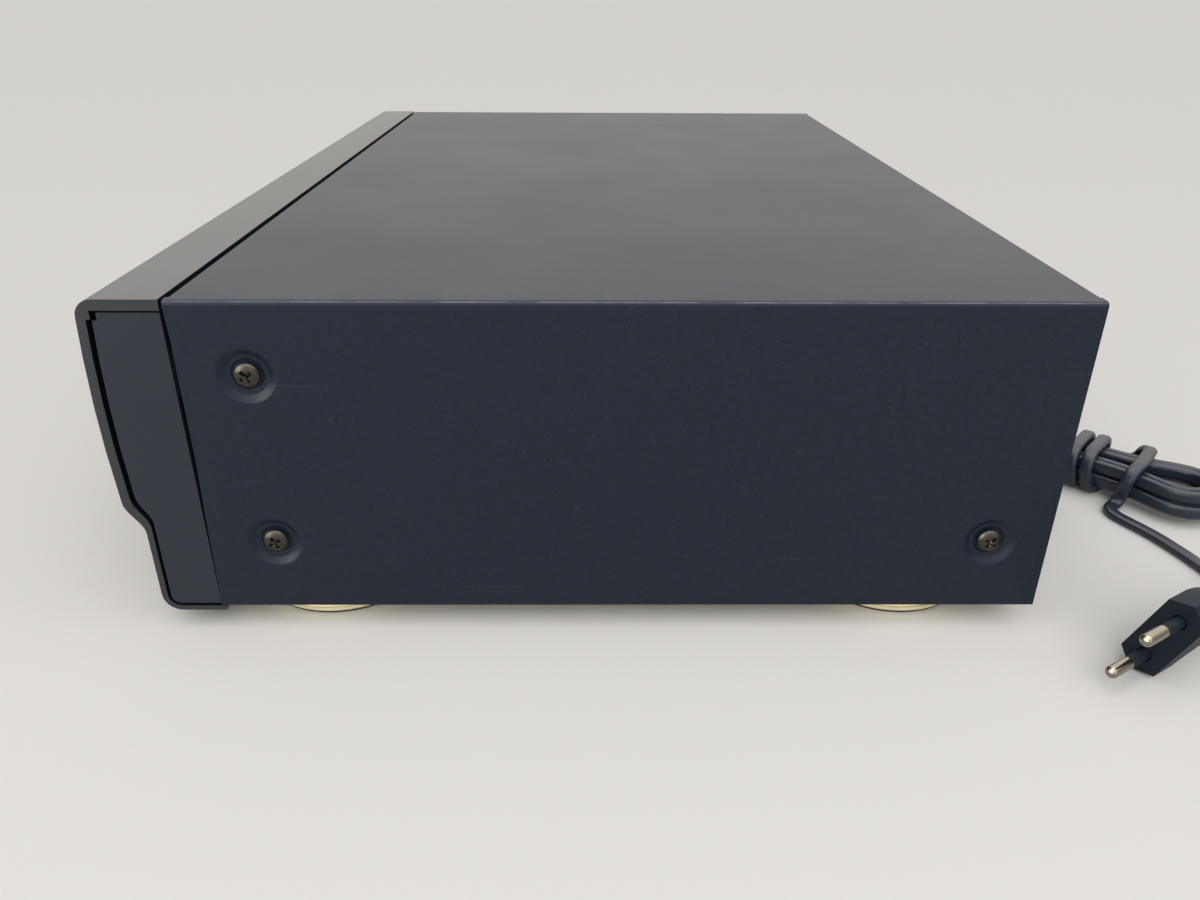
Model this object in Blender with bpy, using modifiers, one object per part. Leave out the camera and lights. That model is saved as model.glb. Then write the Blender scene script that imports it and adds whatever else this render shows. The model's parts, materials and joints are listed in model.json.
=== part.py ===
"""Full-width disc player with a tray loader, its mains cord folded into a hank behind it.

Lengths are in metres. X runs to the right as seen from the front, Y to the rear, and Z up
from the floor.
"""
import math

import bmesh
import bpy
import numpy as np
from mathutils import Matrix, Vector, kdtree

# Fits and clearances
SEAT = 0.0003          # gap between pieces that touch
PLAY = 0.0003          # radial clearance of shafts, pins and sliding pieces
OVERRUN = 0.004        # how far every cutter runs past what it cuts
LAP = 0.0005           # how far joined shapes reach into each other
TURN_WELD = 0.00001    # merge distance of turned pieces
CAP_WELD = 0.000002    # merge distance of filled outlines

# Case
CASE_WIDTH = 0.430
COVER_LENGTH = 0.2715
COVER_HEIGHT = 0.106
FOOT_HEIGHT = 0.0092   # floor to the cover's lower edge
SHEET = 0.001
COVER_BEND = 0.0016
COVER_SIDE_LEAD = 0.0013
COVER_TAIL_DEPTH = 0.011
PANEL_REACH = 0.02785  # the panel's foremost line ahead of the cover's top
KNOB_PROUD = 0.009
SOCKET_REACH = 0.0085  # sockets behind the cover's rear edge

CASE_HALF = CASE_WIDTH / 2
ALL_DEPTH = PANEL_REACH + KNOB_PROUD + COVER_LENGTH + SOCKET_REACH
COVER_FRONT = PANEL_REACH + KNOB_PROUD - ALL_DEPTH / 2
COVER_REAR = COVER_FRONT + COVER_LENGTH
COVER_LOW = FOOT_HEIGHT
COVER_TOP = COVER_LOW + COVER_HEIGHT

# Front panel and frame sections, measured from the cover's front top edge and its foot
PANEL_PROUD = 0.0003   # panel top above the cover
PANEL_SEAM = 0.002
PANEL_UNDERLAP = 0.002
PANEL_FOOT_END = 0.0008
NOSE_RADIUS = 0.0056
TOE_RADIUS = 0.0061
CROWN = 0.00095
CROWN_MIDDLE = 0.068
CROWN_HALF = 0.029
STEP_HIGH = 0.0395
STEP_LOW = 0.028
STEP_DEPTH = 0.0064
STEP_RISE_SHARE = 0.6
FRONT_RISE_SHARES = (0.8, 0.55, 0.3)   # heights of the front line's points above the step
WALL_TOP = 0.0034
WALL_FRONT = 0.0029
WALL_LOW = 0.00195
WALL_FOOT = PANEL_UNDERLAP - SEAT
CORNER_BLOCK_BACK = 0.00545
CORNER_BLOCK_DROP = 0.0027
FRAME_IN_TOP = 0.004
FRAME_IN_FRONT = 0.0047
FRAME_IN_LOW = 0.0031
FRAME_IN_FOOT = 0.00285
FRAME_BLOCK_BACK = 0.00735
FRAME_BLOCK_DROP = 0.0024
FRAME_REAR = 0.00215
FRAME_WALL = 0.002
LUG_REACH = 0.030
LUG_HALF = 0.007
LUG_ROOT = 0.006
LUG_THICK = 0.003

# Cover screws and their dimples
SCREW_SHAFT = 0.002
SCREW_HOLE = 0.0023
SCREW_HEAD = 0.004
SCREW_HEAD_RISE = 0.0016
SCREW_LENGTH = 0.008
SCREW_CROWN_SHARES = ((0, 1), (0.55, 1), (0.85, 0.8), (1, 0.35))   # of the head's radius and rise
SCREW_SLOT_HALF = 0.0004
SCREW_SLOT_REACH = 0.0022
SCREW_SLOT_DEPTH = 0.0009
DIMPLE_RADIUS = 0.0086
DIMPLE_FLOOR = 0.0054
DIMPLE_DEPTH = 0.0013
FRONT_SCREW_BACK = 0.0194
REAR_SCREW_AHEAD = 0.0191   # ahead of the cover's rear edge
REAR_SCREW_BACK = COVER_LENGTH - REAR_SCREW_AHEAD
UPPER_SCREW_RISE = 0.0827
LOWER_SCREW_RISE = 0.0248

# Chassis pan and rear panel
PAN_LIFT = 0.0005
PAN_FLANGE = 0.0345
PAN_END_FLANGE = 0.004
PAN_START = 0.00075    # pan's front face ahead of the cover's top
PAN_VENT_LENGTH = 0.028
PAN_VENT_WIDTH = 0.004
PAN_VENT_STEP = 0.010
PAN_VENT_COUNT = 6
PAN_VENT_SHARES = (0.452, -0.5744)   # places as shares of the pan's half width
BOARD_POST = 0.003
REAR_VENT_HEIGHT = 0.022
REAR_VENT_WIDTH = 0.003
REAR_VENT_STEP = 0.007
REAR_VENT_COUNT = 9
REAR_VENT_X = -0.045
REAR_VENT_RISE = 0.070
REAR_TOP_LIP = 0.010

# Feet
FOOT_RADIUS = 0.0292
FOOT_INSET = 0.0363
FRONT_FOOT_BACK = 0.0308
REAR_FOOT_AHEAD = 0.0411
REAR_FOOT_BACK = COVER_LENGTH - REAR_FOOT_AHEAD
FOOT_BASE_HEIGHT = 0.0011
FOOT_BASE_IN = 0.0008
FOOT_CHAMFER = 0.0006
FOOT_HOLLOW = 0.0065
FOOT_HOLLOW_DEPTH = 0.004

# Disc tray and its door
WELL_RADIUS = 0.0608
TRAY_RIM = 0.0122      # tray beside the disc's well
TRAY_WIDTH = 2 * (WELL_RADIUS + TRAY_RIM)
DOOR_SIDE = 0.001      # door past the tray's side
DOOR_WIDTH = TRAY_WIDTH + 2 * DOOR_SIDE
DOOR_LOW = 0.070
DOOR_HIGH = 0.096
DOOR_THICK = 0.0042
DOOR_GAP = 0.0005
TRAY_TOP = 0.082
TRAY_THICK = 0.0055
TRAY_BACK = 0.168      # tray's rear edge behind the cover's front
TRAY_TRAVEL = 0.142
DISC_BACK = 0.050      # disc centre behind the cover's front
WELL_DEPTH = 0.002
SMALL_WELL_RADIUS = 0.0405
SMALL_WELL_DEPTH = 0.0033
SLOT_HALF = 0.022

# Loader gear train: module, teeth and levels
MODULE = 0.001
TRAY_GEAR_TEETH = 24
PINION_TEETH = 12
TOOTH_TIP_SHARE = 0.75
TOOTH_ROOT_SHARE = 1.2
TOOTH_WIDTH_SHARE = 0.43
TOOTH_SLOPE = math.radians(20)
RACK_IN = 0.014        # the rack's pitch line inside the tray's side
RACK_LINE = TRAY_WIDTH / 2 - RACK_IN
RACK_BACK = 0.0067     # rack body behind the pitch line
GEAR_BACK = 0.014      # gear axes behind the cover's front
GEAR_THICK = 0.0049
RACK_MARGIN = 0.008
GEAR_PIN = 0.0015
GEAR_BOSS = 0.0028
PULLEY_THICK = 0.0045
PULLEY_DROP = 0.0088   # pulley's underside below the gear's underside
WHEEL_RADIUS = 0.0132
WHEEL_GROOVE = 0.0122
MOTOR_PULLEY_RADIUS = 0.006
MOTOR_PULLEY_GROOVE = 0.005
BELT_HALF = 0.0006
MOTOR_SPACING = 0.041
MOTOR_RADIUS = 0.0105
MOTOR_LENGTH = 0.0197
MOTOR_SHAFT = 0.001
MOTOR_NECK = 0.0035

# Loader chassis
LOADER_SIDE = 0.006    # loader's side beyond the tray's side
LOADER_HALF = TRAY_WIDTH / 2 + LOADER_SIDE
LOADER_WALL = 0.003
LOADER_TOP = 0.088
LOADER_BACK = 0.176
DECK_LOW = 0.056
DECK_THICK = 0.0025
DECK_BACK = 0.0285
REAR_DECK_START = 0.146
LEDGE_IN = 0.0095
LEDGE_THICK = 0.002
LIP_IN = 0.006
LIP_START = 0.002
LIP_LENGTH = 0.028
LOADER_WINDOW_MARGIN = 0.014
GUIDE_LOW = 0.046
GUIDE_HIGH = 0.053
GUIDE_FLOOR = 0.0497
GUIDE_HALF = 0.045
GUIDE_WEB = 0.0025

# Cam slide and lift frame
CAM_START = 0.0305
CAM_THICK = 0.0018
CAM_HALF = 0.030
CAM_HIGH = 0.0705
CAM_TRAVEL = 0.012
CAM_SLOT_HALF = 0.0019
FOLLOWER_RADIUS = 0.0015
LIFT_ANGLE = math.radians(5.5)
LIFT_PIVOT_BACK = 0.138
LIFT_PIVOT_HIGH = 0.066
LIFT_HALF = 0.042
LIFT_START = 0.0345
LIFT_END = 0.142
LIFT_LOW = 0.062
LIFT_HIGH = 0.0705
LIFT_PLATE = 0.002
PIVOT_PIN = 0.002
PIVOT_PIN_LENGTH = 0.0055
EAR_GAP = 0.0006
EAR_THICK = 0.004
EAR_FRONT = 0.132
EAR_LOW = 0.056
EAR_HIGH = 0.071

# Spindle, turntable and clamp
SPINDLE_RADIUS = 0.012
SPINDLE_LENGTH = 0.013
SPINDLE_HOLE = 0.005
SPINDLE_SHAFT = 0.001
TABLE_RADIUS = 0.016
TABLE_THICK = 0.0025
TABLE_TOP = 0.0815
TABLE_CONE = 0.0074
TABLE_CONE_TIP = 0.0045
TABLE_CONE_RISE = 0.0028
TABLE_STEM = 0.004
TABLE_STEM_LOW = 0.071
TABLE_BORE_DEPTH = 0.006
BRIDGE_HALF_DEPTH = 0.018
BRIDGE_HIGH = 0.0962
BRIDGE_THICK = 0.0012
BRIDGE_LEG = 0.0024
CLAMP_HOLE = 0.0105
CLAMP_NECK = 0.0098
CLAMP_FLANGE = 0.014
CLAMP_FLANGE_THICK = 0.0015
CLAMP_PUCK = 0.016
CLAMP_LOW = 0.0854
CLAMP_PUCK_THICK = 0.0046
CLAMP_RECESS = 0.0084
CLAMP_RECESS_DEPTH = 0.0036

# Pickup
SLED_WINDOW_HALF = 0.019
SLED_WINDOW_START = 0.065
SLED_WINDOW_END = 0.1285
SLED_HALF = 0.018
SLED_START = 0.066
SLED_LENGTH = 0.026
SLED_LOW = 0.063
SLED_HIGH = 0.076
SLED_TRAVEL = 0.034
SLED_TONGUE = 0.006
SLED_TONGUE_THICK = 0.0022
LENS_BACK = 0.074
LENS_RADIUS = 0.0031
LENS_WELL = 0.0036
LENS_WELL_DEPTH = 0.0026
LENS_LOW = 0.0745
LENS_HEIGHT = 0.0033
LENS_DOME_SHARES = ((0, 0), (0.5, 0.04), (0.7, 0.15), (1, 0.15))   # radius, and drop of the height
ROD_RADIUS = 0.0015
ROD_X = 0.014
ROD_HIGH = 0.066
ROD_START = 0.0628
ROD_END = 0.1318
ROD_LUG_HALF = 0.004
ROD_LUG_START = 0.0624
ROD_LUG_FRONT = 0.0026
ROD_LUG_REAR_START = 0.129
ROD_LUG_REAR_END = 0.1325
SLED_RACK_LINE = -0.0205
SLED_RACK_LOW = 0.064
SLED_RACK_THICK = 0.003
SLED_RACK_LENGTH = 0.038
SLED_MODULE = 0.0008
SLED_TEETH = 12
SLED_GEAR_BACK = 0.102
SLED_SHELF_TOP = 0.0636
SLED_SHELF_THICK = 0.002
SLED_SHELF_HALF = 0.010
SLED_SHELF_EDGE = 0.0195
SLED_MOTOR_RADIUS = 0.008
SLED_MOTOR_LENGTH = 0.014
SLED_MOTOR_SHAFT = 0.0008
SLED_MOTOR_HOLE = 0.0025

# Boards and what stands on them
BOARD_THICK = 0.0016
BOARD_LOW = 0.0184
BOARD_SIDE = 0.009     # board inside the case's side, and beside the loader
BOARD_X_MIN = BOARD_SIDE - CASE_HALF
BOARD_X_MAX = -LOADER_HALF - BOARD_SIDE
BOARD_WIDTH = BOARD_X_MAX - BOARD_X_MIN
BOARD_START = 0.020
BOARD_AHEAD = 0.0095    # board's rear edge ahead of the cover's
BOARD_END = COVER_LENGTH - BOARD_AHEAD
POST_MARGIN = 0.008
CAN_RADIUS = 0.011
CAN_HEIGHT = 0.030
CAN_SHARE = 0.729      # places on the board as shares of its width, from its outer edge
CAN_X = BOARD_X_MIN + CAN_SHARE * BOARD_WIDTH
CAN_AHEAD = 0.0755
CAN_BACK = COVER_LENGTH - CAN_AHEAD
CAN_GROOVE = 0.0006
SINK_SHARES = (0.051, 0.4745)
SINK_X_MIN = BOARD_X_MIN + SINK_SHARES[0] * BOARD_WIDTH
SINK_X_MAX = BOARD_X_MIN + SINK_SHARES[1] * BOARD_WIDTH
SINK_AHEAD = 0.0835
SINK_BACK = COVER_LENGTH - SINK_AHEAD
SINK_DEPTH = 0.018
SINK_HEIGHT = 0.034
SINK_BASE = 0.003
SINK_FINS = 8
SINK_FIN_SHARE = 0.4
SOCKET_SHARE = 0.288
SOCKET_X = BOARD_X_MIN + SOCKET_SHARE * BOARD_WIDTH
SOCKET_SPACING = 0.016
SOCKET_BLOCK_HALF = 0.018
SOCKET_BLOCK_DEPTH = 0.014
SOCKET_BLOCK_HEIGHT = 0.022
SOCKET_RADIUS = 0.0042
SOCKET_RISE = 0.012
SOCKET_BORE = 0.0016
SOCKET_BORE_DEPTH = 0.012

# Transformer
CORE_SHARE = 0.522     # place between the loader's side and the case's side
CORE_X = LOADER_HALF + CORE_SHARE * (CASE_HALF - LOADER_HALF)
CORE_AHEAD = 0.0815
CORE_BACK = COVER_LENGTH - CORE_AHEAD
CORE_STACK = 0.026
CORE_WIDTH = 0.054
CORE_HEIGHT = 0.045
CORE_LIMB = 0.009
COIL_OUT = 0.008

# Front controls, placed by shares of the space from the door's side to the case's side
CONTROL_BAY = CASE_HALF - DOOR_WIDTH / 2
DISPLAY_SHARES = (0.149, 0.8935)
DISPLAY_X_MIN = DOOR_WIDTH / 2 + DISPLAY_SHARES[0] * CONTROL_BAY
DISPLAY_X_MAX = DOOR_WIDTH / 2 + DISPLAY_SHARES[1] * CONTROL_BAY
DISPLAY_LOW = 0.072
DISPLAY_HIGH = 0.098
DISPLAY_THICK = 0.0038
DISPLAY_LIP = 0.006
BUTTON_HIGH = 0.060
BUTTON_HALF_HEIGHT = 0.0035
BUTTON_PROUD = 0.001
BUTTON_FLANGE = 0.0012
BUTTON_FLANGE_THICK = 0.0014
BUTTON_STEM = 0.0025
BUTTON_TRAVEL = 0.001
POWER_TRAVEL = 0.0015
FRONT_BOARD_BACK = 0.0092
FRONT_BOARD_SIDE = 0.0065
FRONT_BOARD_HALF = CASE_HALF - FRONT_BOARD_SIDE
FRONT_BOARD_LOW = 0.0495
FRONT_BOARD_HIGH = 0.1055
FRONT_BOARD_GAP_SIDE = 0.010
FRONT_BOARD_GAP_HALF = DOOR_WIDTH / 2 + FRONT_BOARD_GAP_SIDE
FRONT_BOARD_GAP_LOW = 0.0645
SWITCH_REACH = 0.002
JACK_SHARE = 0.539
JACK_X = -DOOR_WIDTH / 2 - JACK_SHARE * CONTROL_BAY
JACK_HALF = 0.006
JACK_RING = 0.0055
JACK_BORE = 0.0033
JACK_PROUD = 0.0006
KNOB_SHARE = 0.312
KNOB_X = -DOOR_WIDTH / 2 - KNOB_SHARE * CONTROL_BAY
KNOB_RADIUS = 0.007
KNOB_SHAFT = 0.003
KNOB_GRIP = 0.0005
POT_RADIUS = 0.006
POT_LENGTH = 0.006
POT_SOCKET = 0.003
# name, place and half width of each push button as shares of the space, and its travel
BUTTON_SHARES = (
    ("power_button", -0.8085, 0.078, POWER_TRAVEL),
    ("open_button", 0.227, 0.0567, BUTTON_TRAVEL),
    ("play_button", 0.390, 0.078, BUTTON_TRAVEL),
    ("stop_button", 0.546, 0.0496, BUTTON_TRAVEL),
    ("skip_back_button", 0.681, 0.0496, BUTTON_TRAVEL),
    ("skip_forward_button", 0.8155, 0.0496, BUTTON_TRAVEL),
)
BOARD_POST_SIDE = 0.005
BOARD_POST_DROP = 0.0035
BOARD_POST_RISE = 0.0025
GAP_POST_UPPER = 0.006   # posts beside the front board's gap
GAP_POST_LOWER = 0.010

# Strain relief, cord and plug; a place behind the player is given as X, distance behind
# the cover's rear edge, and height
GLAND_X = 0.1485
GLAND_HIGH = 0.035
GLAND_FLANGE = 0.008
GLAND_NECK = 0.0052
GLAND_FLANGE_THICK = 0.002
GLAND_BOOT = 0.026
GLAND_BOOT_START = 0.0056
GLAND_BOOT_END = 0.0036
GLAND_RINGS = 4
GLAND_RING_GROOVE = 0.0006
GLAND_RING_HALF = 0.0011
CORD_WIDTH = 0.0054
CORD_THICK = 0.0033
CORD_SIDES = 8
CORD_STEP = 0.006
FLOOR_GAP = 0.0002

# The hank, in its own axes: along its runs, across to the far side, and up
HANK_PLACE = (0.110, 0.067)
HANK_TURN = math.radians(46.3)
HANK_HALF_RUN = 0.038
HANK_LANE = 0.0039
HANK_LAYER = 0.006
HANK_WAIST = 0.0011
HANK_FOLD = 0.0062
HANK_LOOPS = 5
HANK_LOOP_POINTS = 24
RUN_SHARE = 0.125      # half a run's share of a loop
CLIMB_SHARE = 0.2      # share of a loop in which the cord climbs a layer
SWING_START = 4.56     # where the last loop begins to swing out, in loops
SWING_LANES = 1.375
# along, lane and height of the cord on its way from the last loop down the far side
WAY_OUT = (
    (-0.0300, 3.80, 0.0124), (-0.0220, 3.80, 0.0098), (-0.0150, 3.72, 0.0066),
    (-0.0095, 3.60, 0.0052), (-0.0056, 3.60, 0.0067), (-0.0041, 3.60, 0.0102),
)
TIE_GAP = 0.001
HANK_UNDER = FLOOR_GAP + CORD_THICK + TIE_GAP
TIE_BEND = 0.0036
TIE_BEND_STEPS = 3
# along the runs at each quarter turn of the tie, from the far side over the top
TIE_ALONG = (-0.0041, -0.0034, -0.0017, 0.0005, 0.0024, 0.0034, 0.0046, 0.0080, 0.0150, 0.0235, 0.0200)
TIE_EXIT_BEND = 0.0036
TIE_EXIT_ALONG = 0.0188
TIE_EXIT_RUN = 0.0006
TIE_SLANT_SHARE = 0.6   # of a quarter's travel along the runs that falls in its corner
LEAD_ROUTE = (
    (0.1480, 0.0322, 0.0328), (0.1430, 0.0375, 0.0250), (0.1330, 0.0382, 0.0155),
    (0.1200, 0.0350, 0.0078), (0.1050, 0.0298, 0.0040), (0.0890, 0.0245, 0.0031),
    (0.0740, 0.0225, 0.0031), (0.0625, 0.0268, 0.0034), (0.0588, 0.0350, 0.0044),
    (0.0632, 0.0430, 0.0058),
)
TAIL_ROUTE = (
    (0.1392, 0.0658, 0.0019), (0.1438, 0.0662, 0.0019), (0.1487, 0.0684, 0.0019),
    (0.1548, 0.0714, 0.0019), (0.1615, 0.0742, 0.0019), (0.1739, 0.0779, 0.0019),
    (0.1858, 0.0803, 0.0022), (0.1968, 0.0808, 0.0042), (0.2063, 0.0785, 0.0085),
    (0.2135, 0.0728, 0.0135),
)
# where the cord turns on edge, as shares of the lead and of the tail
LEAD_TURN_SHARES = (0.15, 0.45)
TAIL_TURN_SHARES = (0.6, 0.97)
PLUG_FACE = (0.2422, 0.0270, 0.0161)
PLUG_HEADING = math.radians(-59)
PLUG_ROLL = math.radians(68.4)
PLUG_WIDTH = 0.0335
PLUG_THICK = 0.0130
PLUG_FLAT = 0.0250
PLUG_LENGTH = 0.034
PLUG_BOOT = 0.013
PIN_RADIUS = 0.002
PIN_LENGTH = 0.0185
PIN_SPACING = 0.0178
PIN_ROOT = 0.004
PIN_TIP = 0.0008
# distance behind the face as a share of the length, then width and thickness shares
PLUG_SHARES = (
    (0.0, 1.0, 1.0), (0.28, 1.0, 1.0), (0.42, 0.93, 0.96), (0.62, 0.68, 0.94),
    (0.80, 0.50, 0.98), (1.0, 0.42, 0.92),
)
PLUG_BOOT_SHARES = ((0.05, 0.30, 0.70), (0.5, 0.26, 0.60), (1.0, 0.22, 0.48))


for old in list(bpy.data.objects):
    bpy.data.objects.remove(old, do_unlink=True)

PARTS = bpy.data.collections.new("cd_player")
CUTTERS = bpy.data.collections.new("cutters")
bpy.context.scene.collection.children.link(PARTS)
bpy.context.scene.collection.children.link(CUTTERS)


# Finishes: colour, roughness and metallic value
FINISHES = {
    "cover_paint": ((0.045, 0.048, 0.055), 0.55, 0.1),
    "panel_metal": ((0.05, 0.05, 0.052), 0.38, 0.6),
    "frame_plastic": ((0.04, 0.042, 0.048), 0.5, 0.0),
    "steel": ((0.55, 0.56, 0.57), 0.35, 1.0),
    "zinc": ((0.62, 0.63, 0.60), 0.42, 0.9),
    "dark_screw": ((0.18, 0.16, 0.14), 0.35, 0.9),
    "foot_gold": ((0.62, 0.55, 0.38), 0.32, 0.9),
    "black_plastic": ((0.02, 0.02, 0.022), 0.45, 0.0),
    "button_plastic": ((0.06, 0.06, 0.065), 0.4, 0.0),
    "white_plastic": ((0.8, 0.8, 0.78), 0.5, 0.0),
    "rubber": ((0.03, 0.03, 0.03), 0.8, 0.0),
    "cord_black": ((0.018, 0.018, 0.02), 0.5, 0.0),
    "copper": ((0.72, 0.32, 0.16), 0.45, 0.6),
    "core_steel": ((0.30, 0.30, 0.31), 0.5, 0.8),
    "board_green": ((0.05, 0.22, 0.10), 0.5, 0.0),
    "aluminium": ((0.7, 0.7, 0.72), 0.35, 1.0),
    "smoked_window": ((0.02, 0.02, 0.025), 0.08, 0.0),
    "display_glass": ((0.06, 0.10, 0.11), 0.12, 0.0),
    "nickel": ((0.72, 0.70, 0.66), 0.2, 1.0),
    "lens_glass": ((0.25, 0.35, 0.55), 0.05, 0.0),
}


def finish(obj, name):
    """Give an object its own copy of a finish."""
    colour, rough, metal = FINISHES[name]
    material = bpy.data.materials.new(f"{obj.name}_{name}")
    material.use_nodes = True
    shader = material.node_tree.nodes["Principled BSDF"]
    shader.inputs["Base Color"].default_value = (*colour, 1)
    shader.inputs["Roughness"].default_value = rough
    shader.inputs["Metallic"].default_value = metal
    obj.data.materials.clear()
    obj.data.materials.append(material)
    return obj


def place_mesh(name, mesh, origin=(0, 0, 0)):
    """Link a mesh made in world coordinates as an object whose origin is the given point."""
    mesh.transform(Matrix.Translation(-Vector(origin)))
    obj = bpy.data.objects.new(name, mesh)
    obj.location = origin
    PARTS.objects.link(obj)
    return obj


def mesh_from(build):
    """Run a bmesh building function and return its mesh."""
    work = bmesh.new()
    build(work)
    mesh = bpy.data.meshes.new("mesh")
    work.to_mesh(mesh)
    work.free()
    return mesh


def add_box(work, low, high):
    """Add a box between two corners to a bmesh."""
    size = [b - a for a, b in zip(low, high)]
    middle = [(a + b) / 2 for a, b in zip(low, high)]
    matrix = Matrix.Translation(middle) @ Matrix.Diagonal((*size, 1))
    bmesh.ops.create_cube(work, size=1, matrix=matrix)


def block(name, low, high, origin=(0, 0, 0)):
    """A box between two corners."""
    return place_mesh(name, mesh_from(lambda work: add_box(work, low, high)), origin)


def blocks(name, corners):
    """Several boxes that stay clear of each other, in one object, for cutting."""
    def build(work):
        for low, high in corners:
            add_box(work, low, high)
    return place_mesh(name, mesh_from(build))


def rod(name, start, end, radius, end_radius=None, sides=16):
    """A cylinder or a cone frustum from one point to another."""
    start, end = Vector(start), Vector(end)
    along = end - start
    turn = along.to_track_quat("Z", "Y").to_matrix().to_4x4()
    matrix = Matrix.Translation((start + end) / 2) @ turn

    def build(work):
        bmesh.ops.create_cone(
            work, cap_ends=True, segments=sides, radius1=radius,
            radius2=radius if end_radius is None else end_radius,
            depth=along.length, matrix=matrix)
    return place_mesh(name, mesh_from(build))


def turned(name, profile, place, direction=(0, 0, 1), sides=24):
    """A turned piece: radius and height pairs, from the top down its outer side."""
    mesh = bpy.data.meshes.new(name)
    points = [(radius, 0, height) for radius, height in profile]
    edges = [(i, i + 1) for i in range(len(points) - 1)]
    if profile[0][0] > 0:
        edges.append((len(points) - 1, 0))
    mesh.from_pydata(points, edges, [])
    obj = bpy.data.objects.new(name, mesh)
    obj.location = place
    obj.rotation_mode = "QUATERNION"
    obj.rotation_quaternion = Vector(direction).to_track_quat("Z", "Y")
    PARTS.objects.link(obj)
    screw = obj.modifiers.new("turn", "SCREW")
    screw.steps = sides
    screw.render_steps = sides
    screw.use_merge_vertices = True
    screw.merge_threshold = TURN_WELD
    screw.use_smooth_shade = True
    return obj


PLANES = {
    "XY": Matrix.Identity(4),
    "YZ": Matrix(((0, 0, 1, 0), (1, 0, 0, 0), (0, 1, 0, 0), (0, 0, 0, 1))),
    "XZ": Matrix(((1, 0, 0, 0), (0, 0, -1, 0), (0, 1, 0, 0), (0, 0, 0, 1))),
}


def face_outwards(work):
    """Turn a closed bmesh's faces outwards."""
    bmesh.ops.recalc_face_normals(work, faces=work.faces)
    if work.calc_volume(signed=True) < 0:
        bmesh.ops.reverse_faces(work, faces=work.faces)


def outline_solid(name, outline, low, high, plane, origin=(0, 0, 0)):
    """A flat outline in a plane, thickened from low to high along the plane's normal."""
    curve = bpy.data.curves.new(name, "CURVE")
    curve.dimensions = "2D"
    curve.fill_mode = "BOTH"
    curve.extrude = (high - low) / 2
    spline = curve.splines.new("POLY")
    spline.points.add(len(outline) - 1)
    for point, (a, b) in zip(spline.points, outline):
        point.co = (a, b, 0, 1)
    spline.use_cyclic_u = True
    holder = bpy.data.objects.new(name, curve)
    PARTS.objects.link(holder)
    graph = bpy.context.evaluated_depsgraph_get()
    mesh = bpy.data.meshes.new_from_object(holder.evaluated_get(graph))
    bpy.data.objects.remove(holder, do_unlink=True)
    work = bmesh.new()
    work.from_mesh(mesh)
    bmesh.ops.remove_doubles(work, verts=work.verts, dist=CAP_WELD)
    middle = (low + high) / 2
    shift = (0, 0, -middle) if plane == "XZ" else (0, 0, middle)
    work.transform(PLANES[plane] @ Matrix.Translation(shift))
    face_outwards(work)
    work.to_mesh(mesh)
    work.free()
    return place_mesh(name, mesh, origin)


def boolean(target, kind, tools):
    """Cut tools from a piece or join them to it, and put the tools away."""
    for tool in tools:
        step = target.modifiers.new(tool.name, "BOOLEAN")
        step.operation = kind
        step.solver = "EXACT"
        step.object = tool
        PARTS.objects.unlink(tool)
        CUTTERS.objects.link(tool)
        tool.hide_render = True
        tool.display_type = "WIRE"
    return target


def cut(target, *tools):
    """Cut the tools from a piece."""
    return boolean(target, "DIFFERENCE", tools)


def join(target, *tools):
    """Join the tools to a piece."""
    return boolean(target, "UNION", tools)


def at_back(distance):
    """Y of a place that far behind the cover's front edge."""
    return COVER_FRONT + distance


def panel_front(rise, inset):
    """How far the front line lies ahead of the cover's front, at a height above its foot."""
    shift = STEP_RISE_SHARE * inset
    crown = CROWN * ((rise - CROWN_MIDDLE) / CROWN_HALF) ** 2
    upper = PANEL_REACH - crown
    if rise >= STEP_HIGH + shift:
        return upper - inset
    edge = CROWN * ((STEP_HIGH - CROWN_MIDDLE) / CROWN_HALF) ** 2
    share = min(1, (STEP_HIGH + shift - rise) / (STEP_HIGH - STEP_LOW))
    ease = (1 - math.cos(math.pi * share)) / 2
    return PANEL_REACH - edge - inset - (STEP_DEPTH - edge) * ease


def corner(middle, radius, start, end, steps):
    """Points of an arc, with angles in degrees."""
    points = []
    for i in range(steps + 1):
        angle = math.radians(start + (end - start) * i / steps)
        points.append((middle[0] + radius * math.cos(angle), middle[1] + radius * math.sin(angle)))
    return points


def front_section(top, front, low, foot, rear_top, rear_foot, block_back=0, block_drop=0):
    """Points from the rear of the top, round the front, to the rear of the foot.

    top, front, low and foot are how far the line lies inside the panel's outer skin.
    """
    high = COVER_HEIGHT + PANEL_PROUD - top
    ground = foot - PANEL_UNDERLAP
    blend = front - low
    nose = max(NOSE_RADIUS - top, PANEL_PROUD)
    toe = max(TOE_RADIUS - low, PANEL_PROUD)
    points = [(-rear_top, high)]
    if block_back:
        points.append((block_back - PANEL_REACH, high))
        points.append((block_back - PANEL_REACH, high - block_drop))
        start = high - block_drop
        points.append((-panel_front(start, front), start))
    else:
        start = high - nose
        middle = (nose - panel_front(start, front), start)
        points += corner(middle, nose, 90, 180, 5)
    for rise_share in FRONT_RISE_SHARES:
        rise = STEP_HIGH + (start - STEP_HIGH) * rise_share
        points.append((-panel_front(rise, front), rise))
    shift = STEP_RISE_SHARE * front
    steps = 8
    for i in range(steps + 1):
        rise = STEP_HIGH + shift - (STEP_HIGH - STEP_LOW) * i / steps
        ahead = panel_front(rise, front) + blend * i / steps
        points.append((-ahead, rise))
    low_ahead = panel_front(0, front) + blend
    points += corner((toe - low_ahead, ground + toe), toe, 180, 270, 5)
    points.append((-rear_foot, ground))
    return [(COVER_FRONT + y, COVER_LOW + z) for y, z in points]


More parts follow.
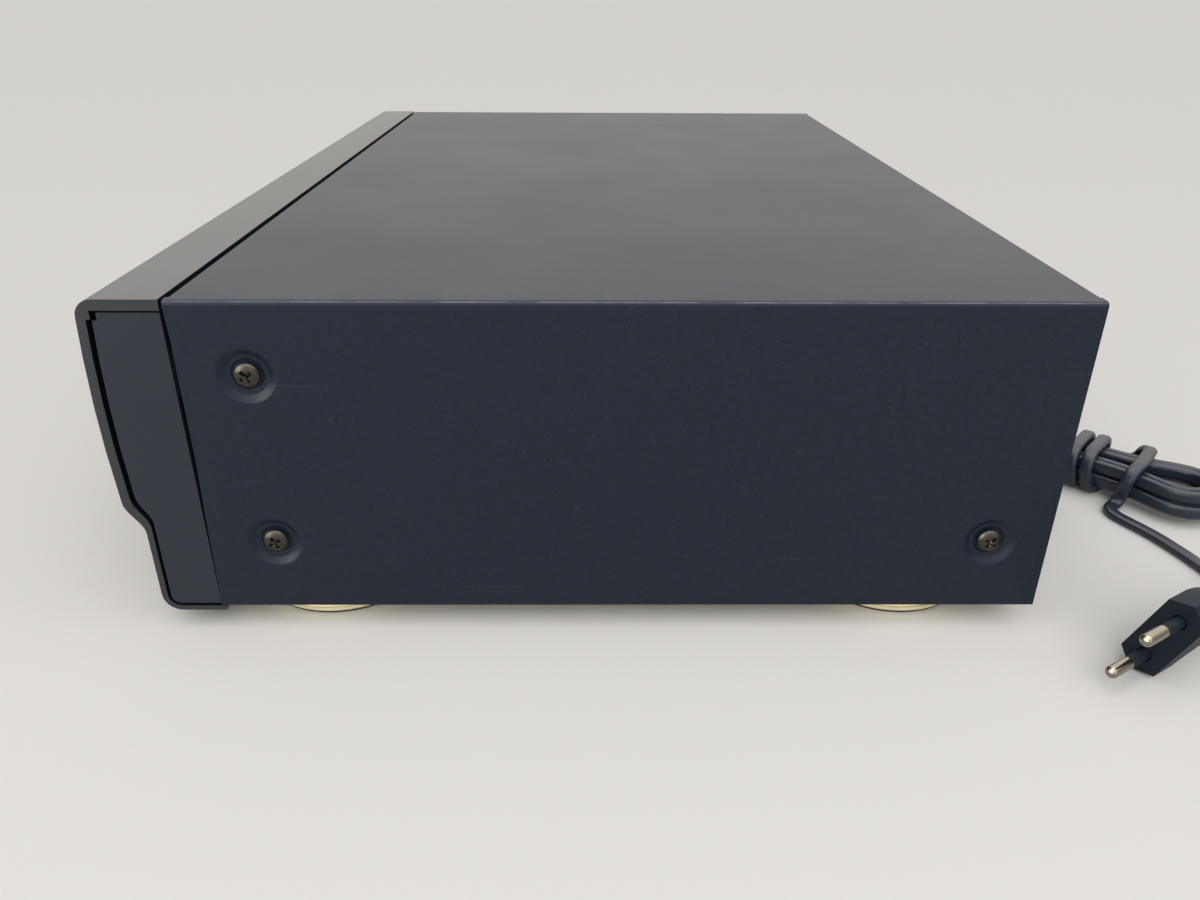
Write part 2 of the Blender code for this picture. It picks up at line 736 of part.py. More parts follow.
def gear_outline(teeth, module, middle, turn=0):
    """Outline of a spur gear with straight-flanked teeth."""
    pitch = module * teeth / 2
    tip, root = pitch + TOOTH_TIP_SHARE * module, pitch - TOOTH_ROOT_SHARE * module
    half = TOOTH_WIDTH_SHARE * math.pi * module / 2
    rise, fall = tip - pitch, pitch - root
    points = []
    for i in range(teeth):
        angle = turn + 2 * math.pi * i / teeth
        for radius, width in (
            (root, half + fall * math.tan(TOOTH_SLOPE)),
            (tip, half - rise * math.tan(TOOTH_SLOPE)),
            (tip, -(half - rise * math.tan(TOOTH_SLOPE))),
            (root, -(half + fall * math.tan(TOOTH_SLOPE))),
        ):
            lean = angle - width / radius
            points.append((middle[0] + radius * math.cos(lean), middle[1] + radius * math.sin(lean)))
    return points


def rack_outline(module, line, body, start, end, phase):
    """Outline of a straight rack along Y whose teeth point to -X, a tooth centred at phase."""
    step = math.pi * module
    half = TOOTH_WIDTH_SHARE * step / 2
    tip, root = line - TOOTH_TIP_SHARE * module, line + TOOTH_ROOT_SHARE * module
    slope = math.tan(TOOTH_SLOPE)
    first = math.ceil((start - phase) / step + 0.5)
    last = math.floor((end - phase) / step - 0.5)
    points = [(body, end), (body, start), (root, start)]
    for i in range(first, last + 1):
        middle = phase + i * step
        points.append((root, middle - half - (root - line) * slope))
        points.append((tip, middle - half + (line - tip) * slope))
        points.append((tip, middle + half - (line - tip) * slope))
        points.append((root, middle + half + (root - line) * slope))
    points.append((root, end))
    return points


# Case

def make_cover():
    """Folded cover: top and sides of one sheet, dimpled at its screws, with a rear tail."""
    outer, inner = COVER_BEND, COVER_BEND - SHEET
    right = CASE_HALF
    shell = [(right, COVER_LOW)]
    shell += corner((right - outer, COVER_TOP - outer), outer, 0, 90, 4)
    shell += [(-x, z) for x, z in reversed(shell)]
    inside = [(right - SHEET, COVER_LOW)]
    inside += corner((right - outer, COVER_TOP - outer), inner, 0, 90, 4)
    inside += [(-x, z) for x, z in reversed(inside)]
    cover = outline_solid("top_cover", shell + inside[::-1], COVER_FRONT - COVER_SIDE_LEAD,
                          COVER_REAR, "XZ")
    cut(cover, block("cover_front_trim",
                     (2 * outer - right, COVER_FRONT - COVER_SIDE_LEAD - OVERRUN, COVER_TOP - 2 * SHEET),
                     (right - 2 * outer, COVER_FRONT, COVER_TOP + OVERRUN)))
    join(cover, block("cover_tail",
                      (3 * outer - right, COVER_REAR - SHEET, COVER_TOP - COVER_TAIL_DEPTH),
                      (right - 3 * outer, COVER_REAR, COVER_TOP - SHEET / 2)))
    slope = (DIMPLE_RADIUS - DIMPLE_FLOOR) / DIMPLE_DEPTH
    for side in (1, -1):
        for n, (back, rise) in enumerate(screw_places()):
            y, z = at_back(back), COVER_LOW + rise
            skin = side * right
            def along(depth):
                return (skin - side * depth, y, z)
            cup = rod(f"dimple_cup_{side}_{n}", along(SHEET / 2), along(SHEET + DIMPLE_DEPTH),
                      DIMPLE_RADIUS + slope * SHEET / 2, DIMPLE_FLOOR)
            dish = rod(f"dimple_dish_{side}_{n}", along(-SHEET), along(DIMPLE_DEPTH),
                       DIMPLE_RADIUS + slope * SHEET, DIMPLE_FLOOR)
            hole = rod(f"dimple_hole_{side}_{n}", along(-SHEET),
                       along(SHEET + DIMPLE_DEPTH + OVERRUN), SCREW_HOLE, sides=12)
            join(cover, cup)
            cut(cover, dish, hole)
    finish(cover, "cover_paint")


def screw_places():
    """Back and rise of the three screws of each side."""
    return (
        (FRONT_SCREW_BACK, UPPER_SCREW_RISE),
        (FRONT_SCREW_BACK, LOWER_SCREW_RISE),
        (REAR_SCREW_BACK, LOWER_SCREW_RISE),
    )


SCREW_NAMES = ("front_upper", "front_lower", "rear_lower")


def make_screws():
    """Six pan-head screws, one object each."""
    seat = CASE_HALF - DIMPLE_DEPTH + SEAT
    for side, side_name in ((1, "right"), (-1, "left")):
        for (back, rise), where in zip(screw_places(), SCREW_NAMES):
            profile = [(SCREW_HEAD * out, SCREW_HEAD_RISE * up) for out, up in SCREW_CROWN_SHARES]
            profile += [(SCREW_HEAD, 0), (SCREW_SHAFT, 0), (SCREW_SHAFT, -SCREW_LENGTH),
                        (0, -SCREW_LENGTH - SCREW_SHAFT)]
            place = (side * seat, at_back(back), COVER_LOW + rise)
            screw = turned(f"cover_screw_{side_name}_{where}", profile, place, (side, 0, 0), 12)
            face = side * (seat + SCREW_HEAD_RISE)
            deep = face - side * SCREW_SLOT_DEPTH
            out = face + side * OVERRUN
            y, z = place[1], place[2]
            lows, highs = sorted((deep, out)), (SCREW_SLOT_REACH, SCREW_SLOT_HALF)
            cut(screw,
                block(f"slot_a_{side_name}_{where}", (lows[0], y - highs[0], z - highs[1]),
                      (lows[1], y + highs[0], z + highs[1])),
                block(f"slot_b_{side_name}_{where}", (lows[0], y - highs[1], z - highs[0]),
                      (lows[1], y + highs[1], z + highs[0])))
            finish(screw, "dark_screw")


def pan_levels():
    """Underside and top of the chassis pan's floor."""
    low = COVER_LOW + PAN_LIFT
    return low, low + SHEET


def rear_faces():
    """Inner and outer face of the rear panel."""
    outer = COVER_REAR - SHEET - SEAT
    return outer - SHEET, outer


def pan_half():
    """Half the width over the pan's side flanges."""
    return CASE_HALF - SHEET - DIMPLE_DEPTH - SEAT


def make_chassis():
    """Folded chassis pan with flanges, foot holes, vents and board posts."""
    low, top = pan_levels()
    half = pan_half()
    front, rear = at_back(-PAN_START), rear_faces()[0] - SEAT
    pan = block("chassis_base", (-half, front, low), (half, rear, low + PAN_FLANGE))
    cut(pan,
        block("pan_hollow", (SHEET - half, front + SHEET, top),
              (half - SHEET, rear - SHEET, low + PAN_FLANGE + OVERRUN)),
        block("pan_trim", (SHEET - half, front - OVERRUN, low + PAN_END_FLANGE),
              (half - SHEET, rear + OVERRUN, low + PAN_FLANGE + OVERRUN)))
    vents = []
    for i in range(PAN_VENT_COUNT):
        y = at_back(CORE_BACK) + (i - PAN_VENT_COUNT / 2) * PAN_VENT_STEP
        for share in PAN_VENT_SHARES:
            x = share * half
            vents.append(((x - PAN_VENT_LENGTH / 2, y, low - OVERRUN),
                          (x + PAN_VENT_LENGTH / 2, y + PAN_VENT_WIDTH, top + OVERRUN)))
    cut(pan, blocks("pan_vents", vents))
    for n, (x, y) in enumerate(board_posts()):
        join(pan, rod(f"board_post_{n}", (x, y, top - LAP), (x, y, BOARD_LOW - SEAT), BOARD_POST,
                      sides=8))
    for side in (1, -1):
        for n, (back, rise) in enumerate(screw_places()[1:]):
            place = at_back(back), COVER_LOW + rise
            cut(pan, rod(f"pan_screw_hole_{side}_{n}", (side * (half - 2 * SHEET), *place),
                         (side * (half + OVERRUN), *place), SCREW_HOLE))
    finish(pan, "zinc")


def board_posts():
    """Places of the six posts under the main board."""
    xs = (BOARD_X_MIN + POST_MARGIN, BOARD_X_MAX - POST_MARGIN)
    start, end = at_back(BOARD_START + POST_MARGIN), at_back(BOARD_END - POST_MARGIN)
    return [(x, y) for x in xs for y in (start, (start + end) / 2, end)]


def make_rear_panel():
    """Flat rear panel with a top lip, vents, and holes for the sockets and the strain relief."""
    inner, outer = rear_faces()
    half = CASE_HALF - SHEET - SEAT
    top = COVER_TOP - SHEET - SEAT
    panel = block("rear_panel", (-half, inner, pan_levels()[0]), (half, outer, top))
    join(panel, block("rear_lip", (COVER_BEND - half, inner - REAR_TOP_LIP, top - SHEET),
                      (half - COVER_BEND, inner + SHEET / 2, top)))
    vents = []
    for i in range(REAR_VENT_COUNT):
        x = REAR_VENT_X + i * REAR_VENT_STEP
        vents.append(((x, inner - OVERRUN, REAR_VENT_RISE),
                      (x + REAR_VENT_WIDTH, outer + OVERRUN, REAR_VENT_RISE + REAR_VENT_HEIGHT)))
    cut(panel, blocks("rear_vents", vents))
    cut(panel, rod("gland_hole", (GLAND_X, inner - OVERRUN, GLAND_HIGH),
                   (GLAND_X, outer + OVERRUN, GLAND_HIGH), GLAND_NECK + PLAY))
    for n, x in enumerate(socket_places()):
        cut(panel, rod(f"socket_hole_{n}", (x, inner - OVERRUN, socket_height()),
                       (x, outer + OVERRUN, socket_height()), SOCKET_RADIUS + PLAY))
    finish(panel, "cover_paint")


def socket_places():
    """X of the two audio sockets."""
    return SOCKET_X - SOCKET_SPACING / 2, SOCKET_X + SOCKET_SPACING / 2


def socket_height():
    """Height of the sockets' axes."""
    return BOARD_LOW + BOARD_THICK + SOCKET_RISE


def make_feet():
    """Four round feet: a bright drum on a thin dark base, hollow underneath."""
    top = pan_levels()[0] - SEAT
    base = FOOT_RADIUS - FOOT_BASE_IN
    profile = [(0, top), (FOOT_RADIUS - FOOT_CHAMFER, top), (FOOT_RADIUS, top - FOOT_CHAMFER),
               (FOOT_RADIUS, FOOT_BASE_HEIGHT), (base, FOOT_BASE_HEIGHT), (base, 0),
               (FOOT_HOLLOW, 0), (FOOT_HOLLOW, FOOT_HOLLOW_DEPTH), (0, FOOT_HOLLOW_DEPTH)]
    for side, side_name in ((1, "right"), (-1, "left")):
        for back, end in ((FRONT_FOOT_BACK, "front"), (REAR_FOOT_BACK, "rear")):
            x = side * (CASE_HALF - FOOT_INSET)
            foot = turned(f"foot_{end}_{side_name}", profile, (x, at_back(back), 0))
            finish(foot, "foot_gold")


# Front

def buttons():
    """Name, X of the centre, half width and travel of each push button."""
    return [(name, math.copysign(DOOR_WIDTH / 2, share) + share * CONTROL_BAY,
             half_share * CONTROL_BAY, travel)
            for name, share, half_share, travel in BUTTON_SHARES]


def board_post_places():
    """X and height of the eight posts that carry the front board."""
    outer = FRONT_BOARD_HALF - BOARD_POST_SIDE
    upper, lower = FRONT_BOARD_HIGH - BOARD_POST_DROP, FRONT_BOARD_LOW + BOARD_POST_RISE
    places = [(outer, upper), (outer, lower),
              (FRONT_BOARD_GAP_HALF + GAP_POST_UPPER, upper),
              (FRONT_BOARD_GAP_HALF + GAP_POST_LOWER, lower)]
    return places + [(-x, z) for x, z in places]


def door_hole(name):
    """Cutter for the tray's way out."""
    half = DOOR_WIDTH / 2 + DOOR_GAP
    return block(name, (-half, at_back(-PANEL_REACH - OVERRUN), DOOR_LOW - DOOR_GAP),
                 (half, at_back(OVERRUN), DOOR_HIGH + DOOR_GAP))


def button_hole(name, x, half):
    """Cutter for one push button's shaft."""
    wide, tall = half + PLAY, BUTTON_HALF_HEIGHT + PLAY
    return block(name, (x - wide, at_back(-PANEL_REACH - OVERRUN), BUTTON_HIGH - tall),
                 (x + wide, at_back(0), BUTTON_HIGH + tall))


def round_hole(name, x, radius):
    """Cutter for a round control in the button row."""
    return rod(name, (x, at_back(-PANEL_REACH - OVERRUN), BUTTON_HIGH), (x, at_back(0), BUTTON_HIGH),
               radius)


def make_front_panel():
    """Outer shell of the front: one section along the whole width, with its cut-outs."""
    outer = front_section(0, 0, 0, 0, PANEL_SEAM, PANEL_FOOT_END)
    inner = front_section(WALL_TOP, WALL_FRONT, WALL_LOW, WALL_FOOT, PANEL_SEAM, PANEL_FOOT_END,
                          CORNER_BLOCK_BACK, CORNER_BLOCK_DROP)
    panel = outline_solid("front_panel", outer + inner[::-1], -CASE_HALF, CASE_HALF, "YZ")
    cut(panel, door_hole("panel_door_hole"))
    cut(panel, block("panel_window_hole",
                     (DISPLAY_X_MIN - SEAT, at_back(-PANEL_REACH - OVERRUN), DISPLAY_LOW - SEAT),
                     (DISPLAY_X_MAX + SEAT, at_back(-FRAME_REAR), DISPLAY_HIGH + SEAT)))
    for name, x, half, _ in buttons():
        cut(panel, button_hole(f"panel_hole_{name}", x, half))
    cut(panel, round_hole("panel_jack_hole", JACK_X, JACK_RING + PLAY),
        round_hole("panel_knob_hole", KNOB_X, KNOB_SHAFT + PLAY))
    finish(panel, "panel_metal")


def make_front_frame():
    """Moulded frame inside the shell: hollow, closed at its ends, with posts and screw lugs."""
    outer = front_section(FRAME_IN_TOP, FRAME_IN_FRONT, FRAME_IN_LOW, FRAME_IN_FOOT,
                          FRAME_REAR, FRAME_REAR, FRAME_BLOCK_BACK, FRAME_BLOCK_DROP)
    frame = outline_solid("front_frame", outer, -CASE_HALF, CASE_HALF, "YZ")
    wall = FRAME_WALL
    inner = front_section(FRAME_IN_TOP + wall, FRAME_IN_FRONT + wall, FRAME_IN_LOW + wall,
                          FRAME_IN_FOOT + wall, FRAME_REAR - OVERRUN, FRAME_REAR - OVERRUN,
                          FRAME_BLOCK_BACK + wall, FRAME_BLOCK_DROP)
    cut(frame, outline_solid("frame_hollow", inner, wall - CASE_HALF, CASE_HALF - wall, "YZ"))
    cut(frame, door_hole("frame_door_hole"))
    cut(frame, block("frame_display_hole",
                     (DISPLAY_X_MIN + DISPLAY_LIP, at_back(-PANEL_REACH), DISPLAY_LOW + DISPLAY_LIP / 2),
                     (DISPLAY_X_MAX - DISPLAY_LIP, at_back(-FRAME_REAR), DISPLAY_HIGH - DISPLAY_LIP / 2)))
    for name, x, half, _ in buttons():
        cut(frame, button_hole(f"frame_hole_{name}", x, half))
    cut(frame, round_hole("frame_jack_hole", JACK_X, JACK_RING + PLAY),
        round_hole("frame_knob_hole", KNOB_X, KNOB_SHAFT + PLAY))
    for n, (x, z) in enumerate(board_post_places()):
        deep = panel_front(z - COVER_LOW, FRAME_IN_FRONT + wall / 2)
        join(frame, rod(f"frame_post_{n}", (x, at_back(-deep), z),
                        (x, board_front() - SEAT, z), BOARD_POST, sides=8))
    z = COVER_LOW + UPPER_SCREW_RISE
    for side in (1, -1):
        face = side * pan_half()
        xs = sorted((face, face - side * LUG_THICK))
        roots = sorted((side * (CASE_HALF - wall / 2), face - side * LUG_THICK))
        join(frame,
             block(f"lug_{side}", (xs[0], at_back(-LUG_ROOT - FRAME_REAR), z - LUG_HALF),
                   (xs[1], at_back(LUG_REACH), z + LUG_HALF)),
             block(f"lug_root_{side}", (roots[0], at_back(-LUG_ROOT - FRAME_REAR), z - LUG_HALF),
                   (roots[1], at_back(-FRAME_REAR), z + LUG_HALF)))
        cut(frame, rod(f"lug_hole_{side}", (face - 2 * side * LUG_THICK, at_back(FRONT_SCREW_BACK), z),
                       (face + side * OVERRUN, at_back(FRONT_SCREW_BACK), z), SCREW_HOLE))
    finish(frame, "frame_plastic")


def make_window():
    """Smoked display window, flush in the panel and seated on the frame."""
    middle = (DISPLAY_LOW + DISPLAY_HIGH) / 2 - COVER_LOW
    front = at_back(-panel_front(middle, 0))
    window = block("display_window", (DISPLAY_X_MIN, front, DISPLAY_LOW),
                   (DISPLAY_X_MAX, front + DISPLAY_THICK, DISPLAY_HIGH))
    finish(window, "smoked_window")


def board_front():
    """Y of the front board's front face."""
    return at_back(-FRONT_BOARD_BACK)


def frame_inside(rise):
    """Y of the frame's inner face at a height above the floor."""
    return at_back(-panel_front(rise - COVER_LOW, FRAME_IN_FRONT + FRAME_WALL))


def make_display():
    """Display tube between the frame and the front board."""
    front = frame_inside((DISPLAY_LOW + DISPLAY_HIGH) / 2) + CROWN
    module = block("display_module", (DISPLAY_X_MIN + SEAT, front, DISPLAY_LOW + SEAT),
                   (DISPLAY_X_MAX - SEAT, board_front() - SEAT, DISPLAY_HIGH - SEAT))
    finish(module, "display_glass")


def make_front_board():
    """Circuit board behind the buttons, cut out round the tray, with switches and a control."""
    front = board_front()
    board = block("front_board", (-FRONT_BOARD_HALF, front, FRONT_BOARD_LOW),
                  (FRONT_BOARD_HALF, front + BOARD_THICK, FRONT_BOARD_HIGH - LAP))
    cut(board, block("board_gap", (-FRONT_BOARD_GAP_HALF, front - OVERRUN, FRONT_BOARD_GAP_LOW),
                     (FRONT_BOARD_GAP_HALF, front + OVERRUN, FRONT_BOARD_HIGH + OVERRUN)))
    for name, x, _, travel in buttons():
        join(board, rod(f"switch_{name}", (x, front - SWITCH_REACH, BUTTON_HIGH),
                        (x, front + BOARD_THICK / 2, BUTTON_HIGH), BUTTON_STEM, sides=8))
    join(board, rod("pot", (KNOB_X, front - POT_LENGTH, BUTTON_HIGH),
                    (KNOB_X, front + BOARD_THICK / 2, BUTTON_HIGH), POT_RADIUS))
    cut(board, rod("pot_socket", (KNOB_X, front - POT_LENGTH - OVERRUN, BUTTON_HIGH),
                   (KNOB_X, front - POT_LENGTH + POT_SOCKET, BUTTON_HIGH), KNOB_SHAFT + PLAY))
    finish(board, "board_green")


def make_buttons():
    """Push buttons: cap and shaft, a flange behind the frame and a stem to the switch."""
    for name, x, half, travel in buttons():
        tall = BUTTON_HALF_HEIGHT
        face = at_back(-panel_front(BUTTON_HIGH - COVER_LOW, 0)) - BUTTON_PROUD
        flange = frame_inside(BUTTON_HIGH) + SEAT
        tip = board_front() - SWITCH_REACH - travel - SEAT
        z = BUTTON_HIGH
        origin = (x, face, z)
        button = block(name, (x - half, face, z - tall), (x + half, flange + LAP, z + tall), origin)
        join(button,
             block(f"{name}_flange", (x - half - BUTTON_FLANGE, flange, z - tall - BUTTON_FLANGE),
                   (x + half + BUTTON_FLANGE, flange + BUTTON_FLANGE_THICK, z + tall + BUTTON_FLANGE)),
             rod(f"{name}_stem", (x, flange + LAP, z), (x, tip, z), BUTTON_STEM, sides=8))
        finish(button, "button_plastic")


def make_headphones():
    """Headphone socket and its level knob."""
    face = at_back(-panel_front(BUTTON_HIGH - COVER_LOW, 0))
    inside = frame_inside(BUTTON_HIGH) + SEAT
    z = BUTTON_HIGH
    jack = block("headphone_jack", (JACK_X - JACK_HALF, inside, z - JACK_HALF),
                 (JACK_X + JACK_HALF, board_front() - SEAT, z + JACK_HALF))
    join(jack, rod("jack_ring", (JACK_X, face - JACK_PROUD, z), (JACK_X, inside + LAP, z), JACK_RING))
    cut(jack, rod("jack_bore", (JACK_X, face - OVERRUN, z),
                  (JACK_X, board_front() - 2 * SHEET, z), JACK_BORE))
    finish(jack, "black_plastic")

    back = face - SEAT
    front = at_back(-PANEL_REACH - KNOB_PROUD)
    length = back - front
    tip = board_front() - POT_LENGTH + POT_SOCKET - SEAT
    profile = [(0, length), (KNOB_RADIUS - 2 * KNOB_GRIP, length),
               (KNOB_RADIUS - KNOB_GRIP, length - KNOB_GRIP), (KNOB_RADIUS, KNOB_GRIP),
               (KNOB_RADIUS, 0), (KNOB_SHAFT, 0), (KNOB_SHAFT, back - tip), (0, back - tip)]
    knob = turned("headphone_knob", profile, (KNOB_X, back, z), (0, -1, 0), 20)
    mark = block("knob_mark", (KNOB_X - KNOB_GRIP, front - OVERRUN, z + KNOB_RADIUS / 2),
                 (KNOB_X + KNOB_GRIP, front + KNOB_GRIP, z + KNOB_RADIUS + OVERRUN))
    cut(knob, mark)
    finish(knob, "button_plastic")


# Disc tray and loader

def gear_levels():
    """Underside and top of the tray gear."""
    top = TRAY_TOP - TRAY_THICK - SEAT
    return top - GEAR_THICK, top


def gear_places():
    """Axes of the tray gear, the belt wheel and the loading motor."""
    y = at_back(GEAR_BACK)
    tray_x = RACK_LINE - MODULE * TRAY_GEAR_TEETH / 2
    wheel_x = tray_x - MODULE * (TRAY_GEAR_TEETH + PINION_TEETH) / 2
    return (tray_x, y), (wheel_x, y), (wheel_x - MOTOR_SPACING, y)


def pulley_levels():
    """Underside and top of the two pulleys."""
    low = gear_levels()[0] - PULLEY_DROP
    return low, low + PULLEY_THICK


def make_tray():
    """Disc tray: two stepped wells, a slot open to the rear, and a rack under its right side."""
    half = TRAY_WIDTH / 2
    low = TRAY_TOP - TRAY_THICK
    middle = at_back(DISC_BACK)
    door_back = at_back(-panel_front(CROWN_MIDDLE, DOOR_THICK))
    tray = block("disc_tray", (-half, door_back + SEAT, low), (half, at_back(TRAY_BACK), TRAY_TOP))
    start, end = at_back(GEAR_BACK - RACK_MARGIN), at_back(GEAR_BACK + TRAY_TRAVEL + RACK_MARGIN)
    rack = rack_outline(MODULE, RACK_LINE, RACK_LINE + RACK_BACK, start, end,
                        gear_places()[0][1] + math.pi * MODULE / 2)
    join(tray, outline_solid("tray_rack", rack, gear_levels()[0], low + LAP, "XY"))
    def well(name, radius, depth, sides):
        return rod(name, (0, middle, TRAY_TOP - depth), (0, middle, TRAY_TOP + OVERRUN), radius,
                   sides=sides)
    cut(tray, well("well", WELL_RADIUS, WELL_DEPTH, 48),
        well("small_well", SMALL_WELL_RADIUS, SMALL_WELL_DEPTH, 40),
        rod("slot_end", (0, middle, low - OVERRUN), (0, middle, TRAY_TOP + OVERRUN), SLOT_HALF,
            sides=24),
        block("slot", (-SLOT_HALF, middle, low - OVERRUN),
              (SLOT_HALF, at_back(TRAY_BACK + OVERRUN), TRAY_TOP + OVERRUN)))
    finish(tray, "black_plastic")

    points = []
    steps = 6
    for i in range(steps + 1):
        z = DOOR_HIGH + (DOOR_LOW - DOOR_HIGH) * i / steps
        points.append((at_back(-panel_front(z - COVER_LOW, 0)), z))
    points += [(door_back, DOOR_LOW), (door_back, DOOR_HIGH)]
    door = outline_solid("tray_door", points, -DOOR_WIDTH / 2, DOOR_WIDTH / 2, "YZ")
    finish(door, "panel_metal")


def make_loader_gears():
    """Tray gear, belt wheel with its pinion, motor pulley, belt and loading motor."""
    (tray_x, y), (wheel_x, _), (motor_x, _) = gear_places()
    low, high = gear_levels()
    gear = outline_solid("tray_gear", gear_outline(TRAY_GEAR_TEETH, MODULE, (tray_x, y)),
                         low, high, "XY", (tray_x, y, low))
    cut(gear, rod("tray_gear_bore", (tray_x, y, low - OVERRUN), (tray_x, y, high + OVERRUN),
                  GEAR_PIN + PLAY))
    finish(gear, "white_plastic")

    base, top = pulley_levels()
    quarter = PULLEY_THICK / 4
    hub = PINION_TEETH * MODULE / 2 - 2 * MODULE
    profile = [(0, low + LAP), (hub, low + LAP), (hub, top), (WHEEL_RADIUS, top),
               (WHEEL_RADIUS, top - quarter), (WHEEL_GROOVE, top - 2 * quarter),
               (WHEEL_RADIUS, base + quarter), (WHEEL_RADIUS, base), (0, base)]
    profile = [(r, h - base) for r, h in profile]
    wheel = turned("belt_wheel", profile, (wheel_x, y, base), sides=20)
    pinion = outline_solid("pinion", gear_outline(PINION_TEETH, MODULE, (wheel_x, y),
                                                  math.pi / PINION_TEETH), low, high, "XY")
    join(wheel, pinion)
    cut(wheel, rod("wheel_bore", (wheel_x, y, base - OVERRUN), (wheel_x, y, high + OVERRUN),
                   GEAR_PIN + PLAY, sides=12))
    finish(wheel, "white_plastic")

    profile = [(MOTOR_SHAFT + PLAY, top), (MOTOR_PULLEY_RADIUS, top),
               (MOTOR_PULLEY_RADIUS, top - quarter), (MOTOR_PULLEY_GROOVE, top - 2 * quarter),
               (MOTOR_PULLEY_RADIUS, base + quarter), (MOTOR_PULLEY_RADIUS, base),
               (MOTOR_SHAFT + PLAY, base)]
    profile = [(r, h - base) for r, h in profile]
    finish(turned("motor_pulley", profile, (motor_x, y, base), sides=16), "white_plastic")

    middle = (base + top) / 2
    wheel_seat = belt_seat(WHEEL_RADIUS, WHEEL_GROOVE)
    pulley_seat = belt_seat(MOTOR_PULLEY_RADIUS, MOTOR_PULLEY_GROOVE)
    thick = 2 * BELT_HALF
    outer = belt_outline(wheel_x, motor_x, y, wheel_seat + thick, pulley_seat + thick)
    belt = outline_solid("drive_belt", outer, middle - BELT_HALF, middle + BELT_HALF, "XY")
    inner = belt_outline(wheel_x, motor_x, y, wheel_seat, pulley_seat)
    cut(belt, outline_solid("belt_inside", inner, middle - thick, middle + thick, "XY"))
    finish(belt, "rubber")

    deck = DECK_LOW - SEAT
    profile = [(0, base + PULLEY_THICK - deck), (MOTOR_SHAFT, base + PULLEY_THICK - deck),
               (MOTOR_SHAFT, DECK_THICK), (MOTOR_NECK, DECK_THICK), (MOTOR_NECK, 0),
               (MOTOR_RADIUS, 0), (MOTOR_RADIUS, -MOTOR_LENGTH), (0, -MOTOR_LENGTH)]
    finish(turned("loading_motor", profile, (motor_x, y, deck), sides=20), "steel")


def belt_seat(rim, groove):
    """Radius of the belt's inner side where it lies in a pulley's groove."""
    return groove + 4 * BELT_HALF * (rim - groove) / PULLEY_THICK + SEAT


def belt_outline(wheel_x, motor_x, y, wheel, pulley):
    """Outline of a belt round two wheels on one Y line."""
    lean = math.degrees(math.asin((wheel - pulley) / abs(wheel_x - motor_x)))
    points = corner((wheel_x, y), wheel, -90 - lean, 90 + lean, 12)
    points += corner((motor_x, y), pulley, 90 + lean, 270 - lean, 8)
    return points


def loader_front():
    """Y of the loader's front edge, seated behind the pan's front flange."""
    return at_back(SHEET - PAN_START) + SEAT


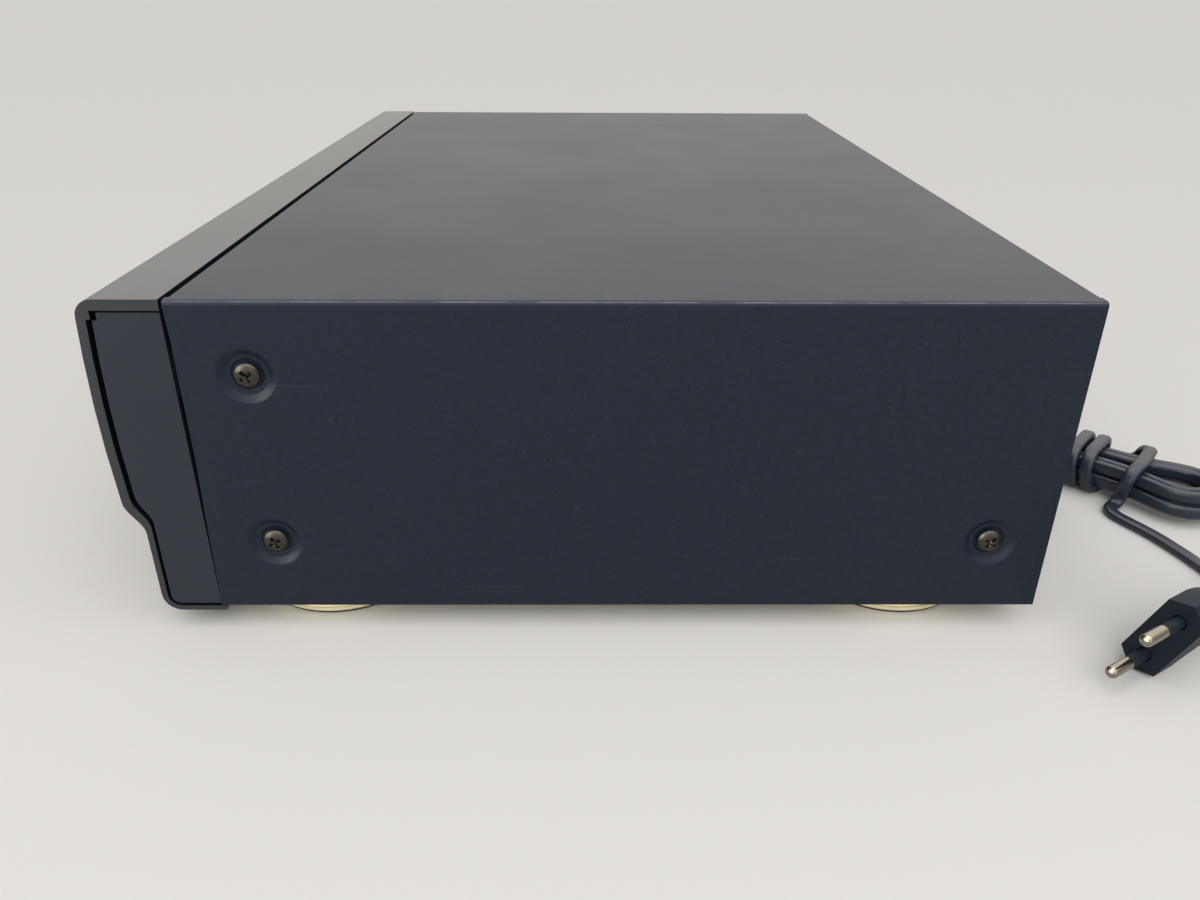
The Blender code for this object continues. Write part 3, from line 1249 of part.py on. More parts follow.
def make_loader():
    """Loader chassis: two walls with tray ledges, a front and a rear deck, pins and ears."""
    half, wall = LOADER_HALF, LOADER_WALL
    floor = pan_levels()[1] + SEAT
    front, rear = loader_front(), at_back(LOADER_BACK)
    loader = block("loader_chassis", (half - wall, front, floor), (half, rear, LOADER_TOP))
    join(loader, block("left_wall", (-half, front, floor), (wall - half, rear, LOADER_TOP)))
    deck_top = DECK_LOW + DECK_THICK
    inner = half - wall + LAP
    join(loader,
         block("front_deck", (-inner, front, DECK_LOW), (inner, at_back(DECK_BACK), deck_top)),
         block("rear_deck", (-inner, at_back(REAR_DECK_START), DECK_LOW), (inner, rear, deck_top)))
    underside = TRAY_TOP - TRAY_THICK
    for side in (1, -1):
        ledge = sorted((side * (half - wall + LAP), side * (half - LEDGE_IN)))
        lip = sorted((side * (half - wall + LAP), side * (half - wall - LIP_IN)))
        join(loader,
             block(f"ledge_{side}", (ledge[0], front, underside - SEAT - LEDGE_THICK),
                   (ledge[1], rear, underside - SEAT)),
             block(f"lip_{side}", (lip[0], at_back(LIP_START), TRAY_TOP + SEAT),
                   (lip[1], at_back(LIP_START + LIP_LENGTH), TRAY_TOP + SEAT + LEDGE_THICK)))
        window = LOADER_WINDOW_MARGIN
        xs = sorted((side * (half - 2 * wall), side * (half + OVERRUN)))
        cut(loader, block(f"wall_window_{side}", (xs[0], front + 2 * window + DECK_BACK, floor + window),
                          (xs[1], at_back(REAR_DECK_START) - window, DECK_LOW - window / 2)))
    (tray_x, y), (wheel_x, _), (motor_x, _) = gear_places()
    low = gear_levels()[0]
    pin_top = gear_levels()[1] - SEAT
    join(loader,
         rod("tray_gear_boss", (tray_x, y, deck_top - LAP), (tray_x, y, low - SEAT), GEAR_BOSS),
         rod("tray_gear_pin", (tray_x, y, deck_top), (tray_x, y, pin_top), GEAR_PIN),
         rod("wheel_boss", (wheel_x, y, deck_top - LAP), (wheel_x, y, pulley_levels()[0] - SEAT),
             GEAR_BOSS),
         rod("wheel_pin", (wheel_x, y, deck_top), (wheel_x, y, pin_top), GEAR_PIN))
    cut(loader, rod("motor_neck_hole", (motor_x, y, DECK_LOW - OVERRUN),
                    (motor_x, y, deck_top + OVERRUN), MOTOR_NECK + PLAY))
    cam_front, cam_back = at_back(CAM_START), at_back(CAM_START + CAM_THICK)
    join(loader,
         block("guide_web", (-GUIDE_HALF, at_back(DECK_BACK - GUIDE_WEB), GUIDE_LOW),
               (GUIDE_HALF + CAM_TRAVEL, at_back(DECK_BACK), deck_top)),
         block("guide", (-GUIDE_HALF, at_back(DECK_BACK - LAP), GUIDE_LOW),
               (GUIDE_HALF + CAM_TRAVEL, cam_back + 2 * SHEET, GUIDE_HIGH)))
    cut(loader, block("guide_groove", (-GUIDE_HALF - OVERRUN, cam_front - SEAT, GUIDE_FLOOR),
                      (GUIDE_HALF + CAM_TRAVEL + OVERRUN, cam_back + SEAT, GUIDE_HIGH + OVERRUN)))
    pivot = (at_back(LIFT_PIVOT_BACK), LIFT_PIVOT_HIGH)
    for side in (1, -1):
        near = LIFT_HALF + EAR_GAP
        ear = sorted((side * near, side * (near + EAR_THICK)))
        join(loader, block(f"ear_{side}", (ear[0], at_back(EAR_FRONT), EAR_LOW),
                           (ear[1], at_back(REAR_DECK_START + 2 * SHEET), EAR_HIGH)))
        cut(loader, rod(f"ear_bore_{side}", (side * (near - LAP), *pivot),
                        (side * (near + EAR_THICK + OVERRUN), *pivot), PIVOT_PIN + PLAY))
    finish(loader, "black_plastic")


def make_cam():
    """Cam slide: an upright plate whose slanted slot lifts the front of the lift frame."""
    y = at_back(CAM_START)
    low = GUIDE_FLOOR + SEAT
    origin = (0, y, LIFT_PIVOT_HIGH)
    cam = block("cam_slide", (-CAM_HALF, y, low), (CAM_HALF, y + CAM_THICK, CAM_HIGH), origin)
    drop = follower_drop()
    slope = Vector((-CAM_TRAVEL, -drop)).normalized()
    across = Vector((-slope.y, slope.x)) * CAM_SLOT_HALF
    start = Vector((0, LIFT_PIVOT_HIGH)) - slope * CAM_SLOT_HALF
    end = Vector((-CAM_TRAVEL, LIFT_PIVOT_HIGH - drop)) + slope * CAM_SLOT_HALF
    slot = [start + across, end + across, end - across, start - across]
    cut(cam, outline_solid("cam_slot", [tuple(p) for p in slot], y - OVERRUN,
                           y + CAM_THICK + OVERRUN, "XZ"))
    finish(cam, "white_plastic")


def follower_drop():
    """How far the cam follower falls when the lift frame is lowered."""
    return (LIFT_PIVOT_BACK - CAM_START - CAM_THICK / 2) * math.sin(LIFT_ANGLE)


def make_lift():
    """Lift frame: a plate with flanges that carries the spindle, the pickup and their motors."""
    half, sheet = LIFT_HALF, LIFT_PLATE
    start, end = at_back(LIFT_START), at_back(LIFT_END)
    pivot = (at_back(LIFT_PIVOT_BACK), LIFT_PIVOT_HIGH)
    origin = (0, *pivot)
    lift = block("lift_frame", (-half, start, LIFT_LOW), (half, end, LIFT_HIGH), origin)
    under = LIFT_HIGH - sheet
    cut(lift,
        block("lift_hollow", (sheet - half, start + sheet, LIFT_LOW - OVERRUN),
              (half - sheet, end - sheet, under)),
        block("sled_window", (-SLED_WINDOW_HALF, at_back(SLED_WINDOW_START), under - OVERRUN),
              (SLED_WINDOW_HALF, at_back(SLED_WINDOW_END), LIFT_HIGH + OVERRUN)),
        rod("spindle_hole", (0, at_back(DISC_BACK), under - OVERRUN),
            (0, at_back(DISC_BACK), LIFT_HIGH + OVERRUN), SPINDLE_HOLE))
    follower = at_back(CAM_START)
    join(lift, rod("follower", (0, follower - SHEET, LIFT_PIVOT_HIGH), (0, start + LAP, LIFT_PIVOT_HIGH),
                   FOLLOWER_RADIUS, sides=16))
    for side in (1, -1):
        join(lift, rod(f"pivot_pin_{side}", (side * (half - LAP), *pivot),
                       (side * (half + PIVOT_PIN_LENGTH), *pivot), PIVOT_PIN, sides=20))
    x = ROD_X
    for name, low, high in (
        ("rod_lug_front", ROD_LUG_START, ROD_LUG_START + ROD_LUG_FRONT),
        ("rod_lug_rear", ROD_LUG_REAR_START, ROD_LUG_REAR_END),
    ):
        join(lift, block(name, (x - ROD_LUG_HALF, at_back(low), LIFT_LOW),
                         (x + ROD_LUG_HALF, at_back(high), under + LAP)))
    cut(lift, rod("rod_seats", (x, at_back(ROD_START - SEAT), ROD_HIGH),
                  (x, at_back(ROD_END + SEAT), ROD_HIGH), ROD_RADIUS + PLAY, sides=20))
    gear_x, gear_y = sled_gear_place()
    shelf = SLED_SHELF_TOP
    join(lift, block("sled_shelf", (LAP - half, gear_y - SLED_SHELF_HALF, shelf - SLED_SHELF_THICK),
                     (-SLED_SHELF_EDGE, gear_y + SLED_SHELF_HALF, shelf)))
    cut(lift, rod("sled_motor_hole", (gear_x, gear_y, shelf - OVERRUN), (gear_x, gear_y, shelf + LAP),
                  SLED_MOTOR_HOLE, sides=20))
    finish(lift, "steel")


def sled_gear_place():
    """Axis of the sled gear."""
    return SLED_RACK_LINE - SLED_MODULE * SLED_TEETH / 2, at_back(SLED_GEAR_BACK)


def make_spindle():
    """Spindle motor, turntable, and the clamp in its bridge above the tray."""
    y = at_back(DISC_BACK)
    top = LIFT_HIGH - LIFT_PLATE - SEAT
    shaft = TABLE_STEM_LOW + TABLE_BORE_DEPTH - SEAT - top
    neck = SPINDLE_HOLE - PLAY
    profile = [(0, shaft), (SPINDLE_SHAFT, shaft), (SPINDLE_SHAFT, LIFT_PLATE), (neck, LIFT_PLATE),
               (neck, 0), (SPINDLE_RADIUS, 0), (SPINDLE_RADIUS, -SPINDLE_LENGTH),
               (0, -SPINDLE_LENGTH)]
    finish(turned("spindle_motor", profile, (0, y, top), sides=20), "steel")

    base = TABLE_STEM_LOW
    bore = SPINDLE_SHAFT + PLAY
    profile = [(0, TABLE_TOP + TABLE_CONE_RISE), (TABLE_CONE_TIP, TABLE_TOP + TABLE_CONE_RISE),
               (TABLE_CONE, TABLE_TOP + SHEET), (TABLE_CONE, TABLE_TOP), (TABLE_RADIUS, TABLE_TOP),
               (TABLE_RADIUS, TABLE_TOP - TABLE_THICK), (TABLE_STEM, TABLE_TOP - TABLE_THICK),
               (TABLE_STEM, base), (bore, base), (bore, base + TABLE_BORE_DEPTH),
               (0, base + TABLE_BORE_DEPTH)]
    finish(turned("turntable", [(r, h - base) for r, h in profile], (0, y, base), sides=20),
           "aluminium")

    half = LOADER_HALF
    depth = BRIDGE_HALF_DEPTH
    seat = LOADER_TOP + SEAT
    bridge = block("clamp_bridge", (-half, y - depth, seat), (half, y + depth, BRIDGE_HIGH))
    cut(bridge,
        block("bridge_span", (BRIDGE_LEG - half, y - depth - OVERRUN, seat - OVERRUN),
              (half - BRIDGE_LEG, y + depth + OVERRUN, BRIDGE_HIGH - BRIDGE_THICK)),
        rod("clamp_hole", (0, y, seat), (0, y, BRIDGE_HIGH + OVERRUN), CLAMP_HOLE, sides=24))
    finish(bridge, "steel")

    rim = BRIDGE_HIGH + SEAT
    puck = CLAMP_LOW + CLAMP_PUCK_THICK
    profile = [(0, rim + CLAMP_FLANGE_THICK), (CLAMP_FLANGE, rim + CLAMP_FLANGE_THICK),
               (CLAMP_FLANGE, rim), (CLAMP_NECK, rim), (CLAMP_NECK, puck), (CLAMP_PUCK, puck),
               (CLAMP_PUCK, CLAMP_LOW), (CLAMP_RECESS, CLAMP_LOW),
               (CLAMP_RECESS, CLAMP_LOW + CLAMP_RECESS_DEPTH), (0, CLAMP_LOW + CLAMP_RECESS_DEPTH)]
    clamp = turned("disc_clamp", [(r, h - CLAMP_LOW) for r, h in profile], (0, y, CLAMP_LOW), sides=20)
    finish(clamp, "black_plastic")


def make_pickup():
    """Pickup sled on its guide rod, with its rack, gear, motor and lens."""
    x = ROD_X
    start = at_back(SLED_START)
    end = start + SLED_LENGTH
    origin = (x, start, ROD_HIGH)
    sled = block("pickup_sled", (-SLED_HALF, start, SLED_LOW), (SLED_HALF, end, SLED_HIGH), origin)
    tongue = LIFT_HIGH + SEAT
    body = SLED_RACK_LINE + TOOTH_ROOT_SHARE * SLED_MODULE
    rack = rack_outline(SLED_MODULE, SLED_RACK_LINE, body + 2 * SHEET, start, start + SLED_RACK_LENGTH,
                        sled_gear_place()[1] + math.pi * SLED_MODULE / 2)
    join(sled,
         block("sled_tongue", (-SLED_HALF - SLED_TONGUE, start, tongue),
               (LAP - SLED_HALF, end, tongue + SLED_TONGUE_THICK)),
         outline_solid("sled_rack", rack, SLED_RACK_LOW, SLED_RACK_LOW + SLED_RACK_THICK, "XY"))
    lens_y = at_back(LENS_BACK)
    cut(sled,
        rod("sled_bore", (x, start - OVERRUN, ROD_HIGH), (x, end + OVERRUN, ROD_HIGH),
            ROD_RADIUS + PLAY, sides=20),
        rod("lens_well", (0, lens_y, SLED_HIGH - LENS_WELL_DEPTH), (0, lens_y, SLED_HIGH + OVERRUN),
            LENS_WELL))
    finish(sled, "black_plastic")

    finish(rod("guide_rod", (x, at_back(ROD_START), ROD_HIGH), (x, at_back(ROD_END), ROD_HIGH),
               ROD_RADIUS, sides=20), "nickel")

    profile = [(LENS_RADIUS * out, LENS_HEIGHT * (1 - drop)) for out, drop in LENS_DOME_SHARES]
    lens = turned("objective_lens", profile + [(LENS_RADIUS, 0), (0, 0)], (0, lens_y, LENS_LOW),
                  sides=16)
    finish(lens, "lens_glass")

    gear_x, gear_y = sled_gear_place()
    low, high = SLED_RACK_LOW, SLED_RACK_LOW + SLED_RACK_THICK
    gear = outline_solid("sled_gear", gear_outline(SLED_TEETH, SLED_MODULE, (gear_x, gear_y)),
                         low, high, "XY", (gear_x, gear_y, low))
    cut(gear, rod("sled_gear_bore", (gear_x, gear_y, low - OVERRUN), (gear_x, gear_y, high + OVERRUN),
                  SLED_MOTOR_SHAFT + PLAY))
    finish(gear, "white_plastic")

    seat = SLED_SHELF_TOP - SLED_SHELF_THICK - SEAT
    neck = SLED_MOTOR_HOLE - PLAY
    profile = [(0, high - seat), (SLED_MOTOR_SHAFT, high - seat), (SLED_MOTOR_SHAFT, SLED_SHELF_THICK),
               (neck, SLED_SHELF_THICK), (neck, 0), (SLED_MOTOR_RADIUS, 0),
               (SLED_MOTOR_RADIUS, -SLED_MOTOR_LENGTH), (0, -SLED_MOTOR_LENGTH)]
    finish(turned("sled_motor", profile, (gear_x, gear_y, seat), sides=20), "steel")


# Electronics

def make_main_board():
    """Main circuit board on its posts."""
    board = block("main_board", (BOARD_X_MIN, at_back(BOARD_START), BOARD_LOW),
                  (BOARD_X_MAX, at_back(BOARD_END), BOARD_LOW + BOARD_THICK))
    finish(board, "board_green")


def make_board_parts():
    """Reservoir capacitor, heat sink and the audio sockets at the rear."""
    floor = BOARD_LOW + BOARD_THICK + SEAT
    groove = CAN_GROOVE
    profile = [(0, CAN_HEIGHT), (CAN_RADIUS - groove, CAN_HEIGHT), (CAN_RADIUS, CAN_HEIGHT - groove),
               (CAN_RADIUS, 5 * groove), (CAN_RADIUS - groove, 4 * groove), (CAN_RADIUS, 3 * groove),
               (CAN_RADIUS, 0), (0, 0)]
    finish(turned("reservoir_capacitor", profile, (CAN_X, at_back(CAN_BACK), floor), sides=24),
           "black_plastic")

    y = at_back(SINK_BACK)
    sink = block("heat_sink", (SINK_X_MIN, y, floor), (SINK_X_MAX, y + SINK_DEPTH, floor + SINK_HEIGHT))
    step = (SINK_X_MAX - SINK_X_MIN) / (SINK_FINS - SINK_FIN_SHARE)
    gaps = []
    for i in range(SINK_FINS - 1):
        x = SINK_X_MIN + step * (i + 1 - SINK_FIN_SHARE)
        gaps.append(((x, y + SINK_BASE, floor - OVERRUN),
                     (x + step * SINK_FIN_SHARE, y + SINK_DEPTH + OVERRUN, floor + SINK_HEIGHT + OVERRUN)))
    cut(sink, blocks("fin_gaps", gaps))
    finish(sink, "aluminium")

    inner = rear_faces()[0] - SEAT
    sockets = block("audio_sockets", (SOCKET_X - SOCKET_BLOCK_HALF, inner - SOCKET_BLOCK_DEPTH, floor),
                    (SOCKET_X + SOCKET_BLOCK_HALF, inner, floor + SOCKET_BLOCK_HEIGHT))
    tip = COVER_REAR + SOCKET_REACH
    z = socket_height()
    for n, x in enumerate(socket_places()):
        barrel = turned(
            f"barrel_{n}",
            [(0, tip - inner), (SOCKET_RADIUS, tip - inner), (SOCKET_RADIUS, -LAP), (0, -LAP)],
            (x, inner, z), (0, 1, 0), 12)
        join(sockets, barrel)
        cut(sockets, rod(f"barrel_bore_{n}", (x, tip - SOCKET_BORE_DEPTH, z), (x, tip + OVERRUN, z),
                         SOCKET_BORE, sides=8))
    finish(sockets, "black_plastic")


def make_transformer():
    """Mains transformer: laminated core with two windows and a coil round its middle limb."""
    floor = pan_levels()[1] + SEAT
    half, limb = CORE_WIDTH / 2, CORE_LIMB
    start, end = at_back(CORE_BACK), at_back(CORE_BACK + CORE_STACK)
    core = block("transformer_core", (CORE_X - half, start, floor),
                 (CORE_X + half, end, floor + CORE_HEIGHT))
    low, high = floor + limb, floor + CORE_HEIGHT - limb
    windows = []
    for a, b in ((-half + limb, -limb), (limb, half - limb)):
        windows.append(((CORE_X + a, start - OVERRUN, low), (CORE_X + b, end + OVERRUN, high)))
    cut(core, blocks("core_windows", windows))
    finish(core, "core_steel")

    coil = block("transformer_coil",
                 (CORE_X - half + limb + SEAT, start - COIL_OUT, low + SEAT),
                 (CORE_X + half - limb - SEAT, end + COIL_OUT, high - SEAT))
    cut(coil, block("coil_inside", (CORE_X - limb - SEAT, start - SEAT, low - OVERRUN),
                    (CORE_X + limb + SEAT, end + SEAT, high + OVERRUN)))
    finish(coil, "copper")


# Cord

def oval():
    """Corners of the flat cord's section, as parts of its width and thickness directions."""
    corners = []
    for i in range(CORD_SIDES):
        angle = 2 * math.pi * (i + 0.5) / CORD_SIDES
        reach = 2 * math.cos(math.pi / CORD_SIDES)
        corners.append((CORD_WIDTH * math.cos(angle) / reach, CORD_THICK * math.sin(angle) / reach))
    return corners


def sweep(name, stations):
    """A closed skin over a row of sections, each a list of points in space."""
    def build(work):
        rings = [[work.verts.new(point) for point in station] for station in stations]
        count = len(rings[0])
        for one, two in zip(rings, rings[1:]):
            for i in range(count):
                k = (i + 1) % count
                work.faces.new((one[i], one[k], two[k], two[i]))
        work.faces.new(rings[0][::-1])
        work.faces.new(rings[-1])
        face_outwards(work)
    return place_mesh(name, mesh_from(build))


def smooth_route(points, step):
    """Points at even steps on a smooth curve through the route's own points."""
    nodes = np.array(points, float)
    padded = np.vstack((2 * nodes[0] - nodes[1], nodes, 2 * nodes[-1] - nodes[-2]))
    fine = []
    for i in range(1, len(padded) - 2):
        a, b, c, d = padded[i - 1:i + 3]
        for t in np.linspace(0, 1, 20, endpoint=False):
            fine.append(0.5 * (2 * b + (c - a) * t + (2 * a - 5 * b + 4 * c - d) * t ** 2
                               + (3 * b - a - 3 * c + d) * t ** 3))
    fine.append(nodes[-1])
    fine = np.array(fine)
    along = travelled(fine)
    count = max(2, round(along[-1] / step))
    places = np.linspace(0, along[-1], count + 1)
    return np.stack([np.interp(places, along, fine[:, k]) for k in range(3)], axis=1)


def travelled(points):
    """Distance along a row of points at each of them."""
    return np.concatenate(([0], np.cumsum(np.linalg.norm(np.diff(points, axis=0), axis=1))))


def tangents(points):
    """Unit tangents of a row of points."""
    steps = np.diff(points, axis=0)
    steps = steps / np.linalg.norm(steps, axis=1)[:, None]
    slopes = np.vstack((steps[:1], steps[:-1] + steps[1:], steps[-1:]))
    return slopes / np.linalg.norm(slopes, axis=1)[:, None]


def cord_stations(points, wides, first=None, last=None):
    """Sections of the flat cord along points, with the direction of its width at each.

    first and last, where given, are the ways in which its end faces look.
    """
    stations = []
    ways = tangents(points)
    if first is not None:
        ways[0], ways[-1] = first, last
    for point, along, wide in zip(points, ways, wides):
        wide = wide - along * (wide @ along)
        wide = wide / np.linalg.norm(wide)
        thin = np.cross(along, wide)
        stations.append([point + wide * a + thin * b for a, b in oval()])
    return stations


UP = np.array((0.0, 0.0, 1.0))
RUN = np.array((math.cos(HANK_TURN), math.sin(HANK_TURN), 0.0))
FAR = np.array((-math.sin(HANK_TURN), math.cos(HANK_TURN), 0.0))


def behind_rear(place):
    """World place of X, distance behind the cover's rear edge, and height."""
    return np.array((place[0], COVER_REAR + place[1], place[2]))


def ease(share):
    """Smooth step from 0 to 1."""
    share = min(1, max(0, share))
    return share * share * (3 - 2 * share)


def hank_place(along, across, up):
    """World place of a point in the hank's own axes."""
    return behind_rear((*HANK_PLACE, up)) + RUN * along + FAR * across


def spread(along):
    """How far lane 0 stands off the hank's middle line: drawn in at the waist."""
    return HANK_WAIST + (HANK_FOLD - HANK_WAIST) * ease((along / HANK_HALF_RUN) ** 2)


def hank_point(turn):
    """Place of the cord in the hank after that many loops: in by lanes, up, and out again."""
    half = HANK_LOOPS / 2
    swing = SWING_LANES * ease((turn - SWING_START) / (HANK_LOOPS - RUN_SHARE - SWING_START))
    lane = (abs(half - turn) + swing) * HANK_LANE
    up = HANK_UNDER + CORD_WIDTH / 2 + HANK_LAYER * ease((turn - half) / CLIMB_SHARE + 0.5)
    fraction = (turn + RUN_SHARE) % 1
    side = 1 if fraction < 0.5 else -1
    part = fraction % 0.5
    if part < 2 * RUN_SHARE:
        along = HANK_HALF_RUN * (part / RUN_SHARE - 1)
        return hank_place(side * along, side * (lane + spread(along)), up)
    angle = math.pi * (part - 2 * RUN_SHARE) / (0.5 - 2 * RUN_SHARE)
    radius = lane + HANK_FOLD
    along = HANK_HALF_RUN + radius * math.sin(angle)
    return hank_place(side * along, side * radius * math.cos(angle), up)


def tie_route():
    """Places of the cord round the bundle, quarter turn by quarter turn, rounded at corners."""
    lowest = CORD_THICK / 2 + FLOOR_GAP
    highest = HANK_UNDER + HANK_LAYER + CORD_WIDTH + TIE_GAP + CORD_THICK / 2
    clear = CORD_THICK + TIE_GAP
    bend = TIE_BEND
    points = []
    for quarter, (start, end) in enumerate(zip(TIE_ALONG, TIE_ALONG[1:])):
        far_side = quarter % 4 in (0, 3)
        above = quarter % 4 in (0, 1)
        middle = (start + end) / 2
        lanes = HANK_LOOPS / 2 if far_side else (HANK_LOOPS - 1) / 2
        out = lanes * HANK_LANE + spread(max(start, end)) + clear - bend
        centre = (out if far_side else -out, highest - bend if above else lowest + bend)
        for step in range(TIE_BEND_STEPS + 1):
            share = step / TIE_BEND_STEPS
            angle = math.radians(90) * (quarter % 4 + share)
            along = middle + (end - start) * (share - 0.5) * TIE_SLANT_SHARE
            points.append(hank_place(along, centre[0] + bend * math.cos(angle),
                                     centre[1] + bend * math.sin(angle)))
    bend = TIE_EXIT_BEND
    out = -((HANK_LOOPS - 1) / 2 * HANK_LANE + spread(TIE_ALONG[-1]) + clear)
    for step in range(TIE_BEND_STEPS + 1):
        share = step / TIE_BEND_STEPS
        angle = math.radians(90) * share
        along = TIE_ALONG[-1] + (TIE_EXIT_ALONG - TIE_ALONG[-1]) * share
        points.append(hank_place(along, out - bend * (1 - math.cos(angle)),
                                 lowest + bend * (1 - math.sin(angle))))
    points.append(points[-1] - FAR * TIE_EXIT_RUN)
    return points


def hank_route():
    """Points and width directions of the hank: its loops, its way out, and its ties."""
    count = HANK_LOOPS * HANK_LOOP_POINTS
    points = [hank_point(i / HANK_LOOP_POINTS - RUN_SHARE) for i in range(count + 1)]
    wides = [UP] * len(points)
    for i, (along, lane, up) in enumerate(WAY_OUT):
        points.append(hank_place(along, lane * HANK_LANE + spread(along), up))
        share = ease((i - 2) / (len(WAY_OUT) - 3))
        wides.append(UP * (1 - share) - RUN * share)
    ties = tie_route()
    return np.array(points + ties), np.array(wides + [-RUN] * len(ties))


def least_gap(points, stations):
    """Least distance between parts of the cord that aren't neighbours along it."""
    away = travelled(points)
    fine = []
    for n in range(len(stations) - 1):
        for t in np.linspace(0, 1, 6, endpoint=False):
            ring = [a * (1 - t) + b * t for a, b in zip(stations[n], stations[n + 1])]
            for a, b in zip(ring, ring[1:] + ring[:1]):
                fine.append((away[n] * (1 - t) + away[n + 1] * t, a))
                fine.append((away[n] * (1 - t) + away[n + 1] * t, (a + b) / 2))
    tree = kdtree.KDTree(len(fine))
    for i, (_, point) in enumerate(fine):
        tree.insert(point, i)
    tree.balance()
    least = CORD_WIDTH
    for place, point in fine:
        for _, index, distance in tree.find_range(point, least):
            if abs(fine[index][0] - place) > 2 * CORD_WIDTH and distance < least:
                least = distance
    return least


def flat_wides(points):
    """Width directions of a cord that lies flat."""
    wides = np.cross(tangents(points), UP)
    return wides / np.linalg.norm(wides, axis=1)[:, None]


def turn_wides(wides, towards, start_share, end_share):
    """Turn the width directions towards another one between two shares of the length."""
    count = len(wides) - 1
    for i in range(len(wides)):
        share = ease((i / count - start_share) / (end_share - start_share))
        wides[i] = wides[i] * (1 - share) + towards * share
    return wides


def make_strain_relief():
    """Ribbed strain relief, clipped in the rear panel."""
    inner, outer = rear_faces()
    grooves = []
    for i in range(GLAND_RINGS):
        share = (i + 1) / (GLAND_RINGS + 1)
        radius = GLAND_BOOT_START + (GLAND_BOOT_END - GLAND_BOOT_START) * share
        height = GLAND_FLANGE_THICK + (GLAND_BOOT - GLAND_FLANGE_THICK) * share
        grooves += [(radius, height - GLAND_RING_HALF),
                    (radius - GLAND_RING_GROOVE, height), (radius, height + GLAND_RING_HALF)]
    inside = outer - inner + 2 * SEAT
    profile = [(0, GLAND_BOOT), (GLAND_BOOT_END, GLAND_BOOT)] + grooves[::-1] + [
        (GLAND_BOOT_START, GLAND_FLANGE_THICK), (GLAND_FLANGE, GLAND_FLANGE_THICK), (GLAND_FLANGE, 0),
        (GLAND_NECK, 0), (GLAND_NECK, -inside), (GLAND_FLANGE, -inside),
        (GLAND_FLANGE, -inside - GLAND_FLANGE_THICK), (0, -inside - GLAND_FLANGE_THICK)]
    relief = turned("strain_relief", profile, (GLAND_X, outer + SEAT, GLAND_HIGH), (0, 1, 0), 12)
    finish(relief, "rubber")
    return (GLAND_X, outer + GLAND_BOOT + 2 * SEAT, GLAND_HIGH)


def make_cord():
    """The cord from its strain relief through the hank to the plug."""
    points, wides = hank_route()
    stations = cord_stations(points, wides)
    print(f"hank: least gap of the cord to itself {least_gap(points, stations) * 1000:.2f} mm")
    finish(sweep("cord_hank", stations), "cord_black")

    ends = tangents(points)
    lead = [make_strain_relief()] + [behind_rear(p) for p in LEAD_ROUTE] + [points[0] - ends[0] * SEAT]
    lead = smooth_route(lead, CORD_STEP)
    lead_wides = turn_wides(flat_wides(lead), UP, *LEAD_TURN_SHARES)
    skin = cord_stations(lead, lead_wides, np.array((0.0, 1.0, 0.0)), ends[0])
    finish(sweep("cord_lead", skin), "cord_black")

    face = Vector(behind_rear(PLUG_FACE))
    ahead = Vector((math.cos(PLUG_HEADING), math.sin(PLUG_HEADING), 0))
    side = Vector((-ahead.y, ahead.x, 0))
    wide = side * math.cos(PLUG_ROLL) + Vector(UP) * math.sin(PLUG_ROLL)
    plug_end = np.array(face - ahead * (PLUG_LENGTH + PLUG_BOOT + SEAT))
    tail = [points[-1] + ends[-1] * SEAT] + [behind_rear(p) for p in TAIL_ROUTE] + [plug_end]
    tail = smooth_route(tail, CORD_STEP)
    tail_wides = turn_wides(flat_wides(tail), -np.array(wide), *TAIL_TURN_SHARES)
    skin = cord_stations(tail, tail_wides, ends[-1], np.array(ahead))
    finish(sweep("cord_tail", skin), "cord_black")
    make_plug(face, ahead, wide)
    total = sum(travelled(part)[-1] for part in (lead, points, tail))
    print(f"cord: {total:.3f} m from the strain relief to the plug")


def plug_section(middle, wide, thin, width, thick, flat):
    """Six-sided plug section."""
    corners = ((-flat, thick), (flat, thick), (width, 0), (flat, -thick), (-flat, -thick), (-width, 0))
    return [middle + wide * (a / 2) + thin * (b / 2) for a, b in corners]


def make_plug(face, ahead, wide):
    """Flat two-pin plug: a six-sided body that narrows to a boot, and two round pins."""
    thin = ahead.cross(wide)
    stations = []
    for share, width, thick in PLUG_SHARES:
        middle = face - ahead * PLUG_LENGTH * share
        stations.append(plug_section(middle, wide, thin, PLUG_WIDTH * width, PLUG_THICK * thick,
                                     PLUG_FLAT * width))
    for share, width, thick in PLUG_BOOT_SHARES:
        middle = face - ahead * (PLUG_LENGTH + PLUG_BOOT * share)
        stations.append(plug_section(middle, wide, thin, PLUG_WIDTH * width, PLUG_THICK * thick,
                                     PLUG_FLAT * width))
    body = sweep("plug_body", stations)
    for n, sign in enumerate((-1, 1)):
        root = face + wide * (sign * PIN_SPACING / 2)
        cut(body, rod(f"pin_socket_{n}", root - ahead * (PIN_ROOT + SEAT), root + ahead * OVERRUN,
                      PIN_RADIUS + PLAY, sides=20))
        length = PIN_LENGTH + PIN_ROOT
        profile = [(0, length), (PIN_RADIUS - PIN_TIP, length), (PIN_RADIUS, length - PIN_TIP),
                   (PIN_RADIUS, 0), (0, 0)]
        pin = turned(f"plug_pin_{n + 1}", profile, tuple(root - ahead * PIN_ROOT), tuple(ahead), 20)
        finish(pin, "nickel")
    finish(body, "cord_black")


def main():
    """Build the whole player."""
    make_cover()
    make_screws()
    make_chassis()
    make_rear_panel()
    make_feet()
    make_front_panel()
    make_front_frame()
    make_window()
    make_display()
    make_front_board()
    make_buttons()
    make_headphones()
    make_tray()
    make_loader_gears()
    make_loader()
    make_cam()
    make_lift()
    make_spindle()
    make_pickup()
    make_main_board()
    make_board_parts()
    make_transformer()
    make_cord()


main()
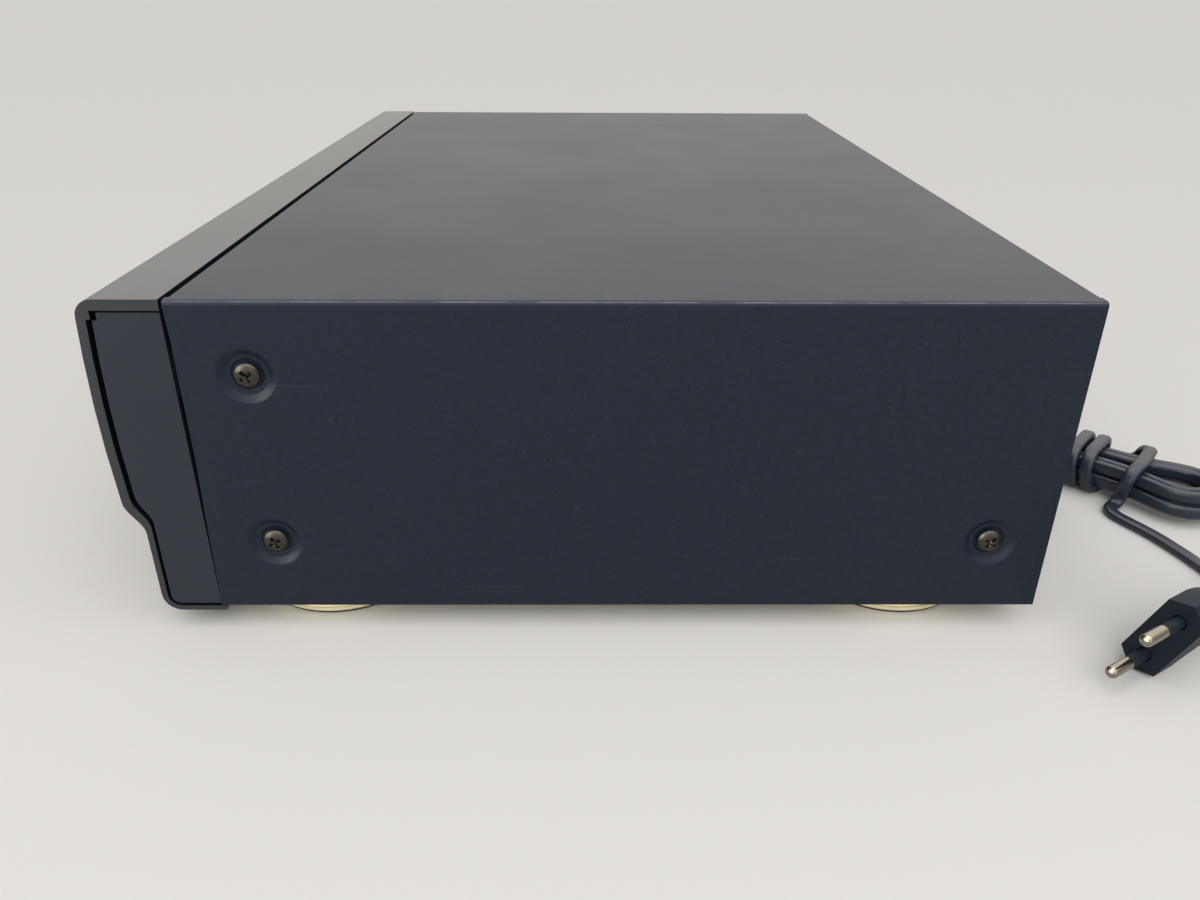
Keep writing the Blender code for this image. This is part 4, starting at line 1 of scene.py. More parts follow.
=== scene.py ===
"""Disc player with a tray loader: fine meshes, finishes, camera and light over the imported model.

Every length is in metres in the model's own frame: X to the right as seen from the front,
Y to the rear, Z up from the floor.
"""
import json
import logging
import math
from collections.abc import Sequence
from dataclasses import dataclass, field
from enum import Enum

import bmesh
import bpy
import numpy as np
from mathutils import Matrix, Vector
from mathutils.geometry import tessellate_polygon

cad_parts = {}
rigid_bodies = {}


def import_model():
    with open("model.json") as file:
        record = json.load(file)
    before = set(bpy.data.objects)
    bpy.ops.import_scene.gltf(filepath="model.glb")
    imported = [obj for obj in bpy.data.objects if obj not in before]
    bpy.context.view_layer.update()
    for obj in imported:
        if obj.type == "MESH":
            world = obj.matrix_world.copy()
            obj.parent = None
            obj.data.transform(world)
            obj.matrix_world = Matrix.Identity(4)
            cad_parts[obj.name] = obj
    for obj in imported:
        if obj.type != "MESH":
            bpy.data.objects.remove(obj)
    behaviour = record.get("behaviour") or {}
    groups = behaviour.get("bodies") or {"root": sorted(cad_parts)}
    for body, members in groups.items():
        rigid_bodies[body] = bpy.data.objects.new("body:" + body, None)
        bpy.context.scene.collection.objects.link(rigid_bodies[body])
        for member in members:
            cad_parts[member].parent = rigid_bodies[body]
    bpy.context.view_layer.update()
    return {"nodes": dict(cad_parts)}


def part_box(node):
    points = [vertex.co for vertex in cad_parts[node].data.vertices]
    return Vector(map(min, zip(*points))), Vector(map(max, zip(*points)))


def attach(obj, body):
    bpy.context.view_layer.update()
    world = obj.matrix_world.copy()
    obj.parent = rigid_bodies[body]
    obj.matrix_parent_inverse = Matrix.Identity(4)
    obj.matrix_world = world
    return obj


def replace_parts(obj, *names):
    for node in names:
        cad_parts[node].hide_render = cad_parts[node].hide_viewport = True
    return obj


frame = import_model()
log = logging.getLogger("disc_player")

Point = tuple[float, float, float]
Profile = Sequence[tuple[float, float]]
Outline = list[tuple[float, float]]
MM = 0.001
UP = Vector((0.0, 0.0, 1.0))

# Points and planes that are this close count as one
ON_AXIS = 1e-7
SAME_PLACE = 2e-6
SAME_PLANE = math.radians(1.0)

# Degrees up to which edges are shaded smooth, and past which they are rounded
SMOOTH_ANGLE = 30.0
ALL_SMOOTH = 180.0
EDGE_ANGLE = 32.0

# Weight of the large faces in the shading of rounded edges
FACE_WEIGHT = 80


# Node trees

class NodeKit:
    """Adds nodes to a tree, sets their sockets and links them."""

    def __init__(self, tree: bpy.types.NodeTree) -> None:
        """Work on one node tree.

        Args:
            tree: The tree of a material, a world, a node group or a modifier.
        """
        self.tree = tree

    def add(self, kind: str, inputs: dict | None = None, **settings: object) -> bpy.types.Node:
        """Add one node.

        Args:
            kind: The node's type name.
            inputs: Values or output sockets by the name or number of the input.
            **settings: Properties of the node itself.

        Returns:
            The new node.
        """
        node = self.tree.nodes.new(kind)
        for key, value in settings.items():
            setattr(node, key, value)
        for key, value in (inputs or {}).items():
            if isinstance(value, bpy.types.NodeSocket):
                self.tree.links.new(value, node.inputs[key])
            else:
                node.inputs[key].default_value = value
        return node

    def math(self, operation: str, one: object, two: object = 0.0) -> bpy.types.NodeSocket:
        """Combine two numbers and return the result's socket."""
        node = self.add("ShaderNodeMath", {0: one, 1: two}, operation=operation)
        return node.outputs[0]

    def ranged(self, value: object, low: float, high: float, to_low: float = 0.0,
               to_high: float = 1.0) -> bpy.types.NodeSocket:
        """Stretch a value from one range to another and clamp it.

        Args:
            value: The number or output socket.
            low: Value that becomes to_low.
            high: Value that becomes to_high.
            to_low: Result at and beyond low.
            to_high: Result at and beyond high.

        Returns:
            The result's socket.
        """
        node = self.add("ShaderNodeMapRange", {
            "Value": value, "From Min": low, "From Max": high, "To Min": to_low, "To Max": to_high,
        })
        return node.outputs["Result"]

    def mixed(self, share: object, one: object, two: object) -> bpy.types.NodeSocket:
        """Mix two colours by a share and return the result's socket."""
        node = self.add("ShaderNodeMix", {"Factor": share, 6: one, 7: two}, data_type="RGBA")
        return node.outputs[2]


def shader_group(name: str, inputs: dict[str, tuple[str, object]],
                 outputs: dict[str, str]) -> tuple[NodeKit, bpy.types.Node, bpy.types.Node]:
    """Start a shader node group.

    Args:
        name: The group's name.
        inputs: The socket type and default of each input, by name.
        outputs: The socket type of each output, by name.
    """
    tree = bpy.data.node_groups.new(name, "ShaderNodeTree")
    for label, (kind, default) in inputs.items():
        socket = tree.interface.new_socket(name=label, in_out="INPUT", socket_type=kind)
        if default is not None:
            socket.default_value = default
    for label, kind in outputs.items():
        tree.interface.new_socket(name=label, in_out="OUTPUT", socket_type=kind)
    kit = NodeKit(tree)
    return kit, kit.add("NodeGroupInput"), kit.add("NodeGroupOutput")


# How noise is mixed and cut into grain, patches, strokes and specks
FINE_SHARE = 0.6
GRAIN_RANGE = (0.35, 0.65)
PATCH_RANGE = (0.32, 0.68)
STROKE_WAYS = (((0.5, 0.35, 0.2), (1.0, 26.0, 22.0)), ((-0.3, 0.8, 1.1), (20.0, 1.0, 24.0)))
STROKE_RANGE = (0.735, 0.80)
SPECK_SCALE = 24.0
SPECK_RANGE = (0.76, 0.80)


def make_grain_group() -> bpy.types.NodeTree:
    """Build the grain of a painted, moulded or brushed surface.

    Returns:
        The group, with a mask from 0 to 1 and a height for a Bump node.
    """
    kit, source, result = shader_group(
        "surface_grain",
        {"Vector": ("NodeSocketVector", None), "Stretch": ("NodeSocketVector", (1.0, 1.0, 1.0)),
         "Scale": ("NodeSocketFloat", 900.0), "Rough Share": ("NodeSocketFloat", 0.35)},
        {"Mask": "NodeSocketFloat", "Height": "NodeSocketFloat"},
    )
    place = kit.add("ShaderNodeVectorMath", {0: source.outputs["Vector"], 1: source.outputs["Stretch"]},
                    operation="MULTIPLY").outputs[0]
    fine = kit.add("ShaderNodeTexNoise", {"Vector": place, "Scale": source.outputs["Scale"],
                                          "Detail": 3.0, "Roughness": 0.6})
    coarse_scale = kit.math("MULTIPLY", source.outputs["Scale"], source.outputs["Rough Share"])
    coarse = kit.add("ShaderNodeTexNoise", {"Vector": place, "Scale": coarse_scale, "Detail": 2.0,
                                            "Roughness": 0.5})
    height = kit.math("ADD", kit.math("MULTIPLY", fine.outputs["Fac"], FINE_SHARE),
                      kit.math("MULTIPLY", coarse.outputs["Fac"], 1 - FINE_SHARE))
    kit.tree.links.new(kit.ranged(height, *GRAIN_RANGE), result.inputs["Mask"])
    kit.tree.links.new(height, result.inputs["Height"])
    return kit.tree


def make_blotch_group() -> bpy.types.NodeTree:
    """Build soft broad patches, as handling and dust leave them on a large surface.

    Returns:
        The group, with a mask from 0 to 1.
    """
    kit, source, result = shader_group(
        "soft_patches",
        {"Vector": ("NodeSocketVector", None), "Scale": ("NodeSocketFloat", 12.0)},
        {"Mask": "NodeSocketFloat"},
    )
    broad = kit.add("ShaderNodeTexNoise", {"Vector": source.outputs["Vector"],
                                           "Scale": source.outputs["Scale"], "Detail": 4.0,
                                           "Roughness": 0.55, "Distortion": 0.4})
    kit.tree.links.new(kit.ranged(broad.outputs["Fac"], *PATCH_RANGE), result.inputs["Mask"])
    return kit.tree


def make_scuff_group() -> bpy.types.NodeTree:
    """Build a few fine scuffs: short thin strokes in two directions, and small specks.

    Returns:
        The group, with a mask from 0 to 1.
    """
    kit, source, result = shader_group(
        "fine_scuffs",
        {"Vector": ("NodeSocketVector", None), "Scale": ("NodeSocketFloat", 14.0),
         "Amount": ("NodeSocketFloat", 0.5)},
        {"Mask": "NodeSocketFloat"},
    )
    strokes = []
    for turn, stretch in STROKE_WAYS:
        place = kit.add("ShaderNodeMapping", {"Vector": source.outputs["Vector"], "Rotation": turn,
                                              "Scale": stretch})
        noise = kit.add("ShaderNodeTexNoise", {"Vector": place.outputs[0],
                                               "Scale": source.outputs["Scale"], "Detail": 1.0})
        strokes.append(kit.ranged(noise.outputs["Fac"], *STROKE_RANGE))
    speck_scale = kit.math("MULTIPLY", source.outputs["Scale"], SPECK_SCALE)
    specks = kit.add("ShaderNodeTexNoise", {"Vector": source.outputs["Vector"], "Detail": 1.0,
                                            "Scale": speck_scale})
    strokes.append(kit.ranged(specks.outputs["Fac"], *SPECK_RANGE))
    mask = kit.math("MAXIMUM", kit.math("MAXIMUM", strokes[0], strokes[1]), strokes[2])
    kit.tree.links.new(kit.math("MULTIPLY", mask, source.outputs["Amount"]), result.inputs["Mask"])
    return kit.tree


DRESSED: dict[str, bpy.types.Material] = {}
GRAIN = make_grain_group()
PATCHES = make_blotch_group()
SCUFFS = make_scuff_group()


# Finishes

LEAST_ROUGHNESS = 0.02


def linear(code: str) -> tuple[float, float, float, float]:
    """Turn a colour such as "2c3036" into linear values by the display standard's curve.

    Args:
        code: Six hexadecimal digits of a display colour.

    Returns:
        Red, green, blue and alpha.
    """
    values = []
    for i in (0, 2, 4):
        v = int(code[i:i + 2], 16) / 255
        values.append(v / 12.92 if v <= 0.04045 else ((v + 0.055) / 1.055) ** 2.4)
    return (*values, 1.0)


class Grain(Enum):
    """Kinds of surface grain: scale per metre, stretch along X, Y and Z, and bump depth."""

    POWDER = (1500.0, (1.0, 1.0, 1.0), 0.000035)
    SATIN = (2600.0, (1.0, 1.0, 1.0), 0.000006)
    MOULDED = (1100.0, (1.0, 1.0, 1.0), 0.00002)
    BRUSHED_X = (1300.0, (0.02, 1.0, 1.0), 0.000006)
    BRUSHED_Z = (1300.0, (1.0, 1.0, 0.03), 0.000006)
    ROLLED = (900.0, (0.05, 1.0, 1.0), 0.000008)


@dataclass(frozen=True)
class Finish:
    """A surface finish whose Principled material reads object coordinates."""

    name: str
    slot: str
    colour: str
    roughness: float
    metallic: float = 0.0
    specular: float = 0.5
    coat: float = 0.0
    coat_roughness: float = 0.25
    grain: Grain = Grain.MOULDED
    contrast: float = 0.10
    roughness_spread: float = 0.06
    scuffs: float = 0.0
    scuff_colour: str = "8a8a86"

    def material(self) -> bpy.types.Material:
        """Build the material, or find the one already built.

        Returns:
            The material.
        """
        if self.name in DRESSED:
            return DRESSED[self.name]
        material = bpy.data.materials.new(self.name)
        DRESSED[self.name] = material
        material.use_nodes = True
        kit = NodeKit(material.node_tree)
        kit.tree.nodes.clear()
        coords = kit.add("ShaderNodeTexCoord").outputs["Object"]
        scale, stretch, depth = self.grain.value
        grain = kit.add("ShaderNodeGroup", {"Vector": coords, "Stretch": stretch, "Scale": scale},
                        node_tree=GRAIN)
        patches = kit.add("ShaderNodeGroup", {"Vector": coords}, node_tree=PATCHES)
        bump = kit.add("ShaderNodeBump", {"Height": grain.outputs["Height"], "Distance": depth,
                                          "Strength": 1.0})
        shader = kit.add("ShaderNodeBsdfPrincipled", {
            "Base Color": self.grained(kit, coords, grain.outputs["Mask"]),
            "Roughness": kit.ranged(patches.outputs["Mask"], 0.0, 1.0,
                                    max(LEAST_ROUGHNESS, self.roughness - self.roughness_spread),
                                    min(1.0, self.roughness + self.roughness_spread)),
            "Normal": bump.outputs["Normal"],
            "Metallic": self.metallic,
            "Specular IOR Level": self.specular,
            "Coat Weight": self.coat,
            "Coat Roughness": self.coat_roughness,
        })
        self.adjust(shader)
        out = kit.add("ShaderNodeOutputMaterial")
        kit.tree.links.new(shader.outputs[0], out.inputs["Surface"])
        return material

    def grained(self, kit: NodeKit, coords: bpy.types.NodeSocket,
                mask: bpy.types.NodeSocket) -> bpy.types.NodeSocket:
        """Darken the colour between the grains and lay the scuffs over it.

        Args:
            coords: The object coordinates.
            mask: The grain's mask.

        Returns:
            The surface's colour socket.
        """
        base = self.base_colour(kit, coords)
        shade = (1 - self.contrast,) * 3 + (1.0,)
        darker = kit.add("ShaderNodeMix", {"Factor": 1.0, 6: base, 7: shade}, data_type="RGBA",
                         blend_type="MULTIPLY").outputs[2]
        colour = kit.mixed(mask, darker, base)
        if not self.scuffs:
            return colour
        marks = kit.add("ShaderNodeGroup", {"Vector": coords, "Amount": self.scuffs},
                        node_tree=SCUFFS)
        return kit.mixed(marks.outputs["Mask"], colour, linear(self.scuff_colour))

    def base_colour(self, kit: NodeKit, coords: bpy.types.NodeSocket) -> bpy.types.NodeSocket:
        """Return the socket of the colour before grain and scuffs.

        Args:
            coords: The object coordinates.

        Returns:
            A colour socket, here one plain colour.
        """
        colour = kit.add("ShaderNodeRGB")
        colour.outputs[0].default_value = linear(self.colour)
        return colour.outputs[0]

    def adjust(self, shader: bpy.types.Node) -> None:
        """Set what only some finishes have on the shader; nothing here."""


@dataclass(frozen=True)
class Glass(Finish):
    """Clear, smoked or coated glass or plastic."""

    transmission: float = 0.9
    ior: float = 1.5

    def adjust(self, shader: bpy.types.Node) -> None:
        """Let light through the shader."""
        shader.inputs["Transmission Weight"].default_value = self.transmission
        shader.inputs["IOR"].default_value = self.ior


@dataclass(frozen=True)
class Layered(Finish):
    """A finish with thin lines at even steps along one axis, such as laminations or turns."""

    second: str = "202020"
    step: float = 0.0005
    axis: int = 1
    line_range: tuple[float, float] = (-0.4, 0.9)

    def base_colour(self, kit: NodeKit, coords: bpy.types.NodeSocket) -> bpy.types.NodeSocket:
        """Mix two colours in even lines along the axis.

        Args:
            coords: The object coordinates.

        Returns:
            The striped colour's socket.
        """
        split = kit.add("ShaderNodeSeparateXYZ", {0: coords})
        turn = kit.math("MULTIPLY", split.outputs[self.axis], 2 * math.pi / self.step)
        wave = kit.math("SINE", turn)
        share = kit.ranged(wave, *self.line_range)
        return kit.mixed(share, linear(self.second), linear(self.colour))


@dataclass(frozen=True)
class PaintWithFoldHighlight(Finish):
    """Paint with a painted highlight: a broken pale line along the fold at one height, where the bend
    catches the light.
    """

    # Height of the fold, then the width, colour and strength of its painted highlight, and the breaks in
    # it
    fold: float = 0.11478
    highlight_width: float = 0.00022
    highlight_colour: str = "8b8d8e"
    highlight_share: float = 0.55
    break_scale: float = 70.0
    break_range: tuple[float, float] = (0.36, 0.56)
    faintest: float = 0.15

    def base_colour(self, kit: NodeKit, coords: bpy.types.NodeSocket) -> bpy.types.NodeSocket:
        """Paint a broken pale highlight line along the fold, where the bend catches the light.

        Args:
            coords: The object coordinates.

        Returns:
            The colour's socket.
        """
        split = kit.add("ShaderNodeSeparateXYZ", {0: coords})
        # Painted highlight: a pale line along the fold, broken up by noise
        off = kit.math("ABSOLUTE", kit.math("SUBTRACT", split.outputs["Z"], self.fold))
        line = kit.ranged(off, 0.0, self.highlight_width, self.highlight_share, 0.0)
        breaks = kit.add("ShaderNodeTexNoise", {"Vector": coords, "Scale": self.break_scale,
                                                "Detail": 3.0})
        shown = kit.ranged(breaks.outputs["Fac"], *self.break_range, self.faintest)
        share = kit.math("MULTIPLY", line, shown)
        return kit.mixed(share, linear(self.colour), linear(self.highlight_colour))


@dataclass(frozen=True)
class PrintedBoard(Finish):
    """Solder mask over copper tracks, with rows of pads."""

    track: str = "3f7a4e"
    track_scale: float = 260.0
    track_range: tuple[float, float] = (0.06, 0.09)
    pad: str = "c9c4b4"
    pad_scale: float = 220.0
    pad_range: tuple[float, float] = (0.12, 0.17)

    def base_colour(self, kit: NodeKit, coords: bpy.types.NodeSocket) -> bpy.types.NodeSocket:
        """Lay tracks and pads over the mask.

        Args:
            coords: The object coordinates.

        Returns:
            The board's colour socket.
        """
        cells = kit.add("ShaderNodeTexVoronoi", {"Vector": coords, "Scale": self.track_scale,
                                                 "Randomness": 0.35},
                        feature="DISTANCE_TO_EDGE", distance="CHEBYCHEV")
        tracks = kit.ranged(cells.outputs["Distance"], *self.track_range, 1.0, 0.0)
        spots = kit.add("ShaderNodeTexVoronoi", {"Vector": coords, "Scale": self.pad_scale,
                                                 "Randomness": 0.2})
        pads = kit.ranged(spots.outputs["Distance"], *self.pad_range, 1.0, 0.0)
        colour = kit.mixed(tracks, linear(self.colour), linear(self.track))
        return kit.mixed(pads, colour, linear(self.pad))


class Finishes:
    """Every finish of the player, by what it is used on."""

    # The cover's paint carries a painted highlight along its top fold
    COVER = PaintWithFoldHighlight("powder_coat", "cover_paint", "161f2b", 0.46, specular=0.22,
                        grain=Grain.POWDER, contrast=0.34, roughness_spread=0.02, scuffs=0.05,
                        scuff_colour="6a6c6e")
    PANEL = Finish("panel_anodised", "panel_metal", "0f141c", 0.38, specular=0.68,
                   grain=Grain.BRUSHED_X, contrast=0.12, roughness_spread=0.006)
    FRAME = Finish("frame_moulding", "frame_plastic", "1d232b", 0.46, specular=0.32)
    ZINC = Finish("pan_zinc", "sheet_zinc", "a8a89c", 0.40, metallic=0.9, grain=Grain.ROLLED,
                  contrast=0.18)
    STEEL = Finish("drawn_steel", "steel", "9a9c9e", 0.34, metallic=1.0, grain=Grain.ROLLED)
    SCREW = Finish("screw_plating", "dark_screw", "454139", 0.34, metallic=0.85,
                   grain=Grain.SATIN, contrast=0.25)
    GOLD = Finish("foot_ring", "foot_gold", "fff4cf", 0.34, metallic=0.80, specular=0.7,
                  grain=Grain.SATIN, contrast=0.08)
    FOOT_BASE = Finish("foot_base", "foot_gold", "1c1c1d", 0.75)
    BLACK = Finish("black_moulding", "black_plastic", "202022", 0.42)
    BUTTON = Finish("button_moulding", "button_plastic", "2b2c2e", 0.36, grain=Grain.SATIN)
    MARK = Finish("button_mark", "button_plastic", "b9b8b2", 0.5, grain=Grain.SATIN, contrast=0.04)
    ACETAL = Finish("gear_acetal", "white_plastic", "e0ded4", 0.42, grain=Grain.SATIN,
                    contrast=0.05)
    RUBBER = Finish("boot_rubber", "rubber", "18181a", 0.62)
    SHEATH = Finish("cord_sheath", "cord_black", "1c242f", 0.36, specular=0.44, grain=Grain.SATIN,
                    contrast=0.12, roughness_spread=0.08)
    PLUG = Finish("plug_moulding", "cord_black", "1a2129", 0.50, specular=0.10, contrast=0.14)
    CORE = Layered("core_laminations", "core_steel", "5a5b5e", 0.5, metallic=0.7, second="2a2a2c",
                   step=0.0007, grain=Grain.SATIN)
    WINDING = Layered("coil_winding", "copper", "b8743f", 0.4, metallic=0.5, second="6b3c1f",
                      step=0.0008, axis=2, grain=Grain.SATIN)
    BOARD = PrintedBoard("board_mask", "board_green", "1d4a2c", 0.4, coat=0.3, grain=Grain.SATIN)
    ALUMINIUM = Finish("milled_aluminium", "aluminium", "c4c5c8", 0.32, metallic=1.0,
                       grain=Grain.BRUSHED_Z)
    WINDOW = Glass("window_smoke", "smoked_window", "141416", 0.10, specular=0.3, transmission=0.35,
                   grain=Grain.SATIN, contrast=0.04, roughness_spread=0.02)
    TUBE = Finish("display_tube", "display_glass", "20282a", 0.12, coat=0.8, coat_roughness=0.05,
                  grain=Grain.SATIN, contrast=0.05, roughness_spread=0.02)
    NICKEL = Finish("nickel_plate", "nickel", "8f897c", 0.24, metallic=1.0, grain=Grain.SATIN,
                    roughness_spread=0.05)
    LENS = Glass("coated_lens", "lens_glass", "5a74b8", 0.04, transmission=0.75, grain=Grain.SATIN,
                 contrast=0.02, roughness_spread=0.01)
    CAN_SLEEVE = Finish("can_sleeve", "black_plastic", "23262e", 0.3, coat=0.4, grain=Grain.SATIN)
    RED = Finish("socket_red", "black_plastic", "8e2320", 0.42, grain=Grain.SATIN)
    WHITE = Finish("socket_white", "white_plastic", "d9d8d2", 0.42, grain=Grain.SATIN)


# Meshes

def keep_finish(piece: bpy.types.Object, finish: Finish) -> bpy.types.Object:
    """Give a piece its finish.

    Args:
        piece: The piece to dress.
        finish: Its finish.

    Returns:
        The same piece.
    """
    piece.data.materials.clear()
    piece.data.materials.append(finish.material())
    return piece


def put_in_scene(name: str, mesh: bpy.types.Mesh) -> bpy.types.Object:
    """Link a mesh to the scene as an object at the origin.

    Args:
        name: The object's name.
        mesh: Its mesh.

    Returns:
        The new object.
    """
    piece = bpy.data.objects.new(name, mesh)
    bpy.context.scene.collection.objects.link(piece)
    return piece


def from_bmesh(name: str, work: bmesh.types.BMesh,
               smooth: float = SMOOTH_ANGLE) -> bpy.types.Object:
    """Turn a bmesh into an object, smooth up to an angle.

    Args:
        name: The object's name.
        work: The bmesh, which is freed.
        smooth: Edges sharper than this many degrees stay sharp.

    Returns:
        The new object.
    """
    mesh = bpy.data.meshes.new(name)
    work.to_mesh(mesh)
    work.free()
    mesh.polygons.foreach_set("use_smooth", [True] * len(mesh.polygons))
    mesh.set_sharp_from_angle(angle=math.radians(smooth))
    return put_in_scene(name, mesh)


def settle(piece: bpy.types.Object) -> bpy.types.Object:
    """Apply a piece's modifiers and its place to its mesh.

    Args:
        piece: An object that may have modifiers and a transform.

    Returns:
        The same object, at the origin and with a plain mesh.
    """
    graph = bpy.context.evaluated_depsgraph_get()
    graph.update()
    mesh = bpy.data.meshes.new_from_object(piece.evaluated_get(graph),
                                           preserve_all_data_layers=True, depsgraph=graph)
    mesh.transform(piece.matrix_world)
    piece.modifiers.clear()
    spent = piece.data
    piece.data = mesh
    mesh.name = piece.name
    if spent.users == 0:
        bpy.data.meshes.remove(spent)
    piece.matrix_world = Matrix.Identity(4)
    return piece


def soften(piece: bpy.types.Object, width: float, segments: int = 2,
           angle: float = EDGE_ANGLE) -> bpy.types.Object:
    """Round a piece's edges and shade its flat faces flat up to them.

    Args:
        piece: The object.
        width: Width of the rounding.
        segments: Steps across it.
        angle: Only edges sharper than this many degrees are rounded.

    Returns:
        The same object, with a plain mesh.
    """
    bevel = piece.modifiers.new("rounding", "BEVEL")
    bevel.limit_method = "ANGLE"
    bevel.angle_limit = math.radians(angle)
    bevel.width = width
    bevel.segments = segments
    bevel.miter_outer = "MITER_ARC"
    shading = piece.modifiers.new("shading", "WEIGHTED_NORMAL")
    shading.keep_sharp = True
    shading.weight = FACE_WEIGHT
    for polygon in piece.data.polygons:
        polygon.use_smooth = True
    return settle(piece)


def rounded_copy(name: str, node: str, width: float, segments: int = 2,
                 angle: float = EDGE_ANGLE) -> bpy.types.Object:
    """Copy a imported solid, join its loose triangles and round its edges.

    Args:
        name: The new piece's name.
        node: The solid's node.
        width: Width of the rounding.
        segments: Steps across it.
        angle: Only edges sharper than this many degrees are rounded.

    Returns:
        The new piece, which stands for the node.
    """
    source = frame["nodes"][node]
    work = bmesh.new()
    work.from_mesh(source.data)
    work.transform(source.matrix_world)
    bmesh.ops.remove_doubles(work, verts=work.verts, dist=SAME_PLACE)
    bmesh.ops.join_triangles(work, faces=work.faces, angle_face_threshold=SAME_PLANE,
                             angle_shape_threshold=math.pi)
    piece = from_bmesh(name, work, ALL_SMOOTH)
    soften(piece, width, segments, angle)
    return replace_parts(piece, node)


def lathe(name: str, profile: Profile, place: Point, way: Point, sides: int = 48,
          smooth: float = SMOOTH_ANGLE) -> bpy.types.Object:
    """Turn a profile round an axis.

    Args:
        name: The piece's name.
        profile: Radius and height along the axis, in order; ends on the axis close the shape.
        place: The axis's foot.
        way: Direction of the axis.
        sides: Steps round the axis.
        smooth: Edges sharper than this many degrees stay sharp.

    Returns:
        The new piece.
    """
    turn = UP.rotation_difference(Vector(way)).to_matrix().to_4x4()
    matrix = Matrix.Translation(place) @ turn
    work = bmesh.new()
    rings = []
    for radius, height in profile:
        if radius < ON_AXIS:
            rings.append([work.verts.new(matrix @ Vector((0, 0, height)))])
            continue
        angles = [2 * math.pi * i / sides for i in range(sides)]
        rings.append([work.verts.new(matrix @ Vector((radius * math.cos(angle),
                                                      radius * math.sin(angle), height)))
                      for angle in angles])
    for one, two in zip(rings, rings[1:]):
        for i in range(sides):
            k = (i + 1) % sides
            corners = [one[i % len(one)], one[k % len(one)], two[k % len(two)], two[i % len(two)]]
            corners = list(dict.fromkeys(corners))
            if len(corners) > 2:
                work.faces.new(corners)
    bmesh.ops.recalc_face_normals(work, faces=work.faces)
    return from_bmesh(name, work, smooth)


def slab(name: str, low: Point, high: Point, width: float) -> bpy.types.Object:
    """Make a block with rounded edges between two corners.

    Args:
        name: The piece's name.
        low: Lowest corner.
        high: Highest corner.
        width: Width of the rounding.

    Returns:
        The new piece.
    """
    work = bmesh.new()
    bmesh.ops.create_cube(work, size=1.0)
    size = Vector(high) - Vector(low)
    work.transform(Matrix.Translation((Vector(low) + Vector(high)) / 2) @ Matrix.Diagonal((*size, 1.0)))
    return soften(from_bmesh(name, work, ALL_SMOOTH), width)


def prism(name: str, outline: Profile, low: float, high: float,
          plane: Matrix) -> bpy.types.Object:
    """Extrude a flat outline.

    Args:
        name: The piece's name.
        outline: Corners in the plane, in order.
        low: Start of the extrusion along the plane's normal.
        high: End of it.
        plane: Matrix from the plane's own axes to the frame.

    Returns:
        The new piece.
    """
    work = bmesh.new()
    ends = [[work.verts.new(plane @ Vector((x, y, level))) for x, y in outline] for level in (low, high)]
    count = len(outline)
    for i in range(count):
        k = (i + 1) % count
        work.faces.new((ends[0][i], ends[0][k], ends[1][k], ends[1][i]))
    work.faces.new(ends[0][::-1])
    work.faces.new(ends[1])
    bmesh.ops.recalc_face_normals(work, faces=work.faces)
    return from_bmesh(name, work, ALL_SMOOTH)


def merged(name: str, parts: Sequence[bpy.types.Object]) -> bpy.types.Object:
    """Join settled pieces into one, each keeping its materials.

    Args:
        name: Name of the whole.
        parts: The pieces, which are used up.

    Returns:
        The joined piece.
    """
    with bpy.context.temp_override(active_object=parts[0], selected_editable_objects=list(parts)):
        bpy.ops.object.join()
    parts[0].name = name
    parts[0].data.name = name
    return parts[0]


def cut_away(piece: bpy.types.Object, cutter: bpy.types.Object) -> bpy.types.Object:
    """Cut one piece with another, which is used up.

    Args:
        piece: What is cut.
        cutter: What it is cut with.

    Returns:
        The cut piece.
    """
    boolean = piece.modifiers.new("cut", "BOOLEAN")
    boolean.operation = "DIFFERENCE"
    boolean.solver = "EXACT"
    boolean.object = cutter
    settle(piece)
    bpy.data.objects.remove(cutter, do_unlink=True)
    return piece


# Repeats with Geometry Nodes

class Socket(Enum):
    """Types of a Geometry Nodes group's inputs."""

    SHAPE = "NodeSocketGeometry"
    OBJECT = "NodeSocketObject"
    LENGTH = "NodeSocketFloat"
    COUNT = "NodeSocketInt"
    PLACE = "NodeSocketVector"
    FINISH = "NodeSocketMaterial"


